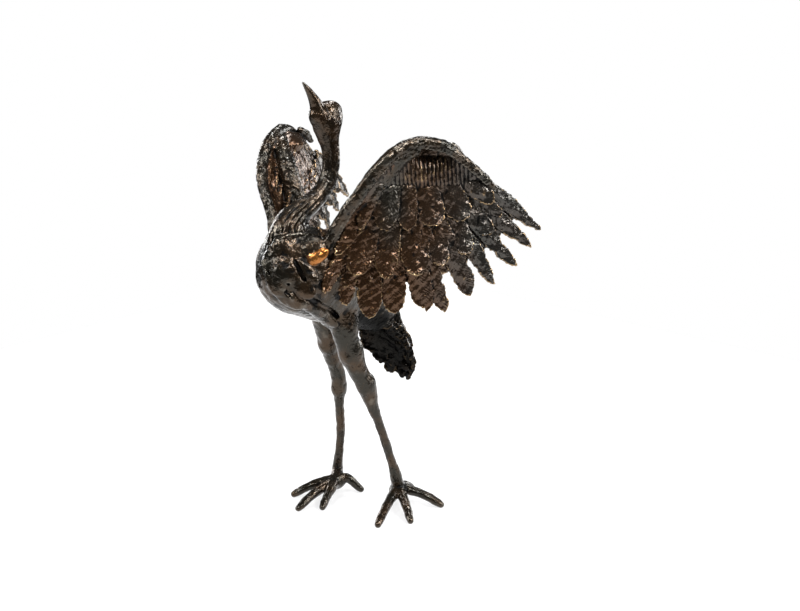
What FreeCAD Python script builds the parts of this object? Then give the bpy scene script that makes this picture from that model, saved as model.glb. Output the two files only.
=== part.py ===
import FreeCAD, Part
import math, os
from FreeCAD import Vector, Rotation, Placement

# Standing crane figure: one bronze casting, modelled as one fused solid.
# Millimetres, +Z up. The bird faces -Y and its left side is +X.
# The origin is at the middle of the bounding box, on the ground plane.

# torso sections: name, y, z, pitch in degrees, half width, half height
TORSO = [
    ('torso_01', -68.31, 158.0, 15, 6.0, 8.0),
    ('torso_02', -64.81, 157.0, 15, 13.0, 15.0),
    ('torso_03', -57.81, 155.0, 18, 18.5, 21.0),
    ('torso_04', -46.81, 151.0, 22, 22.0, 24.5),
    ('torso_05', -34.81, 146.5, 25, 23.5, 25.5),
    ('torso_06', -21.81, 140.5, 28, 23.0, 24.5),
    ('torso_07', -8.81, 133.0, 32, 21.0, 21.5),
    ('torso_08', 3.19, 124.5, 36, 16.8, 17.0),
    ('torso_09', 13.19, 116.0, 40, 12.3, 12.5),
    ('torso_10', 19.19, 110.0, 42, 7.8, 8.0),
]
# neck and head sections: name, centre, half width, half depth
NECK = [
    ('neck_01', (0.0, -50.81, 158.0), 17.0, 17.5),
    ('neck_02', (0.0, -56.16, 166.05), 15.0, 15.0),
    ('neck_03', (0.0, -57.42, 171.76), 11.0, 11.5),
    ('neck_04', (0.0, -53.59, 177.14), 8.2, 8.6),
    ('neck_05', (0.0, -46.07, 182.52), 6.6, 6.8),
    ('neck_06', (0.0, -36.98, 186.64), 5.6, 5.8),
    ('neck_07', (0.0, -29.26, 191.59), 5.0, 5.2),
    ('neck_08', (0.0, -23.73, 198.58), 4.8, 5.0),
    ('neck_09', (-0.0, -21.23, 207.09), 4.7, 4.9),
    ('neck_10', (0.0, -21.82, 215.4), 5.0, 5.4),
    ('neck_11', (0.0, -23.2, 222.1), 5.8, 6.8),
    ('neck_12', (0.0, -23.83, 228.12), 6.6, 8.2),
    ('neck_13', (0.0, -24.48, 233.04), 6.2, 7.6),
    ('neck_14', (0.0, -25.16, 236.32), 4.2, 5.0),
]
# beak sections: name, centre, radius
BEAK = [
    ('beak_01', (0.0, -24.81, 230.0), 6.2),
    ('beak_02', (0.0, -29.41, 235.6), 4.4),
    ('beak_03', (0.0, -33.41, 240.8), 2.9),
    ('beak_04', (0.0, -37.41, 246.6), 1.7),
    ('beak_05', (0.0, -40.81, 251.0), 0.6),
]
# left leg sections: name, centre, radius
LEG_LEFT = [
    ('leg_left_01', (10.5, -26.31, 131.0), 10.0),
    ('leg_left_02', (12.0, -24.86, 118.92), 8.6),
    ('leg_left_03', (13.0, -24.45, 109.67), 7.2),
    ('leg_left_04', (14.0, -21.2, 100.26), 6.8),
    ('leg_left_05', (15.5, -17.62, 89.58), 5.7),
    ('leg_left_06', (17.0, -12.31, 79.51), 5.5),
    ('leg_left_07', (17.5, -10.81, 73.77), 5.0),
    ('leg_left_08', (18.0, -8.89, 67.25), 3.7),
    ('leg_left_09', (18.8, -5.6, 57.91), 3.0),
    ('leg_left_10', (19.4, -2.04, 48.32), 2.8),
    ('leg_left_11', (19.9, 1.68, 37.91), 2.7),
    ('leg_left_12', (20.5, 5.35, 27.41), 2.8),
    ('leg_left_13', (21.0, 8.31, 16.99), 3.7),
    ('leg_left_14', (19.83, 11.82, 8.4), 4.7),
    ('leg_left_15', (19.55, 12.67, 4.91), 4.2),
]
# right leg sections: name, centre, radius
LEG_RIGHT = [
    ('leg_right_01', (-10.5, -23.31, 129.0), 10.0),
    ('leg_right_02', (-12.0, -16.08, 115.73), 8.6),
    ('leg_right_03', (-12.8, -13.87, 106.62), 7.2),
    ('leg_right_04', (-13.8, -11.44, 97.91), 6.0),
    ('leg_right_05', (-14.8, -8.15, 88.89), 5.1),
    ('leg_right_06', (-15.6, -4.58, 81.6), 4.7),
    ('leg_right_07', (-16.4, -1.4, 73.7), 4.8),
    ('leg_right_08', (-17.0, -0.09, 66.25), 4.6),
    ('leg_right_09', (-17.6, 0.22, 59.65), 3.3),
    ('leg_right_10', (-18.8, 1.96, 46.65), 2.7),
    ('leg_right_11', (-19.8, 3.01, 34.39), 2.7),
    ('leg_right_12', (-20.8, 2.49, 22.46), 2.8),
    ('leg_right_13', (-22.0, 2.19, 11.62), 3.7),
    ('leg_right_14', (-15.6, -4.32, 8.4), 4.7),
    ('leg_right_15', (-13.43, -6.53, 6.57), 4.2),
]
# toes: name, root centre, tip centre
TOES = [
    ('toe_left_inner', (17.26, 15.16, 7.15), (35.38, -22.94, 1.6)),
    ('toe_left_middle', (16.39, 15.13, 6.7), (45.77, -6.59, 1.6)),
    ('toe_left_outer', (17.18, 13.96, 7.6), (44.94, 21.65, 1.6)),
    ('toe_left_hind', (17.95, 11.88, 6.25), (16.55, 27.78, 1.6)),
    ('toe_right_outer', (-17.56, -1.55, 7.6), (-30.73, -26.54, 1.6)),
    ('toe_right_middle', (-18.0, -0.39, 6.7), (-14.43, -38.29, 1.6)),
    ('toe_right_inner', (-18.36, -1.05, 7.15), (-4.88, -27.85, 1.6)),
    ('toe_right_hind', (-19.73, -3.31, 6.25), (-5.62, 5.84, 1.6)),
]
# left wing leading edge (the left wing is drawn on the right side and mirrored): name, centre, radius
RIM_LEFT = [
    ('rim_left_01', (-10.5, -44.31, 150.5), 4.2),
    ('rim_left_02', (-16.8, -48.76, 161.39), 3.6),
    ('rim_left_03', (-20.27, -46.07, 167.49), 3.2),
    ('rim_left_04', (-25.23, -43.33, 177.54), 2.9),
    ('rim_left_05', (-31.83, -41.6, 188.39), 2.8),
    ('rim_left_06', (-36.61, -38.94, 195.01), 2.8),
    ('rim_left_07', (-40.6, -34.73, 203.87), 2.9),
    ('rim_left_08', (-44.18, -28.62, 211.36), 3.0),
    ('rim_left_09', (-47.09, -22.54, 216.69), 3.1),
    ('rim_left_10', (-49.35, -14.94, 220.23), 3.1),
    ('rim_left_11', (-53.22, -6.66, 221.79), 3.1),
    ('rim_left_12', (-57.26, 3.21, 219.77), 2.9),
    ('rim_left_13', (-59.83, 10.94, 215.68), 2.6),
    ('rim_left_14', (-62.89, 18.3, 209.48), 2.3),
    ('rim_left_15', (-66.02, 26.62, 201.98), 2.1),
    ('rim_left_16', (-68.72, 35.74, 193.92), 1.9),
]
# left wing arm: name, centre, radius
ARM_LEFT = [
    ('arm_left_01', (-14.5, -38.81, 157.0), 8.0),
    ('arm_left_02', (-20.0, -30.81, 166.0), 7.5),
    ('arm_left_03', (-26.5, -22.21, 178.0), 6.5),
    ('arm_left_04', (-31.0, -21.11, 187.6), 6.0),
    ('arm_left_05', (-34.5, -20.51, 199.6), 5.6),
    ('arm_left_06', (-41.0, -16.61, 208.0), 5.2),
    ('arm_left_07', (-46.0, -14.01, 214.6), 4.9),
    ('arm_left_08', (-52.0, -7.81, 218.4), 4.2),
]
# left wing web plates: name, lower end, end inside the leading edge, outward direction, width
WEB_LEFT = [
    ('web_left_01', (-27.85, -37.27, 160.15), (-21.25, -45.24, 169.11), (-0.7213, -0.6878, -0.0809), 15.4),
    ('web_left_02', (-31.33, -29.63, 171.31), (-32.73, -40.49, 189.68), (-0.8794, -0.3774, -0.2901), 24.0),
    ('web_left_03', (-36.4, -20.38, 174.54), (-41.47, -33.07, 204.49), (-0.8853, -0.355, -0.3003), 27.3),
    ('web_left_04', (-42.72, -9.51, 175.45), (-47.87, -20.56, 216.57), (-0.9036, -0.3716, -0.213), 28.7),
    ('web_left_05', (-49.3, 2.71, 176.11), (-53.95, -4.58, 221.03), (-0.9122, -0.3789, -0.1559), 29.9),
    ('web_left_06', (-54.55, 14.81, 179.96), (-60.45, 12.91, 214.6), (-0.9071, -0.3826, -0.1755), 29.8),
    ('web_left_07', (-58.38, 26.99, 183.81), (-66.42, 28.46, 200.86), (-0.8402, -0.4043, -0.3615), 21.2),
    ('web_left_08', (-60.79, 36.17, 183.11), (-68.08, 37.95, 192.04), (-0.7393, -0.4308, -0.5175), 13.1),
]
# left wing feathers: name, root, tip, outward direction, width
FEATHERS_LEFT = [
    ('flight_left_01', (-25.43, -36.98, 164.51), (-23.0, -51.58, 143.22), (-0.9788, -0.2029, 0.0276), 8.0),
    ('flight_left_02', (-25.89, -30.52, 165.65), (-24.37, -37.2, 133.78), (-0.897, -0.4394, 0.049), 9.2),
    ('flight_left_03', (-30.15, -22.47, 169.33), (-32.63, -25.92, 125.59), (-0.7643, -0.638, 0.0936), 13.0),
    ('flight_left_04', (-37.37, -14.37, 173.48), (-39.04, -12.68, 126.8), (-0.7366, -0.6763, 0.0018), 13.6),
    ('flight_left_05', (-44.18, -7.43, 175.55), (-49.4, 2.22, 126.74), (-0.7297, -0.6814, -0.0569), 12.0),
    ('flight_left_06', (-48.35, -1.56, 177.42), (-54.43, 10.42, 125.37), (-0.8039, -0.5932, -0.0427), 9.3),
    ('flight_left_07', (-51.7, 5.29, 180.12), (-62.33, 25.13, 134.17), (-0.832, -0.5529, -0.0463), 11.0),
    ('flight_left_08', (-54.47, 12.04, 183.88), (-69.01, 37.22, 139.02), (-0.8596, -0.511, -0.0082), 9.9),
    ('flight_left_09', (-57.26, 18.82, 187.67), (-73.15, 49.91, 147.73), (-0.8945, -0.4469, 0.0078), 10.0),
    ('flight_left_10', (-60.08, 25.62, 191.48), (-75.62, 61.24, 156.83), (-0.9153, -0.4027, -0.0034), 9.5),
    ('flight_left_11', (-64.35, 32.42, 195.5), (-75.3, 69.89, 165.49), (-0.9395, -0.3344, -0.0748), 8.9),
    ('middle_left_01', (-33.55, -24.18, 188.1), (-23.32, -43.08, 163.0), (-0.8002, -0.5883, 0.1167), 8.0),
    ('middle_left_02', (-32.65, -26.52, 176.9), (-29.22, -34.11, 150.72), (-0.7539, -0.6508, 0.0899), 14.5),
    ('middle_left_03', (-40.07, -16.41, 178.51), (-38.47, -21.17, 148.13), (-0.7492, -0.6593, 0.064), 12.9),
    ('middle_left_04', (-46.76, -6.95, 180.12), (-48.26, -5.24, 148.39), (-0.7806, -0.6251, 0.0033), 15.7),
    ('middle_left_05', (-52.51, 1.28, 180.7), (-54.91, 8.01, 152.62), (-0.8359, -0.5458, -0.0591), 13.0),
    ('middle_left_06', (-56.46, 10.03, 183.2), (-61.26, 22.73, 157.76), (-0.8827, -0.4653, -0.0657), 13.7),
    ('middle_left_07', (-59.85, 18.68, 186.77), (-65.86, 36.26, 167.48), (-0.9133, -0.3995, -0.079), 12.1),
    ('middle_left_08', (-61.87, 24.79, 190.57), (-67.46, 42.94, 177.41), (-0.9328, -0.3499, -0.0863), 8.3),
    ('upper_left_01', (-37.38, -23.5, 197.44), (-29.62, -31.76, 176.0), (-0.763, -0.6458, -0.0273), 6.9),
    ('upper_left_02', (-40.93, -18.05, 196.01), (-37.43, -19.87, 174.06), (-0.7301, -0.6807, -0.0599), 13.4),
    ('upper_left_03', (-46.33, -10.53, 195.66), (-45.71, -9.78, 173.65), (-0.7309, -0.6811, -0.0437), 11.2),
    ('upper_left_04', (-53.22, -2.02, 194.12), (-53.64, 3.47, 174.73), (-0.7876, -0.5972, -0.1521), 14.5),
    ('upper_left_05', (-58.35, 7.81, 196.68), (-62.0, 19.04, 177.35), (-0.8513, -0.5073, -0.1339), 14.6),
    ('upper_left_06', (-62.1, 16.8, 200.28), (-69.17, 34.45, 186.01), (-0.8801, -0.4568, -0.1296), 10.3),
]
# right wing leading edge: name, centre, radius
RIM_RIGHT = [
    ('rim_right_01', (-10.5, -44.31, 150.5), 4.2),
    ('rim_right_02', (-16.8, -48.76, 161.39), 3.6),
    ('rim_right_03', (-20.27, -46.07, 167.49), 3.2),
    ('rim_right_04', (-25.23, -43.33, 177.54), 2.9),
    ('rim_right_05', (-32.06, -41.6, 188.0), 2.8),
    ('rim_right_06', (-37.28, -38.94, 193.84), 2.8),
    ('rim_right_07', (-41.86, -34.73, 201.67), 2.9),
    ('rim_right_08', (-45.94, -28.62, 208.29), 3.0),
    ('rim_right_09', (-49.09, -22.54, 213.19), 3.1),
    ('rim_right_10', (-51.35, -14.94, 216.73), 3.1),
    ('rim_right_11', (-55.22, -6.66, 218.29), 3.1),
    ('rim_right_12', (-59.26, 3.21, 216.27), 2.9),
    ('rim_right_13', (-61.83, 10.94, 212.18), 2.6),
    ('rim_right_14', (-64.52, 18.3, 206.62), 2.3),
    ('rim_right_15', (-67.15, 26.62, 200.0), 2.1),
    ('rim_right_16', (-69.31, 35.74, 192.88), 1.9),
]
# right wing arm: name, centre, radius
ARM_RIGHT = [
    ('arm_right_01', (-14.5, -38.81, 157.0), 8.0),
    ('arm_right_02', (-20.0, -30.81, 166.0), 7.5),
    ('arm_right_03', (-26.5, -22.21, 178.0), 6.5),
    ('arm_right_04', (-31.17, -21.11, 187.3), 6.0),
    ('arm_right_05', (-35.47, -20.51, 197.9), 5.6),
    ('arm_right_06', (-42.53, -16.61, 205.32), 5.2),
    ('arm_right_07', (-47.97, -14.01, 211.15), 4.9),
    ('arm_right_08', (-54.0, -7.81, 214.9), 4.2),
]
# right wing web plates: name, lower end, end inside the leading edge, outward direction, width
WEB_RIGHT = [
    ('web_right_01', (-27.85, -37.27, 160.15), (-21.25, -45.24, 169.11), (-0.7213, -0.6878, -0.0809), 15.4),
    ('web_right_02', (-31.33, -29.63, 171.31), (-33.04, -40.49, 189.13), (-0.8794, -0.3774, -0.2901), 24.0),
    ('web_right_03', (-36.4, -20.38, 174.54), (-42.77, -33.07, 202.21), (-0.8853, -0.355, -0.3003), 27.3),
    ('web_right_04', (-42.72, -9.51, 175.45), (-49.87, -20.56, 213.07), (-0.9036, -0.3716, -0.213), 28.7),
    ('web_right_05', (-49.3, 2.71, 176.11), (-55.95, -4.58, 217.53), (-0.9122, -0.3789, -0.1559), 29.9),
    ('web_right_06', (-54.55, 14.81, 179.96), (-62.43, 12.91, 211.15), (-0.9071, -0.3826, -0.1755), 29.8),
    ('web_right_07', (-58.38, 26.99, 183.81), (-67.48, 28.46, 199.01), (-0.8402, -0.4043, -0.3615), 21.2),
    ('web_right_08', (-60.79, 36.17, 183.11), (-68.55, 37.95, 191.22), (-0.7393, -0.4308, -0.5175), 13.1),
]
# right wing feathers: name, root, tip, outward direction, width
FEATHERS_RIGHT = [
    ('flight_right_01', (-25.43, -36.98, 164.51), (-23.0, -51.58, 143.22), (-0.9788, -0.2029, 0.0276), 8.0),
    ('flight_right_02', (-25.89, -30.52, 165.65), (-24.37, -37.2, 133.78), (-0.897, -0.4394, 0.049), 9.2),
    ('flight_right_03', (-30.15, -22.47, 169.33), (-32.63, -25.92, 125.59), (-0.7643, -0.638, 0.0936), 13.0),
    ('flight_right_04', (-37.37, -14.37, 173.48), (-39.04, -12.68, 126.8), (-0.7366, -0.6763, 0.0018), 13.6),
    ('flight_right_05', (-44.18, -7.43, 175.55), (-49.4, 2.22, 126.74), (-0.7297, -0.6814, -0.0569), 12.0),
    ('flight_right_06', (-48.35, -1.56, 177.42), (-54.43, 10.42, 125.37), (-0.8039, -0.5932, -0.0427), 9.3),
    ('flight_right_07', (-51.7, 5.29, 180.12), (-62.33, 25.13, 134.17), (-0.832, -0.5529, -0.0463), 11.0),
    ('flight_right_08', (-54.47, 12.04, 183.88), (-69.01, 37.22, 139.02), (-0.8596, -0.511, -0.0082), 9.9),
    ('flight_right_09', (-57.44, 18.82, 187.36), (-73.15, 49.91, 147.73), (-0.8945, -0.4469, 0.0078), 10.0),
    ('flight_right_10', (-60.51, 25.62, 190.73), (-75.62, 61.24, 156.83), (-0.9153, -0.4027, -0.0034), 9.5),
    ('flight_right_11', (-65.05, 32.42, 194.28), (-75.3, 69.89, 165.49), (-0.9395, -0.3344, -0.0748), 8.9),
    ('middle_right_01', (-33.75, -24.18, 187.73), (-23.32, -43.08, 163.0), (-0.8002, -0.5883, 0.1167), 8.0),
    ('middle_right_02', (-32.65, -26.52, 176.9), (-29.22, -34.11, 150.72), (-0.7539, -0.6508, 0.0899), 14.5),
    ('middle_right_03', (-40.07, -16.41, 178.51), (-38.47, -21.17, 148.13), (-0.7492, -0.6593, 0.064), 12.9),
    ('middle_right_04', (-46.76, -6.95, 180.12), (-48.26, -5.24, 148.39), (-0.7806, -0.6251, 0.0033), 15.7),
    ('middle_right_05', (-52.51, 1.28, 180.7), (-54.91, 8.01, 152.62), (-0.8359, -0.5458, -0.0591), 13.0),
    ('middle_right_06', (-56.46, 10.03, 183.2), (-61.26, 22.73, 157.76), (-0.8827, -0.4653, -0.0657), 13.7),
    ('middle_right_07', (-59.97, 18.68, 186.56), (-65.86, 36.26, 167.48), (-0.9133, -0.3995, -0.079), 12.1),
    ('middle_right_08', (-62.24, 24.79, 189.92), (-67.46, 42.94, 177.41), (-0.9328, -0.3499, -0.0863), 8.3),
    ('upper_right_01', (-38.21, -23.5, 195.99), (-29.62, -31.76, 176.0), (-0.763, -0.6458, -0.0273), 6.9),
    ('upper_right_02', (-41.66, -18.05, 194.73), (-37.43, -19.87, 174.06), (-0.7301, -0.6807, -0.0599), 13.4),
    ('upper_right_03', (-47.04, -10.53, 194.41), (-45.71, -9.78, 173.65), (-0.7309, -0.6811, -0.0437), 11.2),
    ('upper_right_04', (-53.83, -2.02, 193.06), (-53.64, 3.47, 174.73), (-0.7876, -0.5972, -0.1521), 14.5),
    ('upper_right_05', (-59.13, 7.81, 195.31), (-62.0, 19.04, 177.35), (-0.8513, -0.5073, -0.1339), 14.6),
    ('upper_right_06', (-63.12, 16.8, 198.5), (-69.23, 34.45, 185.9), (-0.8801, -0.4568, -0.1296), 10.3),
]
# tail feathers: name, root, tip, outward direction, width
TAIL = [
    ('tail_feather_01', (-6.9, 16.79, 110.6), (-11.1, 28.5, 76.94), (-0.9877, 0.1564, 0.25), 10.5),
    ('tail_feather_02', (-4.6, 16.59, 111.4), (-7.4, 33.07, 72.59), (-0.809, 0.5878, 0.25), 10.5),
    ('tail_feather_03', (-2.3, 16.39, 112.2), (-3.7, 36.7, 69.55), (-0.454, 0.891, 0.25), 10.5),
    ('tail_feather_04', (0.0, 16.19, 113.0), (0.0, 38.79, 68.2), (0.0, 1.0, 0.25), 10.5),
    ('tail_feather_05', (2.3, 16.39, 112.2), (3.7, 37.24, 69.55), (0.454, 0.891, 0.25), 10.5),
    ('tail_feather_06', (4.6, 16.59, 111.4), (7.4, 34.56, 72.59), (0.809, 0.5878, 0.25), 10.5),
    ('tail_feather_07', (6.9, 16.79, 110.6), (11.1, 31.17, 76.94), (0.9877, 0.1564, 0.25), 10.5),
    ('tail_covert_01', (-5.2, 13.19, 113.0), (-9.2, 33.97, 90.4), (-0.866, 0.5, 0.35), 12.5),
    ('tail_covert_02', (-2.6, 13.19, 114.0), (-4.6, 37.19, 89.2), (-0.5, 0.866, 0.35), 12.5),
    ('tail_covert_03', (0.0, 13.19, 115.0), (0.0, 39.39, 88.0), (0.0, 1.0, 0.35), 12.5),
    ('tail_covert_04', (2.6, 13.19, 114.0), (4.6, 37.19, 89.2), (0.5, 0.866, 0.35), 12.5),
    ('tail_covert_05', (5.2, 13.19, 113.0), (9.2, 33.97, 90.4), (0.866, 0.5, 0.35), 12.5),
]

doc = FreeCAD.newDocument("crane_figure_model")
dims = doc.addObject("Spreadsheet::Sheet", "dims")
dims.Label = "dims"
rows = [0]


def dim(alias, value):
    """One driving dimension: a row of the sheet with its word alias."""
    rows[0] += 1
    dims.set("A%d" % rows[0], alias)
    dims.set("B%d" % rows[0], "%g" % value)
    dims.setAlias("B%d" % rows[0], alias)
    return "dims." + alias


def V(p):
    return Vector(p[0], p[1], p[2])


def tangent(points, i):
    a = points[max(i - 1, 0)]
    b = points[min(i + 1, len(points) - 1)]
    return (b - a).normalize()


# shared thicknesses and cutting sizes
dim("feather_thickness", 2.2)
dim("tail_thickness", 2.4)
dim("web_thickness", 3.2)
dim("toe_root_radius", 3.4)
dim("toe_mid_radius", 2.5)
dim("toe_tip_radius", 2.2)
dim("toe_end_radius", 2.35)
dim("ground_block_side", 400)
dim("ground_block_depth", 30)
for name, y, z, pitch, a, b in TORSO:
    dim(name + "_half_width", a)
    dim(name + "_half_height", b)
for name, p, a, b in NECK:
    dim(name + "_half_width", a)
    dim(name + "_half_depth", b)
for table in (BEAK, LEG_LEFT, LEG_RIGHT, RIM_LEFT, RIM_RIGHT, ARM_LEFT, ARM_RIGHT):
    for name, p, a in table:
        dim(name + "_radius", a)
for table in (WEB_LEFT, WEB_RIGHT, FEATHERS_LEFT, FEATHERS_RIGHT, TAIL):
    for name, u, v, n, width in table:
        dim(name + "_length", (V(u) - V(v)).Length * 1.22)
        dim(name + "_width", width)
doc.recompute()


def circle(name, centre, normal, alias):
    c = doc.addObject("Part::Circle", name)
    c.setExpression("Radius", "dims." + alias)
    c.Placement = Placement(centre, Rotation(Vector(1, 0, 0), Vector(0, 0, 0), normal, "ZXY"))
    return c


def ellipse(name, centre, major_dir, normal, major, minor):
    e = doc.addObject("Part::Ellipse", name)
    e.setExpression("MajorRadius", major)
    e.setExpression("MinorRadius", minor)
    e.Placement = Placement(centre, Rotation(major_dir, Vector(0, 0, 0), normal, "ZXY"))
    return e


def loft(name, label, sections, ruled=False):
    o = doc.addObject("Part::Loft", name)
    o.Sections = sections
    o.Solid = True
    o.Ruled = ruled
    o.Label = label
    return o


def ball(name, label, centre, alias):
    o = doc.addObject("Part::Sphere", name)
    o.setExpression("Radius", "dims." + alias)
    o.Placement = Placement(centre, Rotation())
    o.Label = label
    return o


def tube(name, label, table, ruled=False):
    pts = [V(p) for _, p, _ in table]
    secs = []
    for i, (n, p, a) in enumerate(table):
        secs.append(circle(n, pts[i], tangent(pts, i), n + "_radius"))
    return loft(name, label, secs, ruled)


def plate(name, u, v, n, thickness):
    """One feather: an elliptical plate from inside the wing to its tip."""
    u, v, n = V(u), V(v), V(n).normalize()
    axis = (v - u)
    length = axis.Length
    axis.normalize()
    n = (n - axis * n.dot(axis)).normalize()
    centre = v - axis * (length * 1.22 / 2)
    e = ellipse(name + "_outline", centre, axis, n, "dims.%s_length / 2" % name, "dims.%s_width / 2" % name)
    x = doc.addObject("Part::Extrusion", name)
    x.Base = e
    x.DirMode = "Normal"
    x.Solid = True
    x.Symmetric = True
    x.setExpression("LengthFwd", thickness)
    x.Label = name
    return x


def fuse(name, label, shapes):
    o = doc.addObject("Part::MultiFuse", name)
    o.Shapes = shapes
    o.Label = label
    return o


# torso: ellipses square to an axis that runs back and down
secs = []
for name, y, z, pitch, a, b in TORSO:
    p = math.radians(pitch)
    secs.append(ellipse(name, Vector(0, y, z), Vector(0, math.sin(p), math.cos(p)), Vector(0, math.cos(p), -math.sin(p)),
                        "dims." + name + "_half_height", "dims." + name + "_half_width"))
torso = loft("torso", "torso", secs, True)

# neck and head: ellipses square to the neck's curve
pts = [V(p) for _, p, _, _ in NECK]
secs = []
for i, (name, p, a, b) in enumerate(NECK):
    t = tangent(pts, i)
    secs.append(ellipse(name, pts[i], t.cross(Vector(1, 0, 0)).normalize(), t, "dims." + name + "_half_depth", "dims." + name + "_half_width"))
neck = loft("neck_and_head", "neck and head", secs, True)
beak = tube("beak", "beak", BEAK, True)
body_parts = [torso, neck, beak]

# legs, insteps and toes
for side, table in (("left", LEG_LEFT), ("right", LEG_RIGHT)):
    body_parts.append(tube("leg_" + side, "leg " + side, table, True))
for name, u, v in TOES:
    u, v = V(u), V(v)
    d = v - u
    mid = u + d * 0.45
    mid.z = 4.2
    near = u + d * 0.78
    near.z = 2.5
    path = [u, mid, near, v]
    radii = ["toe_root_radius", "toe_mid_radius", "toe_tip_radius", "toe_tip_radius"]
    secs = [circle("%s_%d" % (name, i + 1), path[i], tangent(path, i), radii[i]) for i in range(4)]
    body_parts.append(loft(name, name, secs, True))
    body_parts.append(ball(name + "_end", name + " end", v, "toe_end_radius"))

# tail: a drooping fan of plates
for name, u, v, n, width in TAIL:
    body_parts.append(plate(name, u, v, n, "dims.tail_thickness"))
body = fuse("body_with_legs", "body with legs", body_parts)


def wing(side, rim, arm, web, feathers):
    parts = [tube("rim_" + side, "wing rim " + side, rim, True), tube("arm_" + side, "wing arm " + side, arm, True)]
    for name, u, v, n, width in web:
        parts.append(plate(name, u, v, n, "dims.web_thickness"))
    for name, u, v, n, width in feathers:
        parts.append(plate(name, u, v, n, "dims.feather_thickness"))
    if side == "left":
        mirrored = []
        for o in parts:
            m = doc.addObject("Part::Mirroring", o.Name + "_mirrored")
            m.Source = o
            m.Base = Vector(0, 0, 0)
            m.Normal = Vector(1, 0, 0)
            m.Label = o.Label + " mirrored"
            mirrored.append(m)
        parts = mirrored
    return fuse("wing_" + side, "wing " + side, parts)


wing_left = wing("left", RIM_LEFT, ARM_LEFT, WEB_LEFT, FEATHERS_LEFT)
wing_right = wing("right", RIM_RIGHT, ARM_RIGHT, WEB_RIGHT, FEATHERS_RIGHT)
# flat soles: whatever of the feet is under the ground plane is cut away
ground = doc.addObject("Part::Box", "ground_block")
ground.setExpression("Length", "dims.ground_block_side")
ground.setExpression("Width", "dims.ground_block_side")
ground.setExpression("Height", "dims.ground_block_depth")
ground.Placement = Placement(Vector(-200, -200, -30), Rotation())
ground.Label = "ground block"
body_cut = doc.addObject("Part::Cut", "body_on_soles")
body_cut.Base = body
body_cut.Tool = ground
body_cut.Label = "body on flat soles"

# the whole casting: one solid
figure = fuse("crane_figure", "crane_figure", [body_cut, wing_left, wing_right])
figure.Placement = Placement(Vector(0, 0, 0), Rotation())

doc.recompute()
for o in doc.Objects:
    bad = [s for s in o.State if s in ("Invalid", "Error")]
    if bad:
        raise RuntimeError("object %s: %s" % (o.Name, bad))
shape = figure.Shape
if shape.isNull() or not shape.isValid():
    raise RuntimeError("crane_figure shape is not valid")
if len(shape.Solids) != 1:
    raise RuntimeError("crane_figure has %d solids, volumes %s" % (len(shape.Solids), [round(s.Volume, 1) for s in shape.Solids]))
box = shape.optimalBoundingBox()
print("solids", len(shape.Solids), "faces", len(shape.Faces), "volume", round(shape.Volume, 1))
print("box", [round(v, 3) for v in (box.XMin, box.YMin, box.ZMin, box.XMax, box.YMax, box.ZMax)])
print("centre of mass", shape.Solids[0].CenterOfMass)
os.makedirs("parts", exist_ok=True)
shape.exportStep("parts/crane_figure.step")
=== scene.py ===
import math
import bmesh
import bpy
import numpy as np
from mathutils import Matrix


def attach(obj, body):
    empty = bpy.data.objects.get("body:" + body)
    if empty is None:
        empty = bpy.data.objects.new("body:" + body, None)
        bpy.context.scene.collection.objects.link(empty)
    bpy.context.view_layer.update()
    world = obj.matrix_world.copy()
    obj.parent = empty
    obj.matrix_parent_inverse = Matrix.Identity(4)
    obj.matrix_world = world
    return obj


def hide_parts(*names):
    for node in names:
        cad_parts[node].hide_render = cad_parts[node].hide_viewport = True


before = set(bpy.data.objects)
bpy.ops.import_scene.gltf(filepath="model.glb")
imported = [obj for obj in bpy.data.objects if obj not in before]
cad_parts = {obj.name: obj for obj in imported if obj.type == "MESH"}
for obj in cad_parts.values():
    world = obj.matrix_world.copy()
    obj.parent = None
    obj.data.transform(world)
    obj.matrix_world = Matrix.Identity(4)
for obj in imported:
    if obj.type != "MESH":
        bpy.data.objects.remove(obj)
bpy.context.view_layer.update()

import openvdb
from mathutils import Vector, Matrix

# Everything below is modelled in millimetres in a working frame: +Z up, the bird faces -Y, its left is +X.
# The row frame is the working frame moved by SHIFT. Shapes are added to a signed-distance volume, which is
# cut into a left wing, a right wing and a body, each turned into a closed mesh.

SHIFT = [0.0, 35.19, 0.0]
CAM_POS = [482.407, -535.767, 320.128]
CAM_BACK = [0.64321, -0.714357, 0.275637]
CAM_R = [0.743145, 0.669131, 0.0]
CAM_U = [-0.184437, 0.204838, 0.961262]
CAM_D = 750.0
# torso: centre, semi-axes across/along/through, pitch
TORSO_ELL = [
    ([0.0, -83.0, 151.5], [22.3, 23.5, 24.5], 20),
    ([0.0, -64.0, 143.5], [23.3, 33, 24.5], 26),
    ([0.0, -40.0, 129.5], [18.5, 27, 18.5], 36),
    ([0.0, -24.0, 117.0], [12, 17, 12], 42),
]
# neck: centre, radius
NECK_PTS = [
    ((0, -86, 156), 15.5),
    ((0, -90, 164), 12.6),
    ([0.0, -88.78, 177.14], 8.4),
    ([0.0, -81.26, 182.52], 6.7),
    ([0.0, -72.17, 186.64], 5.7),
    ([0.0, -64.45, 191.59], 5.1),
    ([0.0, -58.92, 198.58], 4.9),
    ([-0.0, -56.42, 207.09], 4.8),
    ([0.0, -57.01, 215.4], 5.2),
    ([0.0, -58.39, 222.1], 6.3),
    ([0.0, -59.02, 228.12], 7.4),
]
# head lumps
HEAD_ELL = [
    ([0.0, -58.97, 230.27], [10.2, 7.3, 8.4], [0, 0.15, 1], [0, -1, 0]),
    ([0.0, -55.84, 233.75], [6.4, 5.6, 6.6], [0, 0.5, 1], [0, -1, 0.3]),
    ([0.0, -65.71, 232.54], [6.0, 5.2, 4.8], [0, -0.4, 1], [0, -1, 0]),
]
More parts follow.
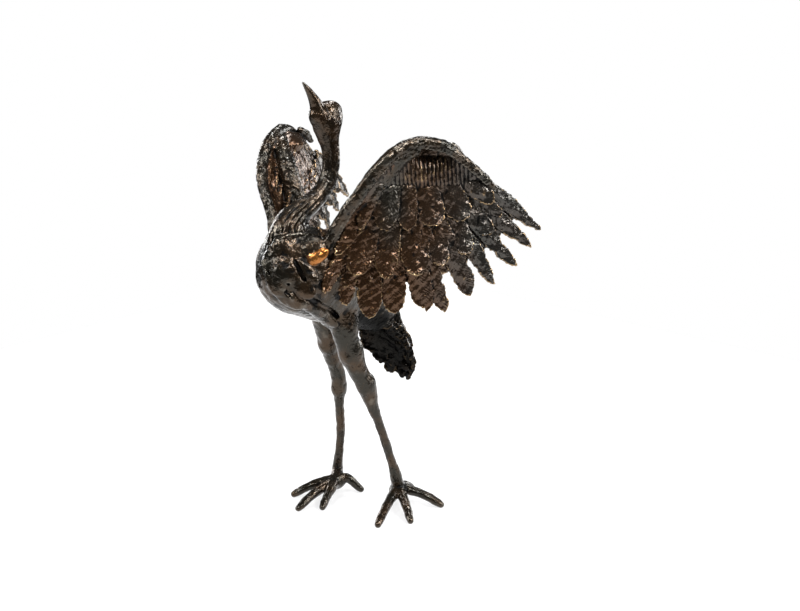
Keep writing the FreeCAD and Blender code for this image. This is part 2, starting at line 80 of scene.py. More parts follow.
# beak
BEAK_PTS = [
    ([0.0, -65.28, 234.64], 4.6),
    ([0.0, -66.68, 238.5], 3.7),
    ([0.0, -68.8, 242.4], 2.85),
    ([0.0, -71.65, 246.33], 1.9),
    ([0.0, -74.13, 249.15], 1.25),
    ([0.0, -76.25, 251.5], 0.6),
]
# legs: centre, radius
LEGS = [
    [([10.0, -61.5, 131], 8.0), ([12.0, -60.05, 118.92], 8.26), ([13.0, -59.64, 109.67], 6.91), ([14.0, -56.39, 100.26], 6.6), ([15.5, -52.81, 89.58], 5.53), ([17.0, -47.5, 79.51], 5.33), ([17.5, -46.0, 73.77], 4.85), ([18.0, -44.08, 67.25], 3.59), ([18.8, -40.79, 57.91], 2.91), ([19.4, -37.23, 48.32], 2.72), ([19.9, -33.51, 37.91], 2.62), ([20.5, -29.84, 27.41], 2.72), ([21.0, -26.88, 16.99], 3.59), ([19.83, -23.37, 8.5], 4.0)],
    [([-9.5, -57.0, 129], 7.6), ([-12.0, -51.27, 115.73], 8.26), ([-12.8, -49.06, 106.62], 6.91), ([-13.8, -46.63, 97.91], 5.82), ([-14.8, -43.34, 88.89], 4.95), ([-15.6, -39.77, 81.6], 4.56), ([-16.4, -36.59, 73.7], 4.66), ([-17.0, -35.28, 66.25], 4.46), ([-17.6, -34.97, 59.65], 3.2), ([-18.8, -33.23, 46.65], 2.62), ([-19.8, -32.18, 34.39], 2.62), ([-20.8, -32.7, 22.46], 2.72), ([-22.0, -33.0, 11.62], 3.59), ([-15.6, -39.51, 8.5], 4.0)],
]
# knee lumps
LEG_LUMPS = [
    ([14.0, -56.79, 101.06], [8.5, 6.664, 7.072], [0, 0.3, 1]),
    ([17.0, -47.9, 80.31], [6.875, 5.39, 5.720000000000001], [0, 0.3, 1]),
    ([-13.8, -47.03, 98.71], [7.5, 5.88, 6.24], [0, 0.3, 1]),
    ([-17.0, -35.68, 67.05], [5.75, 4.508, 4.784], [0, 0.3, 1]),
]
# toes
TOE_PTS = [
    [([18.65, -22.06, 7.6], 3.6), ([22.33, -29.99, 7.9], 3.25), ([26.68, -39.37, 7.0], 2.85), ([31.03, -48.75, 5.0], 2.6), ([33.7, -54.53, 3.2], 2.5), ([35.38, -58.13, 1.95], 1.95)],
    [([18.65, -22.06, 7.6], 3.6), ([24.61, -26.39, 7.9], 3.25), ([31.67, -31.52, 7.0], 2.85), ([38.72, -36.65, 5.0], 2.6), ([43.06, -39.81, 3.2], 2.5), ([45.77, -41.78, 1.95], 1.95)],
    [([18.65, -22.06, 7.6], 3.6), ([24.43, -20.18, 7.9], 3.25), ([31.27, -17.97, 7.0], 2.85), ([38.11, -15.75, 5.0], 2.6), ([42.31, -14.39, 3.2], 2.5), ([44.94, -13.54, 1.95], 1.95)],
    [([18.65, -22.06, 7.6], 3.6), ([18.18, -18.83, 7.9], 3.25), ([17.64, -15.03, 7.0], 2.85), ([17.1, -11.22, 5.0], 2.6), ([16.76, -8.88, 3.2], 2.5), ([16.55, -7.41, 1.95], 1.95)],
    [([-16.88, -38.23, 7.6], 3.6), ([-19.93, -43.4, 7.9], 3.25), ([-23.53, -49.51, 7.0], 2.85), ([-27.13, -55.62, 5.0], 2.6), ([-29.34, -59.38, 3.2], 2.5), ([-30.73, -61.73, 1.95], 1.95)],
    [([-16.88, -38.23, 7.6], 3.6), ([-16.34, -45.98, 7.9], 3.25), ([-15.7, -55.15, 7.0], 2.85), ([-15.06, -64.31, 5.0], 2.6), ([-14.67, -69.95, 3.2], 2.5), ([-14.43, -73.48, 1.95], 1.95)],
    [([-16.88, -38.23, 7.6], 3.6), ([-14.24, -43.69, 7.9], 3.25), ([-11.12, -50.14, 7.0], 2.85), ([-8.0, -56.59, 5.0], 2.6), ([-6.08, -60.56, 3.2], 2.5), ([-4.88, -63.04, 1.95], 1.95)],
    [([-16.88, -38.23, 8.2], 3.2), ([-14.41, -36.28, 9.6], 2.9), ([-11.48, -33.97, 8.6], 2.6), ([-8.55, -31.66, 5.2], 2.45), ([-6.75, -30.24, 3.0], 2.35), ([-5.62, -29.35, 1.95], 1.9)],
]
PALMS = [
    ([18.65, -22.86, 6.6], [5.2, 5.4, 4.2]),
    ([-16.88, -39.03, 6.6], [5.2, 5.4, 4.2]),
]
# leading edge of the left wing
RIM_PTS = [
    ([12.5, -79.5, 152.5], 4.6),
    ([16.8, -83.95, 161.39], 3.6),
    ([20.27, -81.26, 167.49], 3.2),
    ([25.23, -78.52, 177.54], 2.9),
    ([31.83, -76.79, 188.39], 2.8),
    ([36.61, -74.13, 195.01], 2.8),
    ([40.6, -69.92, 203.87], 2.9),
    ([44.18, -63.81, 211.36], 3.0),
    ([47.09, -57.73, 216.69], 3.1),
    ([49.35, -50.13, 220.23], 3.1),
    ([53.22, -41.85, 221.79], 3.1),
    ([57.26, -31.98, 219.77], 2.9),
    ([59.83, -24.25, 215.68], 2.6),
    ([62.89, -16.89, 209.48], 2.3),
    ([66.02, -8.57, 201.98], 2.1),
    ([68.72, 0.55, 193.92], 1.9),
]
# second ridge inside it
RIDGE_PTS = [
    ([24.04, -78.54, 173.04], 1.5),
    ([27.69, -77.23, 178.77], 1.1),
    ([31.91, -75.44, 184.46], 1.1),
    ([35.14, -73.43, 189.4], 1.1),
    ([38.3, -71.38, 194.56], 1.1),
    ([40.49, -69.1, 199.01], 1.1),
    ([42.04, -66.15, 203.02], 1.1),
    ([43.84, -61.93, 207.94], 1.1),
    ([45.84, -57.15, 212.03], 1.1),
    ([48.1, -51.86, 215.05], 1.1),
]
# arm bones on the side towards the body
ARM_PTS = [
    ([12.5, -75.0, 154.0], 8.6),
    ([18.0, -68.0, 164.0], 7.6),
    ([26.0, -57.6, 178.0], 6.4),
    ([30.5, -56.6, 187.6], 5.9),
    ([34.2, -56.0, 199.6], 5.5),
    ([40.5, -52.4, 208.0], 5.0),
    ([45.5, -50.0, 213.8], 4.6),
    ([51.0, -45.0, 217.6], 3.4),
]
WEB_FIT = [-82.2715, 16.3122, -18.3466, 5.8596, -6.1695, 3.0034, 2.2298, -16.8312, 19.7076, 2.4626]
RIM_VIEW = [[-49.2, 29.1, -82.8], [-44.4, 35.7, -84.8], [-38.4, 46.5, -88.8], [-31.8, 57.9, -94.8], [-25.8, 65.1, -97.8], [-19.2, 75.3, -99.8], [-11.4, 84.3, -99.8], [-4.2, 90.9, -98.8], [3.6, 95.7, -95.8], [13.2, 98.1, -92.8], [24.0, 96.6, -87.8], [31.8, 92.7, -82.8], [39.6, 86.4, -77.8], [48.0, 78.9, -71.8], [56.4, 71.1, -64.8]]
RIM_REACH = 6.5
WEB_POLY = [[-48.6, 29.1], [-43.8, 37.5], [-37.8, 47.7], [-31.2, 58.5], [-25.2, 65.7], [-18.6, 75.3], [-10.8, 84.3], [-3.6, 90.6], [4.2, 95.1], [13.2, 97.5], [24.0, 96.0], [31.8, 92.1], [39.6, 85.8], [48.0, 78.3], [56.4, 70.5], [52.8, 60.3], [42.0, 54.9], [30.0, 50.1], [16.8, 45.3], [3.0, 42.9], [-9.6, 40.5], [-20.4, 34.5], [-30.0, 26.1], [-39.0, 21.3]]
WEB_DENTS = [[16.2, 90.89999999999999, 10.5, 5.0, 5.5], [0.0, 72.3, 26, 9, 1.5]]
WEB_COMB = [-12.0, 45.6, 70.5, 89.7, 2.45, -1.0]
# flight feathers: root, tip, outward direction, width, shape
FLIGHT_F = [
    ([25.43, -72.17, 164.51], [23.0, -86.77, 143.22], [0.9788, -0.2029, 0.0276], 8.48, {'thick': 1.9, 'edge': 0.38, 'camber': 1.2, 'lift': 0.6, 'tipfrac': 0.4, 'ext': 6, 'rach': 0.4, 'barb': 0.11, 'pitch': 2.1, 'rootw': 0.8, 'seed': 10}),
    ([25.89, -65.71, 165.65], [24.37, -72.39, 133.78], [0.897, -0.4394, 0.049], 9.72, {'thick': 1.9, 'edge': 0.38, 'camber': 1.2, 'lift': 1.0, 'tipfrac': 0.3, 'ext': 6, 'rach': 0.4, 'barb': 0.11, 'pitch': 2.1, 'rootw': 0.8, 'seed': 11}),
    ([30.15, -57.66, 169.33], [32.63, -61.11, 125.59], [0.7643, -0.638, 0.0936], 13.8, {'thick': 1.9, 'edge': 0.38, 'camber': 1.2, 'lift': 1.0, 'tipfrac': 0.3, 'ext': 6, 'rach': 0.4, 'barb': 0.11, 'pitch': 2.1, 'rootw': 0.8, 'seed': 12}),
    ([37.37, -49.56, 173.48], [39.04, -47.87, 126.8], [0.7366, -0.6763, 0.0018], 14.43, {'thick': 1.9, 'edge': 0.38, 'camber': 1.2, 'lift': 1.0, 'tipfrac': 0.3, 'ext': 6, 'rach': 0.4, 'barb': 0.11, 'pitch': 2.1, 'rootw': 0.8, 'seed': 13}),
    ([44.18, -42.62, 175.55], [49.4, -32.97, 126.74], [0.7297, -0.6814, -0.0569], 12.73, {'thick': 1.9, 'edge': 0.38, 'camber': 1.2, 'lift': 1.0, 'tipfrac': 0.2, 'ext': 6, 'rach': 0.4, 'barb': 0.11, 'pitch': 2.1, 'rootw': 0.8, 'bend': -0.6, 'notch': [(0.97, -1, 1.6, 0.1)], 'seed': 14}),
    ([48.35, -36.75, 177.42], [54.43, -24.77, 125.37], [0.8039, -0.5932, -0.0427], 9.87, {'thick': 1.9, 'edge': 0.38, 'camber': 1.2, 'lift': 1.0, 'tipfrac': 0.2, 'ext': 6, 'rach': 0.4, 'barb': 0.11, 'pitch': 2.1, 'rootw': 0.8, 'notch': [(0.82, 1, 1.2, 0.05), (0.99, -1, 1.0, 0.06)], 'wave': 0.3, 'seed': 15}),
    ([51.7, -29.9, 180.12], [62.33, -10.06, 134.17], [0.832, -0.5529, -0.0463], 11.65, {'thick': 1.9, 'edge': 0.38, 'camber': 1.2, 'lift': 1.0, 'tipfrac': 0.22, 'ext': 6, 'rach': 0.4, 'barb': 0.11, 'pitch': 2.1, 'rootw': 0.8, 'wave': 0.35, 'notch': [(0.9, 1, 0.8, 0.05)], 'seed': 16}),
    ([54.47, -23.15, 183.88], [69.01, 2.03, 139.02], [0.8596, -0.511, -0.0082], 10.52, {'thick': 1.9, 'edge': 0.38, 'camber': 1.2, 'lift': 1.0, 'tipfrac': 0.5, 'ext': 6, 'rach': 0.4, 'barb': 0.11, 'pitch': 2.1, 'rootw': 0.8, 'point': 1.15, 'wave': 0.4, 'notch': [(0.75, -1, 0.7, 0.04)], 'seed': 17}),
    ([57.26, -16.37, 187.67], [73.15, 14.72, 147.73], [0.8945, -0.4469, 0.0078], 10.57, {'thick': 1.9, 'edge': 0.38, 'camber': 1.2, 'lift': 1.0, 'tipfrac': 0.5, 'ext': 6, 'rach': 0.4, 'barb': 0.11, 'pitch': 2.1, 'rootw': 0.8, 'point': 1.15, 'wave': 0.35, 'notch': [(0.7, 1, 0.8, 0.05)], 'seed': 18}),
    ([60.08, -9.57, 191.48], [75.62, 26.05, 156.83], [0.9153, -0.4027, -0.0034], 10.03, {'thick': 1.9, 'edge': 0.38, 'camber': 1.2, 'lift': 1.0, 'tipfrac': 0.55, 'ext': 6, 'rach': 0.4, 'barb': 0.11, 'pitch': 2.1, 'rootw': 0.8, 'point': 1.2, 'wave': 0.3, 'notch': [(0.8, -1, 0.8, 0.04), (0.6, -1, 0.5, 0.03)], 'seed': 19}),
    ([64.35, -2.77, 195.5], [75.3, 34.7, 165.49], [0.9395, -0.3344, -0.0748], 9.47, {'thick': 1.9, 'edge': 0.38, 'camber': 1.2, 'lift': 1.0, 'tipfrac': 0.6, 'ext': 6, 'rach': 0.4, 'barb': 0.11, 'pitch': 2.1, 'rootw': 0.8, 'point': 1.2, 'wave': 0.3, 'notch': [(0.72, -1, 0.9, 0.04), (0.85, 1, 0.6, 0.04)], 'seed': 20}),
]
# middle row
MIDDLE_F = [
    ([35.3, -61.39, 188.68], [24.79, -79.22, 162.95], [0.8286, -0.5596, -0.0162], 8.39, {'thick': 1.9, 'edge': 0.42, 'camber': 0.6, 'lift': 1.3, 'tipfrac': 0.5, 'ext': 4, 'rach': 0.35, 'barb': 0.11, 'pitch': 2.1, 'rootw': 0.8, 'seed': 30}),
    ([32.67, -61.81, 176.99], [30.25, -69.74, 150.67], [0.8169, -0.5757, 0.0343], 15.2, {'thick': 1.9, 'edge': 0.42, 'camber': 1.5, 'lift': 1.3, 'tipfrac': 0.42, 'ext': 4, 'rach': 0.35, 'barb': 0.11, 'pitch': 2.1, 'rootw': 0.8, 'seed': 31}),
    ([39.3, -50.86, 178.37], [39.47, -56.86, 148.18], [0.7892, -0.6101, 0.0698], 13.57, {'thick': 1.9, 'edge': 0.42, 'camber': 1.5, 'lift': 1.3, 'tipfrac': 0.42, 'ext': 4, 'rach': 0.35, 'barb': 0.11, 'pitch': 2.1, 'rootw': 0.8, 'seed': 32}),
    ([44.88, -40.17, 179.67], [49.29, -40.86, 148.53], [0.8228, -0.5635, 0.0744], 16.48, {'thick': 1.9, 'edge': 0.42, 'camber': 1.5, 'lift': 1.3, 'tipfrac': 0.42, 'ext': 4, 'rach': 0.35, 'barb': 0.11, 'pitch': 2.1, 'rootw': 0.8, 'seed': 33}),
    ([49.2, -30.31, 179.83], [55.93, -27.6, 152.85], [0.8431, -0.5294, 0.0942], 13.7, {'thick': 1.9, 'edge': 0.42, 'camber': 1.5, 'lift': 1.3, 'tipfrac': 0.42, 'ext': 4, 'rach': 0.35, 'barb': 0.11, 'pitch': 2.1, 'rootw': 0.8, 'seed': 34}),
    ([53.23, -21.65, 182.37], [62.26, -12.91, 157.98], [0.8545, -0.5158, 0.0621], 14.35, {'thick': 1.9, 'edge': 0.42, 'camber': 1.5, 'lift': 1.3, 'tipfrac': 0.42, 'ext': 4, 'rach': 0.35, 'barb': 0.11, 'pitch': 2.1, 'rootw': 0.8, 'seed': 35}),
    ([57.26, -13.77, 186.18], [66.86, 0.6, 167.62], [0.8744, -0.485, -0.0143], 12.7, {'thick': 1.9, 'edge': 0.42, 'camber': 1.5, 'lift': 1.3, 'tipfrac': 0.42, 'ext': 4, 'rach': 0.35, 'barb': 0.11, 'pitch': 2.1, 'rootw': 0.8, 'seed': 36}),
    ([60.35, -9.0, 190.33], [68.48, 7.34, 177.45], [0.902, -0.421, -0.0958], 8.68, {'thick': 1.9, 'edge': 0.42, 'camber': 0.6, 'lift': 1.3, 'tipfrac': 0.42, 'ext': 4, 'rach': 0.35, 'barb': 0.11, 'pitch': 2.1, 'rootw': 0.8, 'seed': 37}),
]
# upper row
UPPER_F = [
    ([38.8, -60.41, 198.11], [32.72, -69.72, 176.81], [0.8586, -0.5065, -0.0793], 7.26, {'thick': 1.8, 'edge': 0.4, 'camber': 1.4, 'lift': 1.2, 'tipfrac': 0.4, 'ext': 2.5, 'rach': 0.25, 'barb': 0.11, 'pitch': 2.1, 'rootw': 0.85, 'seed': 50}),
    ([40.42, -52.83, 196.19], [39.96, -57.26, 174.91], [0.8557, -0.5164, 0.033], 14.02, {'thick': 1.8, 'edge': 0.4, 'camber': 1.4, 'lift': 1.2, 'tipfrac': 0.4, 'ext': 2.5, 'rach': 0.25, 'barb': 0.11, 'pitch': 2.1, 'rootw': 0.85, 'seed': 51}),
    ([44.93, -44.32, 195.56], [45.98, -44.82, 173.73], [0.8311, -0.5562, -0.0023], 11.81, {'thick': 1.8, 'edge': 0.4, 'camber': 1.4, 'lift': 1.2, 'tipfrac': 0.4, 'ext': 2.5, 'rach': 0.25, 'barb': 0.11, 'pitch': 2.1, 'rootw': 0.85, 'seed': 52}),
    ([50.1, -33.97, 193.67], [53.75, -31.58, 174.97], [0.8248, -0.5648, 0.0248], 15.25, {'thick': 1.8, 'edge': 0.4, 'camber': 1.4, 'lift': 1.2, 'tipfrac': 0.4, 'ext': 2.5, 'rach': 0.1, 'barb': 0.06, 'pitch': 2.1, 'rootw': 0.85, 'seed': 53}),
    ([55.18, -24.2, 196.21], [62.04, -16.11, 177.58], [0.8352, -0.5499, 0.0047], 15.34, {'thick': 1.8, 'edge': 0.4, 'camber': 1.4, 'lift': 1.2, 'tipfrac': 0.4, 'ext': 2.5, 'rach': 0.25, 'barb': 0.11, 'pitch': 2.1, 'rootw': 0.85, 'seed': 54}),
    ([59.61, -16.07, 200.02], [69.18, -0.73, 186.2], [0.8594, -0.5083, -0.0556], 10.85, {'thick': 1.8, 'edge': 0.4, 'camber': 1.4, 'lift': 1.2, 'tipfrac': 0.4, 'ext': 2.5, 'rach': 0.25, 'barb': 0.11, 'pitch': 2.1, 'rootw': 0.85, 'wave': 0.4, 'seed': 55}),
]
# rows on the side towards the body
DORSAL_F = [
    ([23.68, -67.69, 166.36], [22.19, -75.2, 147.48], [-0.9078, 0.415, -0.0608], 13.5, {'thick': 1.4, 'camber': 1.0, 'lift': 0.9, 'tipfrac': 0.4, 'ext': 4, 'rach': 0.3, 'barb': 0.11, 'pitch': 2.1, 'rootw': 0.85, 'seed': 70}),
    ([26.16, -60.25, 169.18], [26.41, -63.79, 142.33], [-0.7781, 0.6201, -0.1], 13.5, {'thick': 1.4, 'camber': 1.0, 'lift': 0.9, 'tipfrac': 0.4, 'ext': 4, 'rach': 0.3, 'barb': 0.11, 'pitch': 2.1, 'rootw': 0.85, 'seed': 71}),
    ([31.81, -52.38, 173.47], [33.2, -52.95, 141.36], [-0.7787, 0.6211, -0.0887], 13.5, {'thick': 1.4, 'camber': 1.0, 'lift': 0.9, 'tipfrac': 0.4, 'ext': 4, 'rach': 0.3, 'barb': 0.11, 'pitch': 2.1, 'rootw': 0.85, 'seed': 72}),
    ([38.83, -45.08, 176.97], [41.19, -40.99, 143.08], [-0.7439, 0.6669, 0.0442], 13.5, {'thick': 1.4, 'camber': 1.0, 'lift': 0.9, 'tipfrac': 0.4, 'ext': 4, 'rach': 0.3, 'barb': 0.11, 'pitch': 2.1, 'rootw': 0.85, 'seed': 73}),
    ([44.21, -38.93, 179.07], [48.14, -31.19, 143.27], [-0.7447, 0.6653, 0.0537], 13.5, {'thick': 1.4, 'camber': 1.0, 'lift': 0.9, 'tipfrac': 0.4, 'ext': 4, 'rach': 0.3, 'barb': 0.11, 'pitch': 2.1, 'rootw': 0.85, 'seed': 74}),
    ([47.65, -33.11, 181.2], [53.49, -21.77, 146.41], [-0.8412, 0.54, 0.027], 13.5, {'thick': 1.4, 'camber': 1.0, 'lift': 0.9, 'tipfrac': 0.4, 'ext': 4, 'rach': 0.3, 'barb': 0.11, 'pitch': 2.1, 'rootw': 0.85, 'seed': 75}),
    ([50.5, -26.64, 184.25], [59.35, -10.61, 152.02], [-0.8445, 0.5339, 0.0419], 13.5, {'thick': 1.4, 'camber': 1.0, 'lift': 0.9, 'tipfrac': 0.4, 'ext': 4, 'rach': 0.3, 'barb': 0.11, 'pitch': 2.1, 'rootw': 0.85, 'seed': 76}),
    ([53.06, -20.37, 187.7], [63.77, -0.36, 157.59], [-0.8995, 0.4359, -0.0281], 11.0, {'thick': 1.4, 'camber': 1.0, 'lift': 0.9, 'tipfrac': 0.4, 'ext': 4, 'rach': 0.3, 'barb': 0.11, 'pitch': 2.1, 'rootw': 0.85, 'seed': 77}),
    ([55.84, -13.84, 191.25], [66.91, 9.87, 164.76], [-0.9036, 0.428, -0.0178], 11.0, {'thick': 1.4, 'camber': 1.0, 'lift': 0.9, 'tipfrac': 0.4, 'ext': 4, 'rach': 0.3, 'barb': 0.11, 'pitch': 2.1, 'rootw': 0.85, 'seed': 78}),
    ([59.48, -7.28, 194.92], [68.79, 18.7, 171.95], [-0.9223, 0.3864, -0.0107], 11.0, {'thick': 1.4, 'camber': 1.0, 'lift': 0.9, 'tipfrac': 0.4, 'ext': 4, 'rach': 0.3, 'barb': 0.11, 'pitch': 2.1, 'rootw': 0.85, 'seed': 79}),
    ([31.25, -54.97, 189.39], [24.42, -67.78, 169.9], [-0.7751, 0.6217, -0.1129], 12.0, {'thick': 1.4, 'camber': 1.1, 'lift': 0.9, 'tipfrac': 0.42, 'ext': 3, 'rach': 0.2, 'barb': 0.1, 'pitch': 2.1, 'rootw': 0.85, 'seed': 100}),
    ([30.81, -56.71, 180.91], [28.38, -62.23, 160.27], [-0.7677, 0.6356, -0.0812], 12.0, {'thick': 1.4, 'camber': 1.1, 'lift': 0.9, 'tipfrac': 0.42, 'ext': 3, 'rach': 0.2, 'barb': 0.1, 'pitch': 2.1, 'rootw': 0.85, 'seed': 101}),
    ([37.51, -47.61, 183.05], [36.52, -50.78, 159.56], [-0.7635, 0.6432, -0.0583], 12.0, {'thick': 1.4, 'camber': 1.1, 'lift': 0.9, 'tipfrac': 0.42, 'ext': 3, 'rach': 0.2, 'barb': 0.1, 'pitch': 2.1, 'rootw': 0.85, 'seed': 102}),
    ([43.28, -39.76, 184.84], [44.47, -38.25, 160.55], [-0.7942, 0.6076, -0.0041], 12.0, {'thick': 1.4, 'camber': 1.1, 'lift': 0.9, 'tipfrac': 0.42, 'ext': 3, 'rach': 0.2, 'barb': 0.1, 'pitch': 2.1, 'rootw': 0.85, 'seed': 103}),
    ([48.42, -32.99, 185.06], [50.27, -27.81, 163.43], [-0.8477, 0.5278, 0.0538], 12.0, {'thick': 1.4, 'camber': 1.1, 'lift': 0.9, 'tipfrac': 0.42, 'ext': 3, 'rach': 0.2, 'barb': 0.1, 'pitch': 2.1, 'rootw': 0.85, 'seed': 104}),
    ([51.68, -25.85, 186.98], [55.29, -16.3, 167.29], [-0.892, 0.4487, 0.0543], 12.0, {'thick': 1.4, 'camber': 1.1, 'lift': 0.9, 'tipfrac': 0.42, 'ext': 3, 'rach': 0.2, 'barb': 0.1, 'pitch': 2.1, 'rootw': 0.85, 'seed': 105}),
    ([54.67, -18.55, 189.43], [59.21, -5.39, 174.1], [-0.92, 0.3871, 0.0616], 12.0, {'thick': 1.4, 'camber': 1.1, 'lift': 0.9, 'tipfrac': 0.42, 'ext': 3, 'rach': 0.2, 'barb': 0.1, 'pitch': 2.1, 'rootw': 0.85, 'seed': 106}),
    ([56.74, -12.67, 192.14], [61.1, 1.24, 181.3], [-0.9246, 0.3735, 0.0746], 12.0, {'thick': 1.4, 'camber': 1.1, 'lift': 0.9, 'tipfrac': 0.42, 'ext': 3, 'rach': 0.2, 'barb': 0.1, 'pitch': 2.1, 'rootw': 0.85, 'seed': 107}),
    ([39.41, -46.89, 208.42], [37.01, -47.66, 189.76], [-0.744, 0.6647, 0.0686], 10.5, {'thick': 1.3, 'camber': 1.0, 'lift': 0.8, 'tipfrac': 0.45, 'ext': 2, 'rach': 0.1, 'barb': 0.1, 'pitch': 2.1, 'rootw': 0.85, 'seed': 128}),
    ([42.39, -42.33, 207.87], [41.74, -41.37, 189.28], [-0.7458, 0.6647, 0.0446], 10.5, {'thick': 1.3, 'camber': 1.0, 'lift': 0.8, 'tipfrac': 0.45, 'ext': 2, 'rach': 0.1, 'barb': 0.1, 'pitch': 2.1, 'rootw': 0.85, 'seed': 129}),
    ([46.86, -38.37, 206.11], [46.86, -34.41, 189.2], [-0.801, 0.5815, 0.1422], 10.5, {'thick': 1.3, 'camber': 1.0, 'lift': 0.8, 'tipfrac': 0.45, 'ext': 2, 'rach': 0.1, 'barb': 0.1, 'pitch': 2.1, 'rootw': 0.85, 'seed': 130}),
    ([49.68, -33.98, 206.68], [51.37, -26.55, 190.23], [-0.8605, 0.4969, 0.1121], 10.5, {'thick': 1.3, 'camber': 1.0, 'lift': 0.8, 'tipfrac': 0.45, 'ext': 2, 'rach': 0.1, 'barb': 0.1, 'pitch': 2.1, 'rootw': 0.85, 'seed': 131}),
    ([51.71, -29.41, 208.04], [55.5, -18.14, 192.92], [-0.8643, 0.4852, 0.1323], 10.5, {'thick': 1.3, 'camber': 1.0, 'lift': 0.8, 'tipfrac': 0.45, 'ext': 2, 'rach': 0.1, 'barb': 0.1, 'pitch': 2.1, 'rootw': 0.85, 'seed': 132}),
]
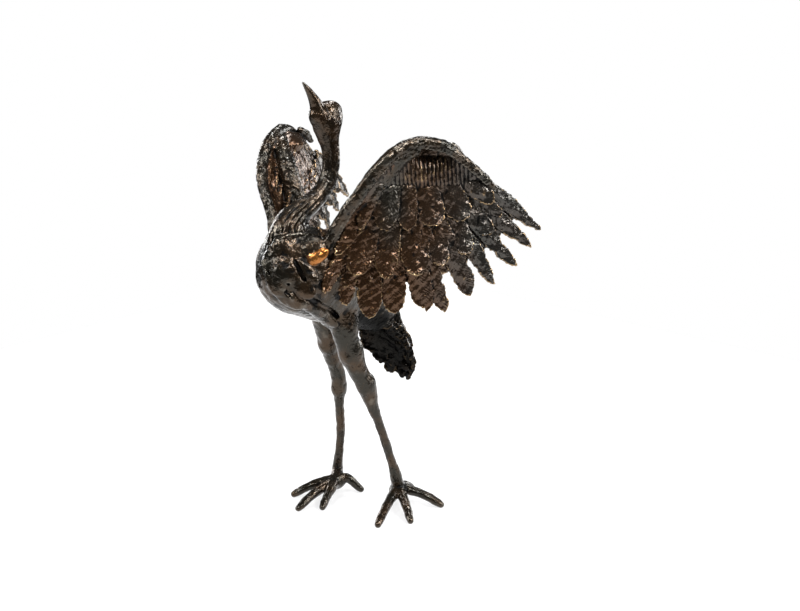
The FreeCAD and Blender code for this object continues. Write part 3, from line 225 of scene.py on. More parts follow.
# beads and scales on the leading edge and the arm
WING_BLOBS = [
    ([22.91, -80.11, 166.43], [1.3471241355537917, 1.171412291785906, 0.99570044801802], [0.429, 0.238, 0.871], [0.837, -0.466, -0.286]),
    ([23.34, -82.02, 167.66], [1.2, 0.9, 0.55], [0.429, 0.238, 0.871], [0.837, -0.466, -0.286]),
    ([20.97, -83.64, 169.16], [1.5782385926721199, 1.15, 0.6], [0.429, 0.238, 0.871], [0.067, -0.97, 0.232]),
    ([18.98, -82.66, 169.73], [1.5979216743911235, 1.15, 0.6], [0.429, 0.238, 0.871], [-0.639, -0.602, 0.479]),
    ([18.08, -80.52, 169.08], [1.6673684571486986, 1.15, 0.6], [0.429, 0.238, 0.871], [-0.898, 0.217, 0.383]),
    ([19.73, -78.47, 168.15], [1.7260395714314423, 1.15, 0.6], [0.429, 0.238, 0.871], [-0.355, 0.931, -0.079]),
    ([23.95, -79.54, 168.66], [1.597426835765378, 1.3890668137090245, 1.1807067916526708], [0.429, 0.238, 0.871], [0.837, -0.466, -0.286]),
    ([24.37, -81.4, 169.88], [1.2, 0.9, 0.55], [0.429, 0.238, 0.871], [0.837, -0.466, -0.286]),
    ([22.35, -82.95, 171.33], [1.6378162247037462, 1.15, 0.6], [0.429, 0.238, 0.871], [0.159, -0.97, 0.186]),
    ([20.29, -81.81, 172.42], [1.6395203669050626, 1.15, 0.6], [0.429, 0.238, 0.871], [-0.663, -0.572, 0.483]),
    ([19.63, -79.57, 172.02], [1.7255488819672724, 1.15, 0.6], [0.429, 0.238, 0.871], [-0.891, 0.27, 0.365]),
    ([21.85, -77.73, 170.26], [1.5591038022987413, 1.15, 0.6], [0.429, 0.238, 0.871], [-0.041, 0.969, -0.244]),
    ([24.97, -78.96, 170.87], [1.4300951021250603, 1.2435609583696177, 1.057026814614175], [0.429, 0.238, 0.871], [0.837, -0.466, -0.286]),
    ([25.39, -80.79, 172.08], [1.2, 0.9, 0.55], [0.429, 0.238, 0.871], [0.837, -0.466, -0.286]),
    ([23.56, -82.24, 173.74], [1.6121573504243005, 1.15, 0.6], [0.429, 0.238, 0.871], [0.167, -0.969, 0.182]),
    ([21.03, -81.35, 173.87], [1.7725270040207992, 1.15, 0.6], [0.429, 0.238, 0.871], [-0.669, -0.564, 0.484]),
    ([20.57, -78.62, 173.25], [1.7989660622822936, 1.15, 0.6], [0.429, 0.238, 0.871], [-0.83, 0.484, 0.277]),
    ([22.28, -77.25, 172.67], [1.7960227250511605, 1.15, 0.6], [0.429, 0.238, 0.871], [-0.272, 0.954, -0.126]),
    ([25.94, -78.42, 172.96], [1.540627820082039, 1.3396763652887296, 1.13872491049542], [0.429, 0.238, 0.871], [0.837, -0.466, -0.286]),
    ([23.9, -81.6, 176.0], [1.6681781997897005, 1.15, 0.6], [0.429, 0.238, 0.871], [-0.073, -0.952, 0.296]),
    ([21.78, -80.46, 175.77], [1.759527903484128, 1.15, 0.6], [0.429, 0.238, 0.871], [-0.757, -0.431, 0.491]),
    ([21.91, -78.05, 176.04], [1.6326123130844232, 1.15, 0.6], [0.429, 0.238, 0.871], [-0.853, 0.425, 0.304]),
    ([22.8, -76.93, 174.65], [1.7338728475707317, 1.15, 0.6], [0.429, 0.238, 0.871], [-0.411, 0.911, -0.046]),
    ([26.86, -77.9, 174.94], [1.3743326679923897, 1.1950718852107738, 1.0158111024291576], [0.429, 0.238, 0.871], [0.837, -0.466, -0.286]),
    ([25.21, -81.15, 177.42], [1.826323903184879, 1.15, 0.6], [0.429, 0.238, 0.871], [0.117, -0.971, 0.207]),
    ([23.96, -80.62, 178.28], [1.6006961933981259, 1.15, 0.6], [0.429, 0.238, 0.871], [-0.434, -0.792, 0.43]),
    ([22.86, -77.41, 177.64], [1.7320651364030044, 1.15, 0.6], [0.429, 0.238, 0.871], [-0.822, 0.501, 0.269]),
    ([23.58, -76.57, 177.28], [1.7869752428265664, 1.15, 0.6], [0.429, 0.238, 0.871], [-0.574, 0.817, 0.06]),
    ([27.71, -77.35, 176.75], [1.4286698130021456, 1.2423215765236049, 1.0559733400450642], [0.515, 0.135, 0.847], [0.798, -0.438, -0.415]),
    ([28.2, -79.19, 177.68], [1.2, 0.9, 0.55], [0.515, 0.135, 0.847], [0.798, -0.438, -0.415]),
    ([25.95, -80.85, 178.68], [1.8075925796497714, 1.15, 0.6], [0.515, 0.135, 0.847], [0.079, -0.991, 0.11]),
    ([24.26, -79.92, 179.67], [1.6978540936773, 1.15, 0.6], [0.515, 0.135, 0.847], [-0.62, -0.623, 0.476]),
    ([24.34, -76.91, 180.09], [1.7624434312061725, 1.15, 0.6], [0.515, 0.135, 0.847], [-0.752, 0.545, 0.371]),
    ([25.58, -75.88, 178.58], [1.7617877128960662, 1.15, 0.6], [0.515, 0.135, 0.847], [-0.152, 0.986, -0.065]),
    ([28.81, -77.06, 178.6], [1.5179666980769204, 1.3199710418060178, 1.121975385535115], [0.515, 0.135, 0.847], [0.798, -0.438, -0.415]),
    ([29.31, -78.89, 179.53], [1.2, 0.9, 0.55], [0.515, 0.135, 0.847], [0.798, -0.438, -0.415]),
    ([27.94, -80.36, 180.61], [1.7507382488437808, 1.15, 0.6], [0.515, 0.135, 0.847], [0.316, -0.948, -0.041]),
    ([25.49, -79.5, 181.79], [1.6094449140840599, 1.15, 0.6], [0.515, 0.135, 0.847], [-0.642, -0.593, 0.485]),
    ([24.7, -77.99, 181.43], [1.6942241005778194, 1.15, 0.6], [0.515, 0.135, 0.847], [-0.857, 0.046, 0.514]),
    ([26.72, -75.58, 180.73], [1.6680994378982559, 1.15, 0.6], [0.515, 0.135, 0.847], [-0.203, 0.979, -0.033]),
    ([29.91, -76.78, 180.43], [1.474228105798882, 1.2819374833033756, 1.0896468608078693], [0.515, 0.135, 0.847], [0.798, -0.438, -0.415]),
    ([30.41, -78.6, 181.37], [1.2, 0.9, 0.55], [0.515, 0.135, 0.847], [0.798, -0.438, -0.415]),
    ([28.66, -80.16, 182.29], [1.6641419492398408, 1.15, 0.6], [0.515, 0.135, 0.847], [0.231, -0.973, 0.015]),
    ([26.45, -79.13, 183.47], [1.654655473145467, 1.15, 0.6], [0.515, 0.135, 0.847], [-0.67, -0.553, 0.496]),
    ([26.27, -76.47, 183.28], [1.5779876326254243, 1.15, 0.6], [0.515, 0.135, 0.847], [-0.764, 0.521, 0.381]),
    ([27.58, -75.38, 182.94], [1.7188766194639211, 1.15, 0.6], [0.515, 0.135, 0.847], [-0.342, 0.938, 0.059]),
    ([31.2, -76.45, 182.58], [1.5948029406601318, 1.3867851657914192, 1.1787673909227063], [0.515, 0.135, 0.847], [0.798, -0.438, -0.415]),
    ([30.38, -79.69, 184.75], [1.796041712488087, 1.15, 0.6], [0.515, 0.135, 0.847], [0.296, -0.955, -0.028]),
    ([27.92, -78.92, 185.65], [1.6528150251975546, 1.15, 0.6], [0.515, 0.135, 0.847], [-0.626, -0.615, 0.479]),
    ([27.45, -76.72, 185.71], [1.6453657768522771, 1.15, 0.6], [0.515, 0.135, 0.847], [-0.839, 0.28, 0.466]),
    ([29.34, -74.98, 184.3], [1.5813196923145914, 1.15, 0.6], [0.515, 0.135, 0.847], [-0.069, 0.991, -0.116]),
    ([32.41, -76.13, 184.6], [1.434583276269313, 1.2474637184950548, 1.0603441607207966], [0.515, 0.135, 0.847], [0.798, -0.438, -0.415]),
    ([30.29, -79.52, 186.66], [1.7037792367866473, 1.15, 0.6], [0.515, 0.135, 0.847], [-0.076, -0.977, 0.202]),
    ([29.38, -78.7, 187.79], [1.649857006326755, 1.15, 0.6], [0.515, 0.135, 0.847], [-0.579, -0.674, 0.459]),
    ([28.88, -76.61, 188.14], [1.6231689479969105, 1.15, 0.6], [0.515, 0.135, 0.847], [-0.854, 0.169, 0.492]),
    ([29.74, -74.84, 186.41], [1.6519173132045595, 1.15, 0.6], [0.515, 0.135, 0.847], [-0.331, 0.942, 0.051]),
    ([33.56, -75.83, 186.52], [1.4766909796808751, 1.2840791127659785, 1.0914672458510817], [0.515, 0.135, 0.847], [0.798, -0.438, -0.415]),
    ([32.1, -79.19, 188.53], [1.7504472323101912, 1.15, 0.6], [0.515, 0.135, 0.847], [0.125, -0.989, 0.082]),
    ([30.62, -78.16, 190.09], [1.5930910839043058, 1.15, 0.6], [0.515, 0.135, 0.847], [-0.635, -0.604, 0.482]),
    ([30.04, -76.14, 189.96], [1.5659089024575266, 1.15, 0.6], [0.515, 0.135, 0.847], [-0.846, 0.241, 0.476]),
    ([30.78, -74.59, 188.26], [1.7803490786496288, 1.15, 0.6], [0.515, 0.135, 0.847], [-0.359, 0.931, 0.07]),
    ([34.79, -75.21, 188.28], [1.477257855389945, 1.2845720481651697, 1.0918862409403942], [0.557, 0.31, 0.77], [0.803, -0.437, -0.405]),
    ([35.5, -76.77, 189.43], [1.2, 0.9, 0.55], [0.557, 0.31, 0.77], [0.803, -0.437, -0.405]),
    ([33.53, -78.28, 191.08], [1.8041911910695125, 1.15, 0.6], [0.557, 0.31, 0.77], [0.115, -0.948, 0.298]),
    ([32.71, -77.81, 191.88], [1.6715923526371799, 1.15, 0.6], [0.557, 0.31, 0.77], [-0.296, -0.792, 0.533]),
    ([31.46, -75.09, 191.73], [1.642477026714452, 1.15, 0.6], [0.557, 0.31, 0.77], [-0.822, 0.334, 0.461]),
    ([32.87, -73.59, 190.21], [1.6985599725797114, 1.15, 0.6], [0.557, 0.31, 0.77], [-0.255, 0.947, -0.196]),
    ([36.21, -74.42, 190.24], [1.4709364027114125, 1.2790751327925327, 1.0872138628736527], [0.557, 0.31, 0.77], [0.803, -0.437, -0.405]),
    ([36.92, -75.99, 191.39], [1.2, 0.9, 0.55], [0.557, 0.31, 0.77], [0.803, -0.437, -0.405]),
    ([35.66, -77.31, 193.15], [1.7194753535100427, 1.15, 0.6], [0.557, 0.31, 0.77], [0.287, -0.942, 0.171]),
    ([32.67, -76.08, 193.46], [1.65210993981553, 1.15, 0.6], [0.557, 0.31, 0.77], [-0.714, -0.295, 0.635]),
    ([32.87, -74.3, 193.67], [1.718293593301465, 1.15, 0.6], [0.557, 0.31, 0.77], [-0.822, 0.339, 0.458]),
    ([34.17, -72.8, 192.42], [1.7550654327593358, 1.15, 0.6], [0.557, 0.31, 0.77], [-0.336, 0.933, -0.132]),
    ([37.56, -73.67, 192.1], [1.4842096849574045, 1.2906171173542649, 1.097024549751125], [0.557, 0.31, 0.77], [0.803, -0.437, -0.405]),
    ([37.0, -76.61, 194.73], [1.734502496071717, 1.15, 0.6], [0.557, 0.31, 0.77], [0.336, -0.932, 0.132]),
    ([34.75, -75.79, 195.74], [1.5581025949006952, 1.15, 0.6], [0.557, 0.31, 0.77], [-0.545, -0.563, 0.621]),
    ([34.36, -73.33, 195.62], [1.7420056973672644, 1.15, 0.6], [0.557, 0.31, 0.77], [-0.811, 0.402, 0.425]),
    ([35.14, -72.24, 193.89], [1.6569714511842768, 1.15, 0.6], [0.557, 0.31, 0.77], [-0.358, 0.927, -0.114]),
    ([38.99, -72.71, 194.39], [1.344861154404907, 1.1694444820912235, 0.99402780977754], [0.376, 0.397, 0.837], [0.899, -0.374, -0.226]),
    ([38.03, -75.5, 197.53], [1.5907032819289124, 1.15, 0.6], [0.376, 0.397, 0.837], [0.258, -0.913, 0.317]),
    ([36.2, -74.99, 198.01], [1.6703376199666278, 1.15, 0.6], [0.376, 0.397, 0.837], [-0.485, -0.685, 0.543]),
    ([34.91, -73.02, 196.92], [1.7478511676027626, 1.15, 0.6], [0.376, 0.397, 0.837], [-0.924, 0.229, 0.307]),
    ([36.08, -71.44, 195.79], [1.7480152242644715, 1.15, 0.6], [0.376, 0.397, 0.837], [-0.46, 0.864, -0.204]),
    ([39.95, -71.71, 196.48], [1.3260254882341314, 1.153065641942723, 0.9801057956513145], [0.376, 0.397, 0.837], [0.899, -0.374, -0.226]),
    ([38.34, -74.78, 199.29], [1.7187082574597472, 1.15, 0.6], [0.376, 0.397, 0.837], [0.096, -0.915, 0.391]),
    ([36.85, -73.76, 200.12], [1.613640640265294, 1.15, 0.6], [0.376, 0.397, 0.837], [-0.599, -0.585, 0.547]),
    ([35.77, -71.88, 198.68], [1.7348348981010486, 1.15, 0.6], [0.376, 0.397, 0.837], [-0.91, 0.327, 0.254]),
    ([37.17, -70.24, 198.3], [1.5904040503357724, 1.15, 0.6], [0.376, 0.397, 0.837], [-0.47, 0.861, -0.198]),
    ([40.89, -70.72, 198.53], [1.5791087945330315, 1.3731380822026362, 1.1671673698722407], [0.376, 0.397, 0.837], [0.899, -0.374, -0.226]),
    ([41.51, -72.19, 199.9], [1.2, 0.9, 0.55], [0.376, 0.397, 0.837], [0.899, -0.374, -0.226]),
    ([39.58, -73.69, 201.56], [1.7714307787713326, 1.15, 0.6], [0.376, 0.397, 0.837], [0.169, -0.918, 0.36]),
    ([37.89, -73.12, 201.94], [1.7506756668718513, 1.15, 0.6], [0.376, 0.397, 0.837], [-0.505, -0.669, 0.545]),
    ([37.02, -70.28, 201.0], [1.7232267382139992, 1.15, 0.6], [0.376, 0.397, 0.837], [-0.861, 0.483, 0.158]),
    ([37.76, -69.49, 200.09], [1.6509293251585506, 1.15, 0.6], [0.376, 0.397, 0.837], [-0.533, 0.832, -0.155]),
    ([41.8, -69.77, 200.5], [1.5877076351256472, 1.3806153348918673, 1.1735230346580872], [0.376, 0.397, 0.837], [0.899, -0.374, -0.226]),
    ([42.42, -71.25, 201.88], [1.2, 0.9, 0.55], [0.376, 0.397, 0.837], [0.899, -0.374, -0.226]),
    ([40.76, -72.69, 203.58], [1.846594447284149, 1.15, 0.6], [0.376, 0.397, 0.837], [0.262, -0.912, 0.315]),
    ([38.21, -71.99, 203.55], [1.6095116615358127, 1.15, 0.6], [0.376, 0.397, 0.837], [-0.663, -0.516, 0.543]),
    ([37.66, -70.39, 203.35], [1.7961728367183216, 1.15, 0.6], [0.376, 0.397, 0.837], [-0.924, 0.088, 0.373]),
    ([39.34, -68.18, 202.11], [1.6891854546190976, 1.15, 0.6], [0.376, 0.397, 0.837], [-0.319, 0.904, -0.286]),
    ([42.64, -68.84, 202.35], [1.5530981768524401, 1.3505201537847307, 1.147942130717021], [0.347, 0.593, 0.726], [0.928, -0.331, -0.173]),
    ([41.51, -71.39, 205.89], [1.6070908031700895, 1.15, 0.6], [0.347, 0.593, 0.726], [0.239, -0.805, 0.543]),
    ([39.77, -70.42, 206.54], [1.8226695341628902, 1.15, 0.6], [0.347, 0.593, 0.726], [-0.52, -0.522, 0.675]),
    ([38.62, -68.77, 205.31], [1.648031490121365, 1.15, 0.6], [0.347, 0.593, 0.726], [-0.938, 0.214, 0.274]),
    ([39.52, -67.74, 203.17], [1.7884884332607471, 1.15, 0.6], [0.347, 0.593, 0.726], [-0.489, 0.776, -0.399]),
    ([43.57, -67.27, 204.24], [1.4720691997817599, 1.2800601737232695, 1.0880511476647792], [0.347, 0.593, 0.726], [0.928, -0.331, -0.173]),
    ([44.36, -68.4, 205.89], [1.2, 0.9, 0.55], [0.347, 0.593, 0.726], [0.928, -0.331, -0.173]),
    ([42.86, -69.64, 207.89], [1.7740230381853348, 1.15, 0.6], [0.347, 0.593, 0.726], [0.363, -0.799, 0.479]),
    ([40.27, -69.3, 207.83], [1.8103114450124544, 1.15, 0.6], [0.347, 0.593, 0.726], [-0.561, -0.489, 0.668]),
    ([39.58, -66.75, 206.81], [1.7832567320022232, 1.15, 0.6], [0.347, 0.593, 0.726], [-0.91, 0.399, 0.11]),
    ([40.66, -65.75, 205.6], [1.7136926660016374, 1.15, 0.6], [0.347, 0.593, 0.726], [-0.493, 0.774, -0.397]),
    ([44.37, -65.92, 205.88], [1.3762896117243202, 1.1967735754124524, 1.0172575391005845], [0.347, 0.593, 0.726], [0.928, -0.331, -0.173]),
    ([43.57, -68.41, 209.43], [1.814196267618641, 1.15, 0.6], [0.347, 0.593, 0.726], [0.356, -0.8, 0.483]),
    ([41.86, -68.63, 209.37], [1.669774045846187, 1.15, 0.6], [0.347, 0.593, 0.726], [-0.215, -0.703, 0.677]),
    ([40.23, -66.34, 208.96], [1.6782247503282823, 1.15, 0.6], [0.347, 0.593, 0.726], [-0.924, 0.083, 0.374]),
    ([40.92, -64.92, 206.9], [1.8332073716037613, 1.15, 0.6], [0.347, 0.593, 0.726], [-0.595, 0.738, -0.318]),
    ([45.14, -64.63, 207.44], [1.5922435294286348, 1.3845595908075086, 1.1768756521863823], [0.347, 0.593, 0.726], [0.928, -0.331, -0.173]),
    ([45.94, -65.78, 209.1], [1.2, 0.9, 0.55], [0.347, 0.593, 0.726], [0.928, -0.331, -0.173]),
    ([43.46, -67.62, 210.69], [1.6841827625389705, 1.15, 0.6], [0.347, 0.593, 0.726], [0.127, -0.797, 0.59]),
    ([42.51, -66.77, 211.49], [1.7919106866439045, 1.15, 0.6], [0.347, 0.593, 0.726], [-0.347, -0.638, 0.687]),
    ([40.91, -64.64, 210.14], [1.7341071342325343, 1.15, 0.6], [0.347, 0.593, 0.726], [-0.937, 0.258, 0.237]),
    ([42.26, -63.0, 208.88], [1.6748713129215285, 1.15, 0.6], [0.347, 0.593, 0.726], [-0.481, 0.778, -0.405]),
    ([45.95, -63.27, 209.08], [1.3864579618726982, 1.2056156190197376, 1.024773276166777], [0.347, 0.593, 0.726], [0.928, -0.331, -0.173]),
    ([45.29, -66.06, 212.07], [1.6411751817011078, 1.15, 0.6], [0.347, 0.593, 0.726], [0.49, -0.775, 0.399]),
    ([42.93, -65.1, 213.22], [1.727731245250067, 1.15, 0.6], [0.347, 0.593, 0.726], [-0.504, -0.535, 0.678]),
    ([41.82, -63.36, 212.28], [1.6383367123992856, 1.15, 0.6], [0.347, 0.593, 0.726], [-0.934, 0.148, 0.326]),
    ([42.44, -62.26, 210.13], [1.6227630591594366, 1.15, 0.6], [0.347, 0.593, 0.726], [-0.599, 0.736, -0.315]),
    ([46.69, -61.78, 210.47], [1.5326614514813317, 1.3327490882446364, 1.132836725007941], [0.338, 0.707, 0.621], [0.938, -0.31, -0.159]),
    ([47.61, -62.67, 212.27], [1.2, 0.9, 0.55], [0.338, 0.707, 0.621], [0.938, -0.31, -0.159]),
    ([45.59, -63.72, 214.82], [1.8375437969709958, 1.15, 0.6], [0.338, 0.707, 0.621], [0.192, -0.698, 0.69]),
    ([43.1, -63.31, 214.3], [1.777762556363606, 1.15, 0.6], [0.338, 0.707, 0.621], [-0.651, -0.3, 0.697]),
    ([42.53, -61.28, 212.98], [1.7400696991137838, 1.15, 0.6], [0.338, 0.707, 0.621], [-0.927, 0.364, 0.09]),
    ([43.35, -60.75, 211.25], [1.8385431158717847, 1.15, 0.6], [0.338, 0.707, 0.621], [-0.556, 0.683, -0.475]),
    ([47.6, -59.92, 212.08], [1.442287751089853, 1.2541632618172636, 1.066038772544674], [0.338, 0.707, 0.621], [0.938, -0.31, -0.159]),
    ([48.52, -60.82, 213.89], [1.2, 0.9, 0.55], [0.338, 0.707, 0.621], [0.938, -0.31, -0.159]),
    ([47.06, -62.07, 215.96], [1.6115443958017783, 1.15, 0.6], [0.338, 0.707, 0.621], [0.444, -0.702, 0.557]),
    ([44.93, -61.22, 216.77], [1.7018547257734025, 1.15, 0.6], [0.338, 0.707, 0.621], [-0.417, -0.479, 0.773]),
    ([43.28, -59.69, 214.53], [1.8150552846957253, 1.15, 0.6], [0.338, 0.707, 0.621], [-0.933, 0.337, 0.125]),
    ([43.6, -59.11, 213.75], [1.7660715837993435, 1.15, 0.6], [0.338, 0.707, 0.621], [-0.816, 0.549, -0.181]),
    ([48.4, -58.28, 213.49], [1.3566873614731874, 1.1797281404114675, 1.0027689193497473], [0.338, 0.707, 0.621], [0.938, -0.31, -0.159]),
    ([49.32, -59.2, 215.31], [1.2, 0.9, 0.55], [0.338, 0.707, 0.621], [0.938, -0.31, -0.159]),
    ([47.29, -60.95, 217.18], [1.5669029775302703, 1.15, 0.6], [0.338, 0.707, 0.621], [0.32, -0.707, 0.631]),
    ([45.29, -59.46, 218.03], [1.6611304739707333, 1.15, 0.6], [0.338, 0.707, 0.621], [-0.552, -0.385, 0.74]),
    ([44.32, -57.97, 217.03], [1.7862936130218365, 1.15, 0.6], [0.338, 0.707, 0.621], [-0.93, 0.149, 0.337]),
    ([45.11, -56.86, 214.69], [1.707580397301656, 1.15, 0.6], [0.338, 0.707, 0.621], [-0.582, 0.676, -0.453]),
    ([49.08, -56.6, 214.72], [1.472658526332609, 1.2805726315935733, 1.0884867368545372], [0.261, 0.875, 0.407], [0.965, -0.228, -0.127]),
    ([50.17, -56.92, 216.67], [1.2, 0.9, 0.55], [0.261, 0.875, 0.407], [0.965, -0.228, -0.127]),
    ([48.58, -57.78, 219.32], [1.7698037172891008, 1.15, 0.6], [0.261, 0.875, 0.407], [0.421, -0.483, 0.768]),
    ([46.48, -57.12, 219.68], [1.6382588828952678, 1.15, 0.6], [0.261, 0.875, 0.407], [-0.383, -0.294, 0.876]),
    ([44.78, -56.25, 217.49], [1.6617790980401717, 1.15, 0.6], [0.261, 0.875, 0.407], [-0.965, 0.222, 0.141]),
    ([45.69, -55.0, 215.91], [1.5943483783330876, 1.15, 0.6], [0.261, 0.875, 0.407], [-0.69, 0.464, -0.556]),
    ([49.67, -54.63, 215.64], [1.5277966477700153, 1.3285188241478396, 1.1292410005256637], [0.261, 0.875, 0.407], [0.965, -0.228, -0.127]),
    ([50.75, -54.95, 217.59], [1.2, 0.9, 0.55], [0.261, 0.875, 0.407], [0.965, -0.228, -0.127]),
    ([49.66, -55.4, 220.17], [1.818140351794313, 1.15, 0.6], [0.261, 0.875, 0.407], [0.561, -0.481, 0.674]),
    ([46.36, -55.5, 220.08], [1.697709490330787, 1.15, 0.6], [0.261, 0.875, 0.407], [-0.58, -0.195, 0.791]),
    ([45.4, -54.07, 218.2], [1.7274303011471155, 1.15, 0.6], [0.261, 0.875, 0.407], [-0.963, 0.264, 0.05]),
    ([46.6, -53.01, 216.51], [1.6226504813944855, 1.15, 0.6], [0.261, 0.875, 0.407], [-0.567, 0.48, -0.669]),
    ([50.32, -52.47, 216.64], [1.3392026333216125, 1.1645240289753154, 0.989845424629018], [0.261, 0.875, 0.407], [0.965, -0.228, -0.127]),
    ([51.4, -52.78, 218.6], [1.2, 0.9, 0.55], [0.261, 0.875, 0.407], [0.965, -0.228, -0.127]),
    ([50.13, -54.13, 220.68], [1.784526782297192, 1.15, 0.6], [0.261, 0.875, 0.407], [0.596, -0.478, 0.646]),
    ([46.93, -52.87, 221.14], [1.6852699157348434, 1.15, 0.6], [0.261, 0.875, 0.407], [-0.648, -0.154, 0.746]),
    ([45.94, -52.3, 219.23], [1.6045492309620935, 1.15, 0.6], [0.261, 0.875, 0.407], [-0.965, 0.235, 0.114]),
    ([47.08, -51.34, 217.3], [1.676160931232213, 1.15, 0.6], [0.261, 0.875, 0.407], [-0.572, 0.48, -0.665]),
    ([50.91, -50.47, 217.57], [1.535598237520305, 1.335302815235048, 1.1350073929497906], [0.261, 0.875, 0.407], [0.965, -0.228, -0.127]),
    ([50.55, -51.74, 222.02], [1.6687438302378885, 1.15, 0.6], [0.261, 0.875, 0.407], [0.485, -0.484, 0.728]),
    ([47.87, -50.95, 222.31], [1.7232345107584606, 1.15, 0.6], [0.261, 0.875, 0.407], [-0.529, -0.223, 0.819]),
    ([46.85, -49.51, 220.92], [1.5654196459670242, 1.15, 0.6], [0.261, 0.875, 0.407], [-0.956, 0.176, 0.235]),
    ([47.38, -49.68, 218.26], [1.662405437118533, 1.15, 0.6], [0.261, 0.875, 0.407], [-0.65, 0.471, -0.596]),
    ([51.6, -49.0, 218.03], [1.5178544523167166, 1.319873436797145, 1.1218924212775732], [0.417, 0.893, 0.168], [0.906, -0.394, -0.152]),
    ([52.28, -49.0, 222.17], [1.7337319117225465, 1.15, 0.6], [0.417, 0.893, 0.168], [0.7, -0.433, 0.568]),
    ([50.02, -48.19, 223.27], [1.5617187129158303, 1.15, 0.6], [0.417, 0.893, 0.168], [-0.145, -0.118, 0.982]),
    ([48.12, -47.01, 221.73], [1.5637707649245836, 1.15, 0.6], [0.417, 0.893, 0.168], [-0.857, 0.324, 0.401]),
    ([48.49, -47.05, 218.96], [1.7630364932639044, 1.15, 0.6], [0.417, 0.893, 0.168], [-0.663, 0.425, -0.616]),
    ([52.62, -46.81, 218.44], [1.333120824659432, 1.1592354997038539, 0.9853501747482758], [0.417, 0.893, 0.168], [0.906, -0.394, -0.152]),
    ([53.87, -46.85, 220.32], [1.2, 0.9, 0.55], [0.417, 0.893, 0.168], [0.906, -0.394, -0.152]),
    ([52.18, -47.05, 223.29], [1.6082654796167035, 1.15, 0.6], [0.417, 0.893, 0.168], [0.368, -0.335, 0.868]),
    ([50.32, -46.34, 223.49], [1.829232723051295, 1.15, 0.6], [0.417, 0.893, 0.168], [-0.316, -0.031, 0.948]),
    ([48.98, -45.03, 221.94], [1.8229028759284995, 1.15, 0.6], [0.417, 0.893, 0.168], [-0.874, 0.343, 0.344]),
    ([49.24, -45.07, 219.54], [1.744575001818386, 1.15, 0.6], [0.417, 0.893, 0.168], [-0.723, 0.438, -0.535]),
    ([53.54, -44.84, 218.81], [1.4659322198601035, 1.2747236694435684, 1.0835151190270331], [0.417, 0.893, 0.168], [0.906, -0.394, -0.152]),
    ([54.79, -44.88, 220.69], [1.2, 0.9, 0.55], [0.417, 0.893, 0.168], [0.906, -0.394, -0.152]),
    ([53.75, -44.66, 223.5], [1.7785487020699642, 1.15, 0.6], [0.417, 0.893, 0.168], [0.512, -0.383, 0.769]),
    ([51.5, -43.79, 223.97], [1.8439596974498556, 1.15, 0.6], [0.417, 0.893, 0.168], [-0.319, -0.029, 0.947]),
    ([50.04, -43.24, 222.74], [1.5987311107486297, 1.15, 0.6], [0.417, 0.893, 0.168], [-0.814, 0.284, 0.507]),
    ([50.26, -42.6, 220.2], [1.5680837477611789, 1.15, 0.6], [0.417, 0.893, 0.168], [-0.768, 0.445, -0.461]),
    ([54.56, -42.65, 219.23], [1.3551640714332485, 1.178403540376738, 1.001643009320227], [0.417, 0.893, 0.168], [0.906, -0.394, -0.152]),
    ([54.82, -42.39, 223.92], [1.6669710549653192, 1.15, 0.6], [0.417, 0.893, 0.168], [0.517, -0.385, 0.765]),
    ([52.36, -42.04, 224.31], [1.761742861513588, 1.15, 0.6], [0.417, 0.893, 0.168], [-0.306, -0.036, 0.951]),
    ([50.64, -41.25, 222.32], [1.647430254049116, 1.15, 0.6], [0.417, 0.893, 0.168], [-0.898, 0.376, 0.228]),
    ([51.52, -41.04, 219.87], [1.7701213294210754, 1.15, 0.6], [0.417, 0.893, 0.168], [-0.588, 0.406, -0.7]),
    ([55.22, -41.01, 218.98], [1.6043461902084164, 1.3950836436594927, 1.1858210971105687], [0.373, 0.909, -0.186], [0.903, -0.402, -0.151]),
    ([56.7, -40.42, 220.55], [1.2, 0.9, 0.55], [0.373, 0.909, -0.186], [0.903, -0.402, -0.151]),
    ([56.02, -39.31, 223.25], [1.7014349881960154, 1.15, 0.6], [0.373, 0.909, -0.186], [0.628, -0.099, 0.772]),
    ([53.63, -38.37, 223.66], [1.809298580806069, 1.15, 0.6], [0.373, 0.909, -0.186], [-0.264, 0.296, 0.918]),
    ([51.9, -38.35, 221.98], [1.5941647006241706, 1.15, 0.6], [0.373, 0.909, -0.186], [-0.874, 0.411, 0.259]),
    ([52.11, -38.87, 219.8], [1.6258345839561472, 1.15, 0.6], [0.373, 0.909, -0.186], [-0.797, 0.211, -0.566]),
    ([56.15, -38.67, 218.55], [1.427550592889213, 1.241348341642794, 1.0551460903963747], [0.373, 0.909, -0.186], [0.903, -0.402, -0.151]),
    ([57.61, -38.08, 220.09], [1.2, 0.9, 0.55], [0.373, 0.909, -0.186], [0.903, -0.402, -0.151]),
    ([56.68, -37.66, 222.87], [1.5699176907629704, 1.15, 0.6], [0.373, 0.909, -0.186], [0.631, -0.102, 0.769]),
    ([54.96, -36.94, 223.43], [1.5893921947979877, 1.15, 0.6], [0.373, 0.909, -0.186], [-0.019, 0.208, 0.978]),
    ([52.62, -36.62, 221.46], [1.7867993538985716, 1.15, 0.6], [0.373, 0.909, -0.186], [-0.891, 0.407, 0.203]),
    ([52.8, -37.03, 219.6], [1.8398121754588599, 1.15, 0.6], [0.373, 0.909, -0.186], [-0.827, 0.235, -0.511]),
    ([57.03, -36.47, 218.13], [1.5895157985016426, 1.3821876508709936, 1.1748595032403446], [0.373, 0.909, -0.186], [0.903, -0.402, -0.151]),
    ([57.7, -35.87, 222.18], [1.7431317551752805, 1.15, 0.6], [0.373, 0.909, -0.186], [0.728, -0.162, 0.666]),
    ([55.24, -34.75, 222.86], [1.803319781961581, 1.15, 0.6], [0.373, 0.909, -0.186], [-0.231, 0.285, 0.93]),
    ([53.83, -33.66, 220.62], [1.7089438323520236, 1.15, 0.6], [0.373, 0.909, -0.186], [-0.911, 0.397, 0.115]),
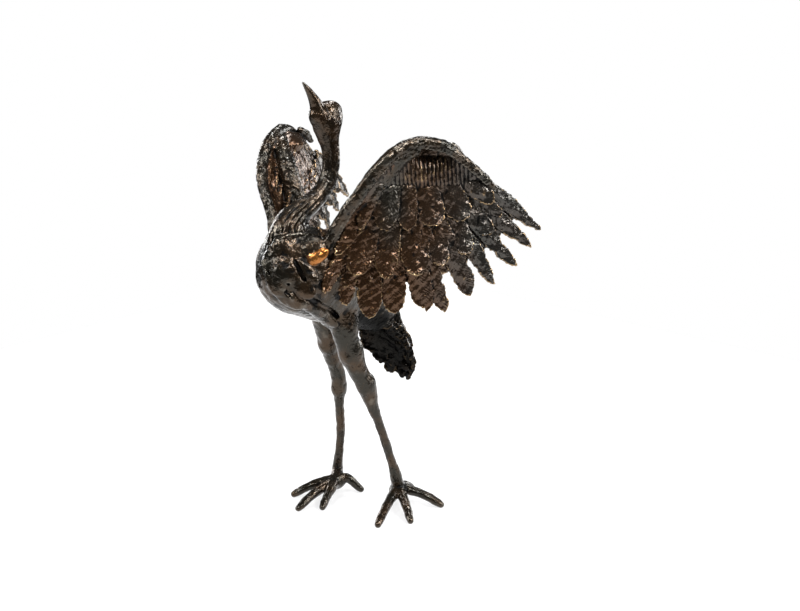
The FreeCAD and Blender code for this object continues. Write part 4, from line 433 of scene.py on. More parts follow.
    ([54.25, -34.38, 218.64], [1.8418293692548335, 1.15, 0.6], [0.373, 0.909, -0.186], [-0.727, 0.162, -0.667]),
    ([57.91, -34.29, 217.72], [1.567794584747127, 1.3632996389105454, 1.1588046930739635], [0.373, 0.909, -0.186], [0.903, -0.402, -0.151]),
    ([58.17, -32.83, 222.13], [1.6790510631746365, 1.15, 0.6], [0.373, 0.909, -0.186], [0.489, -0.022, 0.872]),
    ([56.38, -32.44, 222.39], [1.681757168767274, 1.15, 0.6], [0.373, 0.909, -0.186], [-0.169, 0.264, 0.95]),
    ([54.73, -31.94, 220.83], [1.6150147223239977, 1.15, 0.6], [0.373, 0.909, -0.186], [-0.844, 0.416, 0.34]),
    ([55.47, -32.18, 217.95], [1.8127187410685006, 1.15, 0.6], [0.373, 0.909, -0.186], [-0.639, 0.106, -0.762]),
    ([58.55, -32.49, 217.19], [1.5256211786515137, 1.3266271118708817, 1.1276330450902494], [0.282, 0.848, -0.448], [0.909, -0.385, -0.157]),
    ([59.86, -30.05, 220.26], [1.6920593788866531, 1.15, 0.6], [0.282, 0.848, -0.448], [0.807, 0.044, 0.59]),
    ([56.99, -29.66, 221.23], [1.7737258530696431, 1.15, 0.6], [0.282, 0.848, -0.448], [-0.252, 0.516, 0.819]),
    ([55.7, -29.08, 219.27], [1.7631940277157805, 1.15, 0.6], [0.282, 0.848, -0.448], [-0.892, 0.404, 0.204]),
    ([55.65, -30.32, 217.71], [1.6189429670150952, 1.15, 0.6], [0.282, 0.848, -0.448], [-0.869, 0.027, -0.495]),
    ([59.2, -30.41, 216.17], [1.3472517487951727, 1.1715232598218894, 0.995794770848606], [0.282, 0.848, -0.448], [0.909, -0.385, -0.157]),
    ([60.67, -29.41, 217.21], [1.2, 0.9, 0.55], [0.282, 0.848, -0.448], [0.909, -0.385, -0.157]),
    ([59.83, -28.41, 219.91], [1.6748304799031093, 1.15, 0.6], [0.282, 0.848, -0.448], [0.635, 0.185, 0.75]),
    ([58.22, -27.86, 220.3], [1.6497970217910605, 1.15, 0.6], [0.282, 0.848, -0.448], [-0.016, 0.471, 0.882]),
    ([56.27, -27.42, 218.05], [1.6783191909912447, 1.15, 0.6], [0.282, 0.848, -0.448], [-0.927, 0.361, 0.099]),
    ([56.02, -28.5, 217.47], [1.6749524584388094, 1.15, 0.6], [0.282, 0.848, -0.448], [-0.945, 0.166, -0.281]),
    ([59.87, -28.27, 215.12], [1.5600095677318755, 1.356530058897283, 1.1530505500626906], [0.282, 0.848, -0.448], [0.909, -0.385, -0.157]),
    ([61.3, -27.28, 216.11], [1.2, 0.9, 0.55], [0.282, 0.848, -0.448], [0.909, -0.385, -0.157]),
    ([61.06, -25.96, 218.07], [1.8048895510236367, 1.15, 0.6], [0.282, 0.848, -0.448], [0.792, 0.058, 0.608]),
    ([59.24, -25.39, 218.91], [1.5980833923542737, 1.15, 0.6], [0.282, 0.848, -0.448], [0.057, 0.451, 0.89]),
    ([56.86, -25.96, 217.47], [1.6908537571752693, 1.15, 0.6], [0.282, 0.848, -0.448], [-0.903, 0.392, 0.174]),
    ([57.32, -26.62, 215.36], [1.6043835660399166, 1.15, 0.6], [0.282, 0.848, -0.448], [-0.768, -0.08, -0.635]),
    ([60.46, -26.41, 214.2], [1.443754888617018, 1.2554390335800156, 1.0671231785430133], [0.282, 0.848, -0.448], [0.909, -0.385, -0.157]),
    ([61.85, -25.42, 215.17], [1.2, 0.9, 0.55], [0.282, 0.848, -0.448], [0.909, -0.385, -0.157]),
    ([61.28, -24.74, 217.55], [1.6994808422640393, 1.15, 0.6], [0.282, 0.848, -0.448], [0.746, 0.1, 0.658]),
    ([59.58, -23.95, 218.09], [1.6730620742597921, 1.15, 0.6], [0.282, 0.848, -0.448], [0.0, 0.467, 0.884]),
    ([57.61, -23.9, 216.36], [1.76402996867206, 1.15, 0.6], [0.282, 0.848, -0.448], [-0.903, 0.393, 0.176]),
    ([57.71, -25.16, 214.81], [1.6146669318234794, 1.15, 0.6], [0.282, 0.848, -0.448], [-0.814, -0.036, -0.58]),
    ([60.96, -24.97, 213.27], [1.492786629827395, 1.2980753302846915, 1.1033640307419876], [0.302, 0.729, -0.614], [0.882, -0.458, -0.11]),
    ([62.41, -23.91, 213.94], [1.2, 0.9, 0.55], [0.302, 0.729, -0.614], [0.882, -0.458, -0.11]),
    ([61.64, -22.52, 216.38], [1.6361333340935948, 1.15, 0.6], [0.302, 0.729, -0.614], [0.632, 0.329, 0.701]),
    ([60.23, -21.18, 215.95], [1.7550441923517504, 1.15, 0.6], [0.302, 0.729, -0.614], [-0.118, 0.668, 0.734]),
    ([58.9, -21.26, 214.95], [1.590687828070901, 1.15, 0.6], [0.302, 0.729, -0.614], [-0.747, 0.581, 0.322]),
    ([58.45, -23.1, 213.53], [1.7505354969364193, 1.15, 0.6], [0.302, 0.729, -0.614], [-0.868, -0.055, -0.493]),
    ([61.73, -23.01, 211.71], [1.468735475615375, 1.2771612831438044, 1.0855870906722338], [0.302, 0.729, -0.614], [0.882, -0.458, -0.11]),
    ([63.14, -21.96, 212.34], [1.2, 0.9, 0.55], [0.302, 0.729, -0.614], [0.882, -0.458, -0.11]),
    ([62.45, -20.74, 214.72], [1.7954126449329748, 1.15, 0.6], [0.302, 0.729, -0.614], [0.668, 0.298, 0.682]),
    ([60.79, -19.87, 214.76], [1.594787728189436, 1.15, 0.6], [0.302, 0.729, -0.614], [-0.124, 0.669, 0.733]),
    ([59.41, -19.71, 212.71], [1.6053640849323192, 1.15, 0.6], [0.302, 0.729, -0.614], [-0.907, 0.419, 0.05]),
    ([59.76, -21.13, 211.28], [1.6488132829279394, 1.15, 0.6], [0.302, 0.729, -0.614], [-0.736, -0.231, -0.636]),
    ([62.37, -21.38, 210.41], [1.365980204778943, 1.1878088737208201, 1.0096375426626971], [0.302, 0.729, -0.614], [0.882, -0.458, -0.11]),
    ([63.75, -20.35, 211.02], [1.2, 0.9, 0.55], [0.302, 0.729, -0.614], [0.882, -0.458, -0.11]),
    ([63.46, -19.39, 212.95], [1.6318155616682306, 1.15, 0.6], [0.302, 0.729, -0.614], [0.824, 0.124, 0.553]),
    ([61.58, -18.41, 213.48], [1.8267374163585777, 1.15, 0.6], [0.302, 0.729, -0.614], [-0.051, 0.656, 0.753]),
    ([60.49, -17.9, 212.18], [1.7035803420234465, 1.15, 0.6], [0.302, 0.729, -0.614], [-0.699, 0.608, 0.377]),
    ([59.86, -19.61, 210.92], [1.6265882617870626, 1.15, 0.6], [0.302, 0.729, -0.614], [-0.905, 0.018, -0.424]),
    ([63.08, -19.58, 208.98], [1.468438286808194, 1.2769028580940818, 1.0853674293799696], [0.302, 0.729, -0.614], [0.882, -0.458, -0.11]),
    ([64.42, -18.56, 209.55], [1.2, 0.9, 0.55], [0.302, 0.729, -0.614], [0.882, -0.458, -0.11]),
    ([63.75, -17.35, 211.79], [1.7006584895150796, 1.15, 0.6], [0.302, 0.729, -0.614], [0.652, 0.312, 0.691]),
    ([62.78, -16.01, 211.38], [1.674410476906437, 1.15, 0.6], [0.302, 0.729, -0.614], [0.031, 0.637, 0.77]),
    ([61.49, -15.92, 210.66], [1.6458528338235117, 1.15, 0.6], [0.302, 0.729, -0.614], [-0.624, 0.639, 0.45]),
    ([61.24, -17.81, 208.55], [1.8322179875488986, 1.15, 0.6], [0.302, 0.729, -0.614], [-0.727, -0.241, -0.643]),
    ([63.76, -17.78, 207.5], [1.5997621021802175, 1.391097480156711, 1.1824328581332044], [0.269, 0.716, -0.644], [0.887, -0.445, -0.124]),
    ([65.08, -16.73, 207.97], [1.2, 0.9, 0.55], [0.269, 0.716, -0.644], [0.887, -0.445, -0.124]),
    ([64.68, -15.74, 210.0], [1.6609944252497986, 1.15, 0.6], [0.269, 0.716, -0.644], [0.779, 0.232, 0.583]),
    ([62.82, -14.81, 210.21], [1.5912456908109112, 1.15, 0.6], [0.269, 0.716, -0.644], [-0.173, 0.694, 0.699]),
    ([61.71, -14.78, 209.05], [1.7310374293558728, 1.15, 0.6], [0.269, 0.716, -0.644], [-0.799, 0.539, 0.265]),
    ([61.63, -15.59, 207.4], [1.754182774152048, 1.15, 0.6], [0.269, 0.716, -0.644], [-0.905, -0.042, -0.424]),
    ([64.41, -15.99, 205.93], [1.495779196147296, 1.300677561867214, 1.1055759275871317], [0.269, 0.716, -0.644], [0.887, -0.445, -0.124]),
    ([65.71, -14.94, 206.39], [1.2, 0.9, 0.55], [0.269, 0.716, -0.644], [0.887, -0.445, -0.124]),
    ([65.39, -14.06, 208.3], [1.7432276807457368, 1.15, 0.6], [0.269, 0.716, -0.644], [0.817, 0.184, 0.546]),
    ([63.62, -12.81, 208.36], [1.7442055257281797, 1.15, 0.6], [0.269, 0.716, -0.644], [-0.155, 0.693, 0.705]),
    ([62.49, -13.13, 207.84], [1.6301914056779485, 1.15, 0.6], [0.269, 0.716, -0.644], [-0.711, 0.599, 0.368]),
    ([62.3, -14.1, 205.92], [1.7658918603404292, 1.15, 0.6], [0.269, 0.716, -0.644], [-0.881, -0.086, -0.464]),
    ([65.0, -14.37, 204.53], [1.4003371632098418, 1.2176844897476886, 1.0350318162855352], [0.269, 0.716, -0.644], [0.887, -0.445, -0.124]),
    ([66.28, -13.34, 204.97], [1.2, 0.9, 0.55], [0.269, 0.716, -0.644], [0.887, -0.445, -0.124]),
    ([65.67, -11.95, 206.96], [1.8109485997874857, 1.15, 0.6], [0.269, 0.716, -0.644], [0.63, 0.376, 0.68]),
    ([64.62, -11.1, 206.81], [1.7408109378211196, 1.15, 0.6], [0.269, 0.716, -0.644], [0.017, 0.666, 0.746]),
    ([63.27, -11.15, 206.04], [1.8299021172794139, 1.15, 0.6], [0.269, 0.716, -0.644], [-0.71, 0.599, 0.369]),
    ([62.77, -13.17, 204.93], [1.6479210536942759, 1.15, 0.6], [0.269, 0.716, -0.644], [-0.849, -0.139, -0.509]),
    ([65.67, -12.54, 202.93], [1.421026393744099, 1.2356751249948688, 1.0503238562456385], [0.269, 0.716, -0.644], [0.887, -0.445, -0.124]),
    ([66.27, -9.73, 205.1], [1.6655459259730845, 1.15, 0.6], [0.269, 0.716, -0.644], [0.54, 0.442, 0.716]),
    ([65.35, -9.87, 205.63], [1.658171890469884, 1.15, 0.6], [0.269, 0.716, -0.644], [0.143, 0.632, 0.762]),
    ([63.62, -9.85, 204.34], [1.6887407590305044, 1.15, 0.6], [0.269, 0.716, -0.644], [-0.845, 0.496, 0.198]),
    ([63.59, -11.39, 203.16], [1.6460411807749082, 1.15, 0.6], [0.269, 0.716, -0.644], [-0.807, -0.197, -0.556]),
    ([66.35, -10.66, 201.29], [1.5431018749253538, 1.3418277173263946, 1.1405535597274354], [0.269, 0.716, -0.644], [0.887, -0.445, -0.124]),
    ([67.58, -9.64, 201.69], [1.2, 0.9, 0.55], [0.269, 0.716, -0.644], [0.887, -0.445, -0.124]),
    ([67.25, -7.96, 203.18], [1.7890889332690292, 1.15, 0.6], [0.269, 0.716, -0.644], [0.677, 0.336, 0.655]),
    ([65.89, -7.91, 203.84], [1.836871599216976, 1.15, 0.6], [0.269, 0.716, -0.644], [0.044, 0.659, 0.751]),
    ([64.54, -7.62, 202.46], [1.7391093180691566, 1.15, 0.6], [0.269, 0.716, -0.644], [-0.809, 0.531, 0.252]),
    ([64.11, -9.21, 201.82], [1.830191910449501, 1.15, 0.6], [0.269, 0.716, -0.644], [-0.919, -0.01, -0.395]),
    ([66.93, -8.72, 199.6], [1.3910505341121309, 1.2096091600975052, 1.0281677860828793], [0.217, 0.732, -0.646], [0.893, -0.416, -0.172]),
    ([68.01, -6.16, 201.25], [1.674360043663639, 1.15, 0.6], [0.217, 0.732, -0.646], [0.793, 0.254, 0.553]),
    ([66.95, -5.59, 201.68], [1.5579784800598293, 1.15, 0.6], [0.217, 0.732, -0.646], [0.208, 0.612, 0.763]),
    ([64.9, -6.43, 201.31], [1.5964698217883395, 1.15, 0.6], [0.217, 0.732, -0.646], [-0.84, 0.477, 0.259]),
    ([64.93, -7.5, 199.84], [1.7444081306688526, 1.15, 0.6], [0.217, 0.732, -0.646], [-0.845, -0.191, -0.499]),
    ([67.4, -7.05, 198.17], [1.5016095850068756, 1.3057474652233703, 1.1098853454398647], [0.217, 0.732, -0.646], [0.893, -0.416, -0.172]),
    ([68.04, -4.66, 200.35], [1.635800671464229, 1.15, 0.6], [0.217, 0.732, -0.646], [0.617, 0.411, 0.671]),
    ([66.55, -3.97, 200.17], [1.8269076002681541, 1.15, 0.6], [0.217, 0.732, -0.646], [-0.269, 0.681, 0.681]),
    ([65.71, -4.35, 199.85], [1.6392858648915625, 1.15, 0.6], [0.217, 0.732, -0.646], [-0.717, 0.569, 0.404]),
    ([65.75, -5.74, 197.92], [1.5714984317319034, 1.15, 0.6], [0.217, 0.732, -0.646], [-0.724, -0.324, -0.609]),
    ([67.89, -5.35, 196.71], [1.370557386395105, 1.1917890316479176, 1.01302067690073], [0.217, 0.732, -0.646], [0.893, -0.416, -0.172]),
    ([69.06, -4.33, 197.02], [1.2, 0.9, 0.55], [0.217, 0.732, -0.646], [0.893, -0.416, -0.172]),
    ([68.73, -3.45, 198.85], [1.7089724614450097, 1.15, 0.6], [0.217, 0.732, -0.646], [0.777, 0.272, 0.568]),
    ([67.25, -2.59, 198.98], [1.8003617635800206, 1.15, 0.6], [0.217, 0.732, -0.646], [-0.111, 0.676, 0.728]),
    ([65.79, -3.35, 198.16], [1.7622048812215414, 1.15, 0.6], [0.217, 0.732, -0.646], [-0.916, 0.382, 0.125]),
    ([66.04, -3.64, 196.62], [1.8304212999132574, 1.15, 0.6], [0.217, 0.732, -0.646], [-0.878, -0.144, -0.457]),
    ([25.32, -51.71, 179.18], [1.9443691149055489, 1.5, 0.75], [0.423, 0.094, 0.901], [-0.21, 0.978, -0.003]),
    ([22.37, -53.64, 180.77], [1.9009835616600588, 1.5, 0.75], [0.423, 0.094, 0.901], [-0.711, 0.651, 0.266]),
    ([21.36, -55.87, 181.47], [1.8537207849485946, 1.5, 0.75], [0.423, 0.094, 0.901], [-0.882, 0.272, 0.385]),
    ([21.8, -59.9, 181.68], [1.8923445522796614, 1.5, 0.75], [0.423, 0.094, 0.901], [-0.808, -0.412, 0.422]),
    ([24.49, -62.78, 180.72], [1.7682929298103043, 1.5, 0.75], [0.423, 0.094, 0.901], [-0.351, -0.9, 0.258]),
    ([27.69, -63.26, 179.27], [1.7615077875827505, 1.5, 0.75], [0.423, 0.094, 0.901], [0.192, -0.981, 0.012]),
    ([24.81, -52.28, 182.43], [1.8827037137503548, 1.5, 0.75], [0.423, 0.094, 0.901], [-0.497, 0.856, 0.144]),
    ([22.97, -54.5, 183.53], [1.9214725294456894, 1.5, 0.75], [0.423, 0.094, 0.901], [-0.817, 0.471, 0.334]),
    ([22.67, -58.61, 184.1], [1.757355650897968, 1.5, 0.75], [0.423, 0.094, 0.901], [-0.869, -0.24, 0.432]),
    ([24.7, -61.8, 183.48], [1.9714289723619771, 1.5, 0.75], [0.423, 0.094, 0.901], [-0.518, -0.792, 0.325]),
    ([27.47, -62.96, 182.3], [1.9978910601329882, 1.5, 0.75], [0.423, 0.094, 0.901], [-0.037, -0.992, 0.121]),
    ([29.82, -62.57, 181.16], [1.9207931679154708, 1.5, 0.75], [0.423, 0.094, 0.901], [0.37, -0.926, -0.077]),
    ([27.21, -51.55, 184.18], [2.044871840177634, 1.5, 0.75], [0.423, 0.094, 0.901], [-0.282, 0.959, 0.032]),
    ([24.81, -53.25, 185.49], [1.7856065829767402, 1.5, 0.75], [0.423, 0.094, 0.901], [-0.706, 0.658, 0.262]),
    ([23.68, -56.85, 186.39], [1.8118923121667327, 1.5, 0.75], [0.423, 0.094, 0.901], [-0.906, 0.022, 0.422]),
    ([24.46, -59.75, 186.33], [2.0463145755860332, 1.5, 0.75], [0.423, 0.094, 0.901], [-0.768, -0.491, 0.411]),
    ([26.95, -62.13, 185.41], [1.8922689318910157, 1.5, 0.75], [0.423, 0.094, 0.901], [-0.329, -0.911, 0.249]),
    ([29.83, -62.54, 184.1], [1.8922404845873924, 1.5, 0.75], [0.423, 0.094, 0.901], [0.179, -0.984, 0.018]),
    ([26.68, -52.37, 187.47], [1.8376326268933891, 1.5, 0.75], [0.423, 0.094, 0.901], [-0.587, 0.786, 0.193]),
    ([25.47, -53.98, 188.21], [1.8422359460201272, 1.5, 0.75], [0.423, 0.094, 0.901], [-0.806, 0.494, 0.326]),
    ([24.93, -56.94, 188.77], [1.8739518767921854, 1.5, 0.75], [0.423, 0.094, 0.901], [-0.903, -0.039, 0.427]),
    ([26.24, -60.28, 188.51], [2.0122327555337307, 1.5, 0.75], [0.423, 0.094, 0.901], [-0.668, -0.641, 0.38]),
    ([29.61, -62.21, 187.13], [1.9187532036721844, 1.5, 0.75], [0.423, 0.094, 0.901], [-0.059, -0.99, 0.131]),
    ([31.69, -61.98, 186.13], [2.0226565867229054, 1.5, 0.75], [0.423, 0.094, 0.901], [0.316, -0.948, -0.049]),
    ([30.34, -51.12, 188.69], [1.8644764415984598, 1.5, 0.75], [0.294, 0.048, 0.955], [-0.097, 0.995, -0.02]),
    ([26.87, -53.0, 189.86], [2.028675248132668, 1.5, 0.75], [0.294, 0.048, 0.955], [-0.734, 0.65, 0.194]),
    ([25.7, -55.77, 190.35], [1.8402701989955814, 1.5, 0.75], [0.294, 0.048, 0.955], [-0.948, 0.142, 0.285]),
    ([26.74, -59.79, 190.24], [1.876841911786063, 1.5, 0.75], [0.294, 0.048, 0.955], [-0.758, -0.597, 0.264]),
    ([28.72, -61.46, 189.71], [1.9517033166858477, 1.5, 0.75], [0.294, 0.048, 0.955], [-0.395, -0.903, 0.167]),
    ([31.48, -61.95, 188.88], [1.7629041197065707, 1.5, 0.75], [0.294, 0.048, 0.955], [0.112, -0.994, 0.015]),
    ([29.23, -51.63, 191.69], [2.0047737026132206, 1.5, 0.75], [0.294, 0.048, 0.955], [-0.443, 0.892, 0.092]),
    ([27.11, -53.77, 192.46], [2.0434617916274855, 1.5, 0.75], [0.294, 0.048, 0.955], [-0.838, 0.493, 0.234]),
    ([26.59, -57.49, 192.8], [1.9667859430016144, 1.5, 0.75], [0.294, 0.048, 0.955], [-0.933, -0.2, 0.298]),
    ([27.69, -59.83, 192.58], [1.8841920539643608, 1.5, 0.75], [0.294, 0.048, 0.955], [-0.73, -0.634, 0.257]),
    ([30.99, -61.74, 191.66], [1.916208867623109, 1.5, 0.75], [0.294, 0.048, 0.955], [-0.115, -0.99, 0.085]),
    ([33.64, -61.38, 190.82], [1.9791603301138494, 1.5, 0.75], [0.294, 0.048, 0.955], [0.377, -0.924, -0.07]),
    ([31.12, -51.15, 193.72], [1.816139434551062, 1.5, 0.75], [0.294, 0.048, 0.955], [-0.233, 0.972, 0.023]),
    ([28.29, -53.07, 194.69], [1.7810942392948548, 1.5, 0.75], [0.294, 0.048, 0.955], [-0.765, 0.61, 0.206]),
    ([27.47, -54.8, 195.03], [1.7546590768130774, 1.5, 0.75], [0.294, 0.048, 0.955], [-0.921, 0.282, 0.27]),
    ([28.27, -59.37, 195.01], [1.7910141349255828, 1.5, 0.75], [0.294, 0.048, 0.955], [-0.77, -0.58, 0.266]),
    ([30.6, -61.24, 194.39], [1.8402717109691886, 1.5, 0.75], [0.294, 0.048, 0.955], [-0.329, -0.932, 0.148]),
    ([32.67, -61.59, 193.77], [1.8517203320173121, 1.5, 0.75], [0.294, 0.048, 0.955], [0.06, -0.998, 0.031]),
    ([30.38, -51.76, 196.62], [1.8061548025828316, 1.5, 0.75], [0.294, 0.048, 0.955], [-0.519, 0.846, 0.118]),
    ([28.74, -53.54, 197.21], [1.867763082933157, 1.5, 0.75], [0.294, 0.048, 0.955], [-0.832, 0.504, 0.231]),
    ([28.16, -56.95, 197.56], [1.8504150349909367, 1.5, 0.75], [0.294, 0.048, 0.955], [-0.943, -0.147, 0.298]),
    ([29.53, -59.79, 197.28], [2.0000303410463784, 1.5, 0.75], [0.294, 0.048, 0.955], [-0.681, -0.69, 0.245]),
    ([32.18, -61.3, 196.54], [1.972843577818396, 1.5, 0.75], [0.294, 0.048, 0.955], [-0.174, -0.979, 0.103]),
    ([35.4, -60.84, 195.52], [1.8152457104295847, 1.5, 0.75], [0.294, 0.048, 0.955], [0.442, -0.892, -0.092]),
    ([32.95, -50.98, 198.42], [1.9192397880169088, 1.5, 0.75], [0.294, 0.048, 0.955], [-0.171, 0.985, 0.004]),
    ([29.67, -53.25, 199.54], [2.006567623028572, 1.5, 0.75], [0.294, 0.048, 0.955], [-0.808, 0.545, 0.222]),
    ([28.96, -55.2, 199.86], [1.919981399989398, 1.5, 0.75], [0.294, 0.048, 0.955], [-0.944, 0.168, 0.283]),
    ([29.86, -59.05, 199.77], [1.7965135028495147, 1.5, 0.75], [0.294, 0.048, 0.955], [-0.77, -0.58, 0.266]),
    ([32.09, -60.85, 199.17], [2.0091327250245943, 1.5, 0.75], [0.294, 0.048, 0.955], [-0.337, -0.929, 0.15]),
    ([35.13, -61.04, 198.25], [1.9386802963743204, 1.5, 0.75], [0.294, 0.048, 0.955], [0.253, -0.967, -0.03]),
    ([33.1, -50.9, 200.07], [1.9443099552252576, 1.5, 0.75], [0.568, 0.324, 0.757], [-0.374, 0.92, -0.114]),
    ([31.33, -52.34, 202.02], [1.7685501915285184, 1.5, 0.75], [0.568, 0.324, 0.757], [-0.723, 0.635, 0.27]),
    ([30.83, -54.71, 203.41], [1.7814059815270837, 1.5, 0.75], [0.568, 0.324, 0.757], [-0.822, 0.166, 0.545]),
    ([31.26, -56.6, 203.9], [1.9712079203079473, 1.5, 0.75], [0.568, 0.324, 0.757], [-0.738, -0.208, 0.642]),
    ([33.21, -59.27, 203.58], [2.021777567756369, 1.5, 0.75], [0.568, 0.324, 0.757], [-0.351, -0.736, 0.579]),
    ([35.61, -60.31, 202.23], [1.8847800899585267, 1.5, 0.75], [0.568, 0.324, 0.757], [0.122, -0.942, 0.312]),
    ([34.17, -50.33, 202.69], [2.0360949544764666, 1.5, 0.75], [0.568, 0.324, 0.757], [-0.484, 0.875, -0.012]),
    ([32.7, -52.18, 204.59], [2.04411462283682, 1.5, 0.75], [0.568, 0.324, 0.757], [-0.782, 0.499, 0.373]),
    ([32.59, -54.52, 205.68], [1.7755491824922889, 1.5, 0.75], [0.568, 0.324, 0.757], [-0.805, 0.026, 0.593]),
    ([34.6, -58.1, 205.7], [1.8961817792090148, 1.5, 0.75], [0.568, 0.324, 0.757], [-0.396, -0.698, 0.596]),
    ([36.27, -59.1, 204.87], [1.763393682131483, 1.5, 0.75], [0.568, 0.324, 0.757], [-0.058, -0.901, 0.43]),
    ([38.83, -59.04, 202.93], [1.9332280949879337, 1.5, 0.75], [0.568, 0.324, 0.757], [0.459, -0.888, 0.036]),
    ([37.87, -49.25, 203.12], [1.9557628659146618, 1.5, 0.75], [0.568, 0.324, 0.757], [-0.055, 0.932, -0.358]),
    ([35.16, -50.01, 205.48], [1.851272112779357, 1.5, 0.75], [0.568, 0.324, 0.757], [-0.618, 0.775, 0.131]),
    ([34.17, -52.65, 207.36], [1.84218659051033, 1.5, 0.75], [0.568, 0.324, 0.757], [-0.823, 0.228, 0.52]),
    ([34.64, -54.9, 207.97], [1.955191531013001, 1.5, 0.75], [0.568, 0.324, 0.757], [-0.725, -0.238, 0.646]),
    ([36.45, -57.31, 207.64], [1.8731554314151695, 1.5, 0.75], [0.568, 0.324, 0.757], [-0.349, -0.737, 0.578]),
    ([39.07, -58.31, 206.11], [1.9481407005694724, 1.5, 0.75], [0.568, 0.324, 0.757], [0.194, -0.946, 0.26]),
    ([37.4, -48.75, 206.92], [1.9837193537091167, 1.5, 0.75], [0.568, 0.324, 0.757], [-0.49, 0.872, -0.006]),
    ([35.93, -50.89, 208.95], [1.8941834363905463, 1.5, 0.75], [0.568, 0.324, 0.757], [-0.804, 0.416, 0.425]),
    ([35.87, -52.4, 209.64], [1.937021106543868, 1.5, 0.75], [0.568, 0.324, 0.757], [-0.816, 0.096, 0.57]),
    ([37.31, -55.6, 209.93], [1.892980667139268, 1.5, 0.75], [0.568, 0.324, 0.757], [-0.51, -0.583, 0.632]),
    ([39.2, -57.0, 209.11], [1.8445920305494523, 1.5, 0.75], [0.568, 0.324, 0.757], [-0.109, -0.882, 0.459]),
    ([41.78, -57.07, 207.21], [1.8657539073022387, 1.5, 0.75], [0.568, 0.324, 0.757], [0.439, -0.897, 0.055]),
    ([39.91, -47.68, 208.41], [1.9520215069216522, 1.5, 0.75], [0.623, 0.299, 0.723], [-0.311, 0.943, -0.122]),
    ([38.62, -48.4, 209.82], [1.9770806308840785, 1.5, 0.75], [0.623, 0.299, 0.723], [-0.591, 0.785, 0.185]),
    ([37.75, -51.12, 211.69], [1.8797882511641717, 1.5, 0.75], [0.623, 0.299, 0.723], [-0.781, 0.193, 0.594]),
    ([38.31, -53.35, 212.14], [1.7981284761072935, 1.5, 0.75], [0.623, 0.299, 0.723], [-0.66, -0.295, 0.691]),
    ([40.01, -55.54, 211.57], [1.8437871589718833, 1.5, 0.75], [0.623, 0.299, 0.723], [-0.288, -0.771, 0.568]),
    ([41.82, -56.35, 210.35], [2.0421022567894935, 1.5, 0.75], [0.623, 0.299, 0.723], [0.105, -0.948, 0.302]),
    ([41.04, -47.19, 210.93], [2.0153787029900854, 1.5, 0.75], [0.623, 0.299, 0.723], [-0.439, 0.898, 0.007]),
    ([39.78, -48.63, 212.62], [1.815146995158052, 1.5, 0.75], [0.623, 0.299, 0.723], [-0.722, 0.575, 0.385]),
    ([39.83, -51.97, 213.95], [1.9799465469371287, 1.5, 0.75], [0.623, 0.299, 0.723], [-0.709, -0.173, 0.683]),
    ([40.93, -53.9, 213.8], [1.8038111561319428, 1.5, 0.75], [0.623, 0.299, 0.723], [-0.463, -0.604, 0.649]),
    ([43.3, -55.4, 212.38], [1.9702202367926949, 1.5, 0.75], [0.623, 0.299, 0.723], [0.068, -0.941, 0.331]),
    ([44.58, -55.36, 211.26], [1.9321756682897786, 1.5, 0.75], [0.623, 0.299, 0.723], [0.355, -0.932, 0.08]),
    ([43.45, -46.29, 212.18], [1.9092134224203923, 1.5, 0.75], [0.623, 0.299, 0.723], [-0.28, 0.948, -0.151]),
    ([41.85, -47.3, 213.97], [1.9975789525418213, 1.5, 0.75], [0.623, 0.299, 0.723], [-0.648, 0.715, 0.263]),
    ([41.28, -49.12, 215.22], [1.9567785113072016, 1.5, 0.75], [0.623, 0.299, 0.723], [-0.781, 0.295, 0.551]),
    ([41.85, -51.78, 215.83], [1.8460187164483866, 1.5, 0.75], [0.623, 0.299, 0.723], [-0.649, -0.318, 0.691]),
    ([44.04, -54.15, 214.93], [1.8692119633703164, 1.5, 0.75], [0.623, 0.299, 0.723], [-0.145, -0.864, 0.483]),
    ([45.33, -54.54, 213.97], [1.8873866178106344, 1.5, 0.75], [0.623, 0.299, 0.723], [0.154, -0.953, 0.262]),
    ([45.01, -45.98, 212.28], [1.8894321084310897, 1.5, 0.75], [0.659, 0.599, 0.455], [-0.343, 0.778, -0.526]),
    ([43.75, -46.07, 214.21], [2.035420579352732, 1.5, 0.75], [0.659, 0.599, 0.455], [-0.651, 0.757, -0.054]),
    ([43.35, -46.86, 215.85], [2.016889741904654, 1.5, 0.75], [0.659, 0.599, 0.455], [-0.751, 0.563, 0.345]),
    ([43.94, -48.91, 217.68], [1.790308370404625, 1.5, 0.75], [0.659, 0.599, 0.455], [-0.606, 0.064, 0.793]),
    ([45.68, -51.06, 217.99], [1.9723415436782625, 1.5, 0.75], [0.659, 0.599, 0.455], [-0.18, -0.462, 0.868]),
    ([48.15, -52.42, 216.2], [1.8749036569563655, 1.5, 0.75], [0.659, 0.599, 0.455], [0.424, -0.795, 0.433]),
    ([46.36, -44.52, 214.51], [2.0024193006744517, 1.5, 0.75], [0.659, 0.599, 0.455], [-0.507, 0.801, -0.319]),
    ([45.49, -45.19, 216.64], [1.986270650519344, 1.5, 0.75], [0.659, 0.599, 0.455], [-0.741, 0.622, 0.253]),
    ([45.47, -45.8, 217.49], [1.9577872240077447, 1.5, 0.75], [0.659, 0.599, 0.455], [-0.748, 0.457, 0.481]),
    ([46.83, -48.45, 219.0], [1.8788500416682263, 1.5, 0.75], [0.659, 0.599, 0.455], [-0.382, -0.254, 0.888]),
    ([48.02, -49.59, 218.77], [1.822163303010435, 1.5, 0.75], [0.659, 0.599, 0.455], [-0.061, -0.561, 0.826]),
    ([50.11, -50.48, 216.92], [1.7787682038918509, 1.5, 0.75], [0.659, 0.599, 0.455], [0.5, -0.801, 0.329]),
    ([49.26, -43.34, 214.89], [1.9433331218473187, 1.5, 0.75], [0.659, 0.599, 0.455], [-0.246, 0.744, -0.622]),
    ([47.95, -43.27, 216.69], [2.0369868503334523, 1.5, 0.75], [0.659, 0.599, 0.455], [-0.638, 0.765, -0.083]),
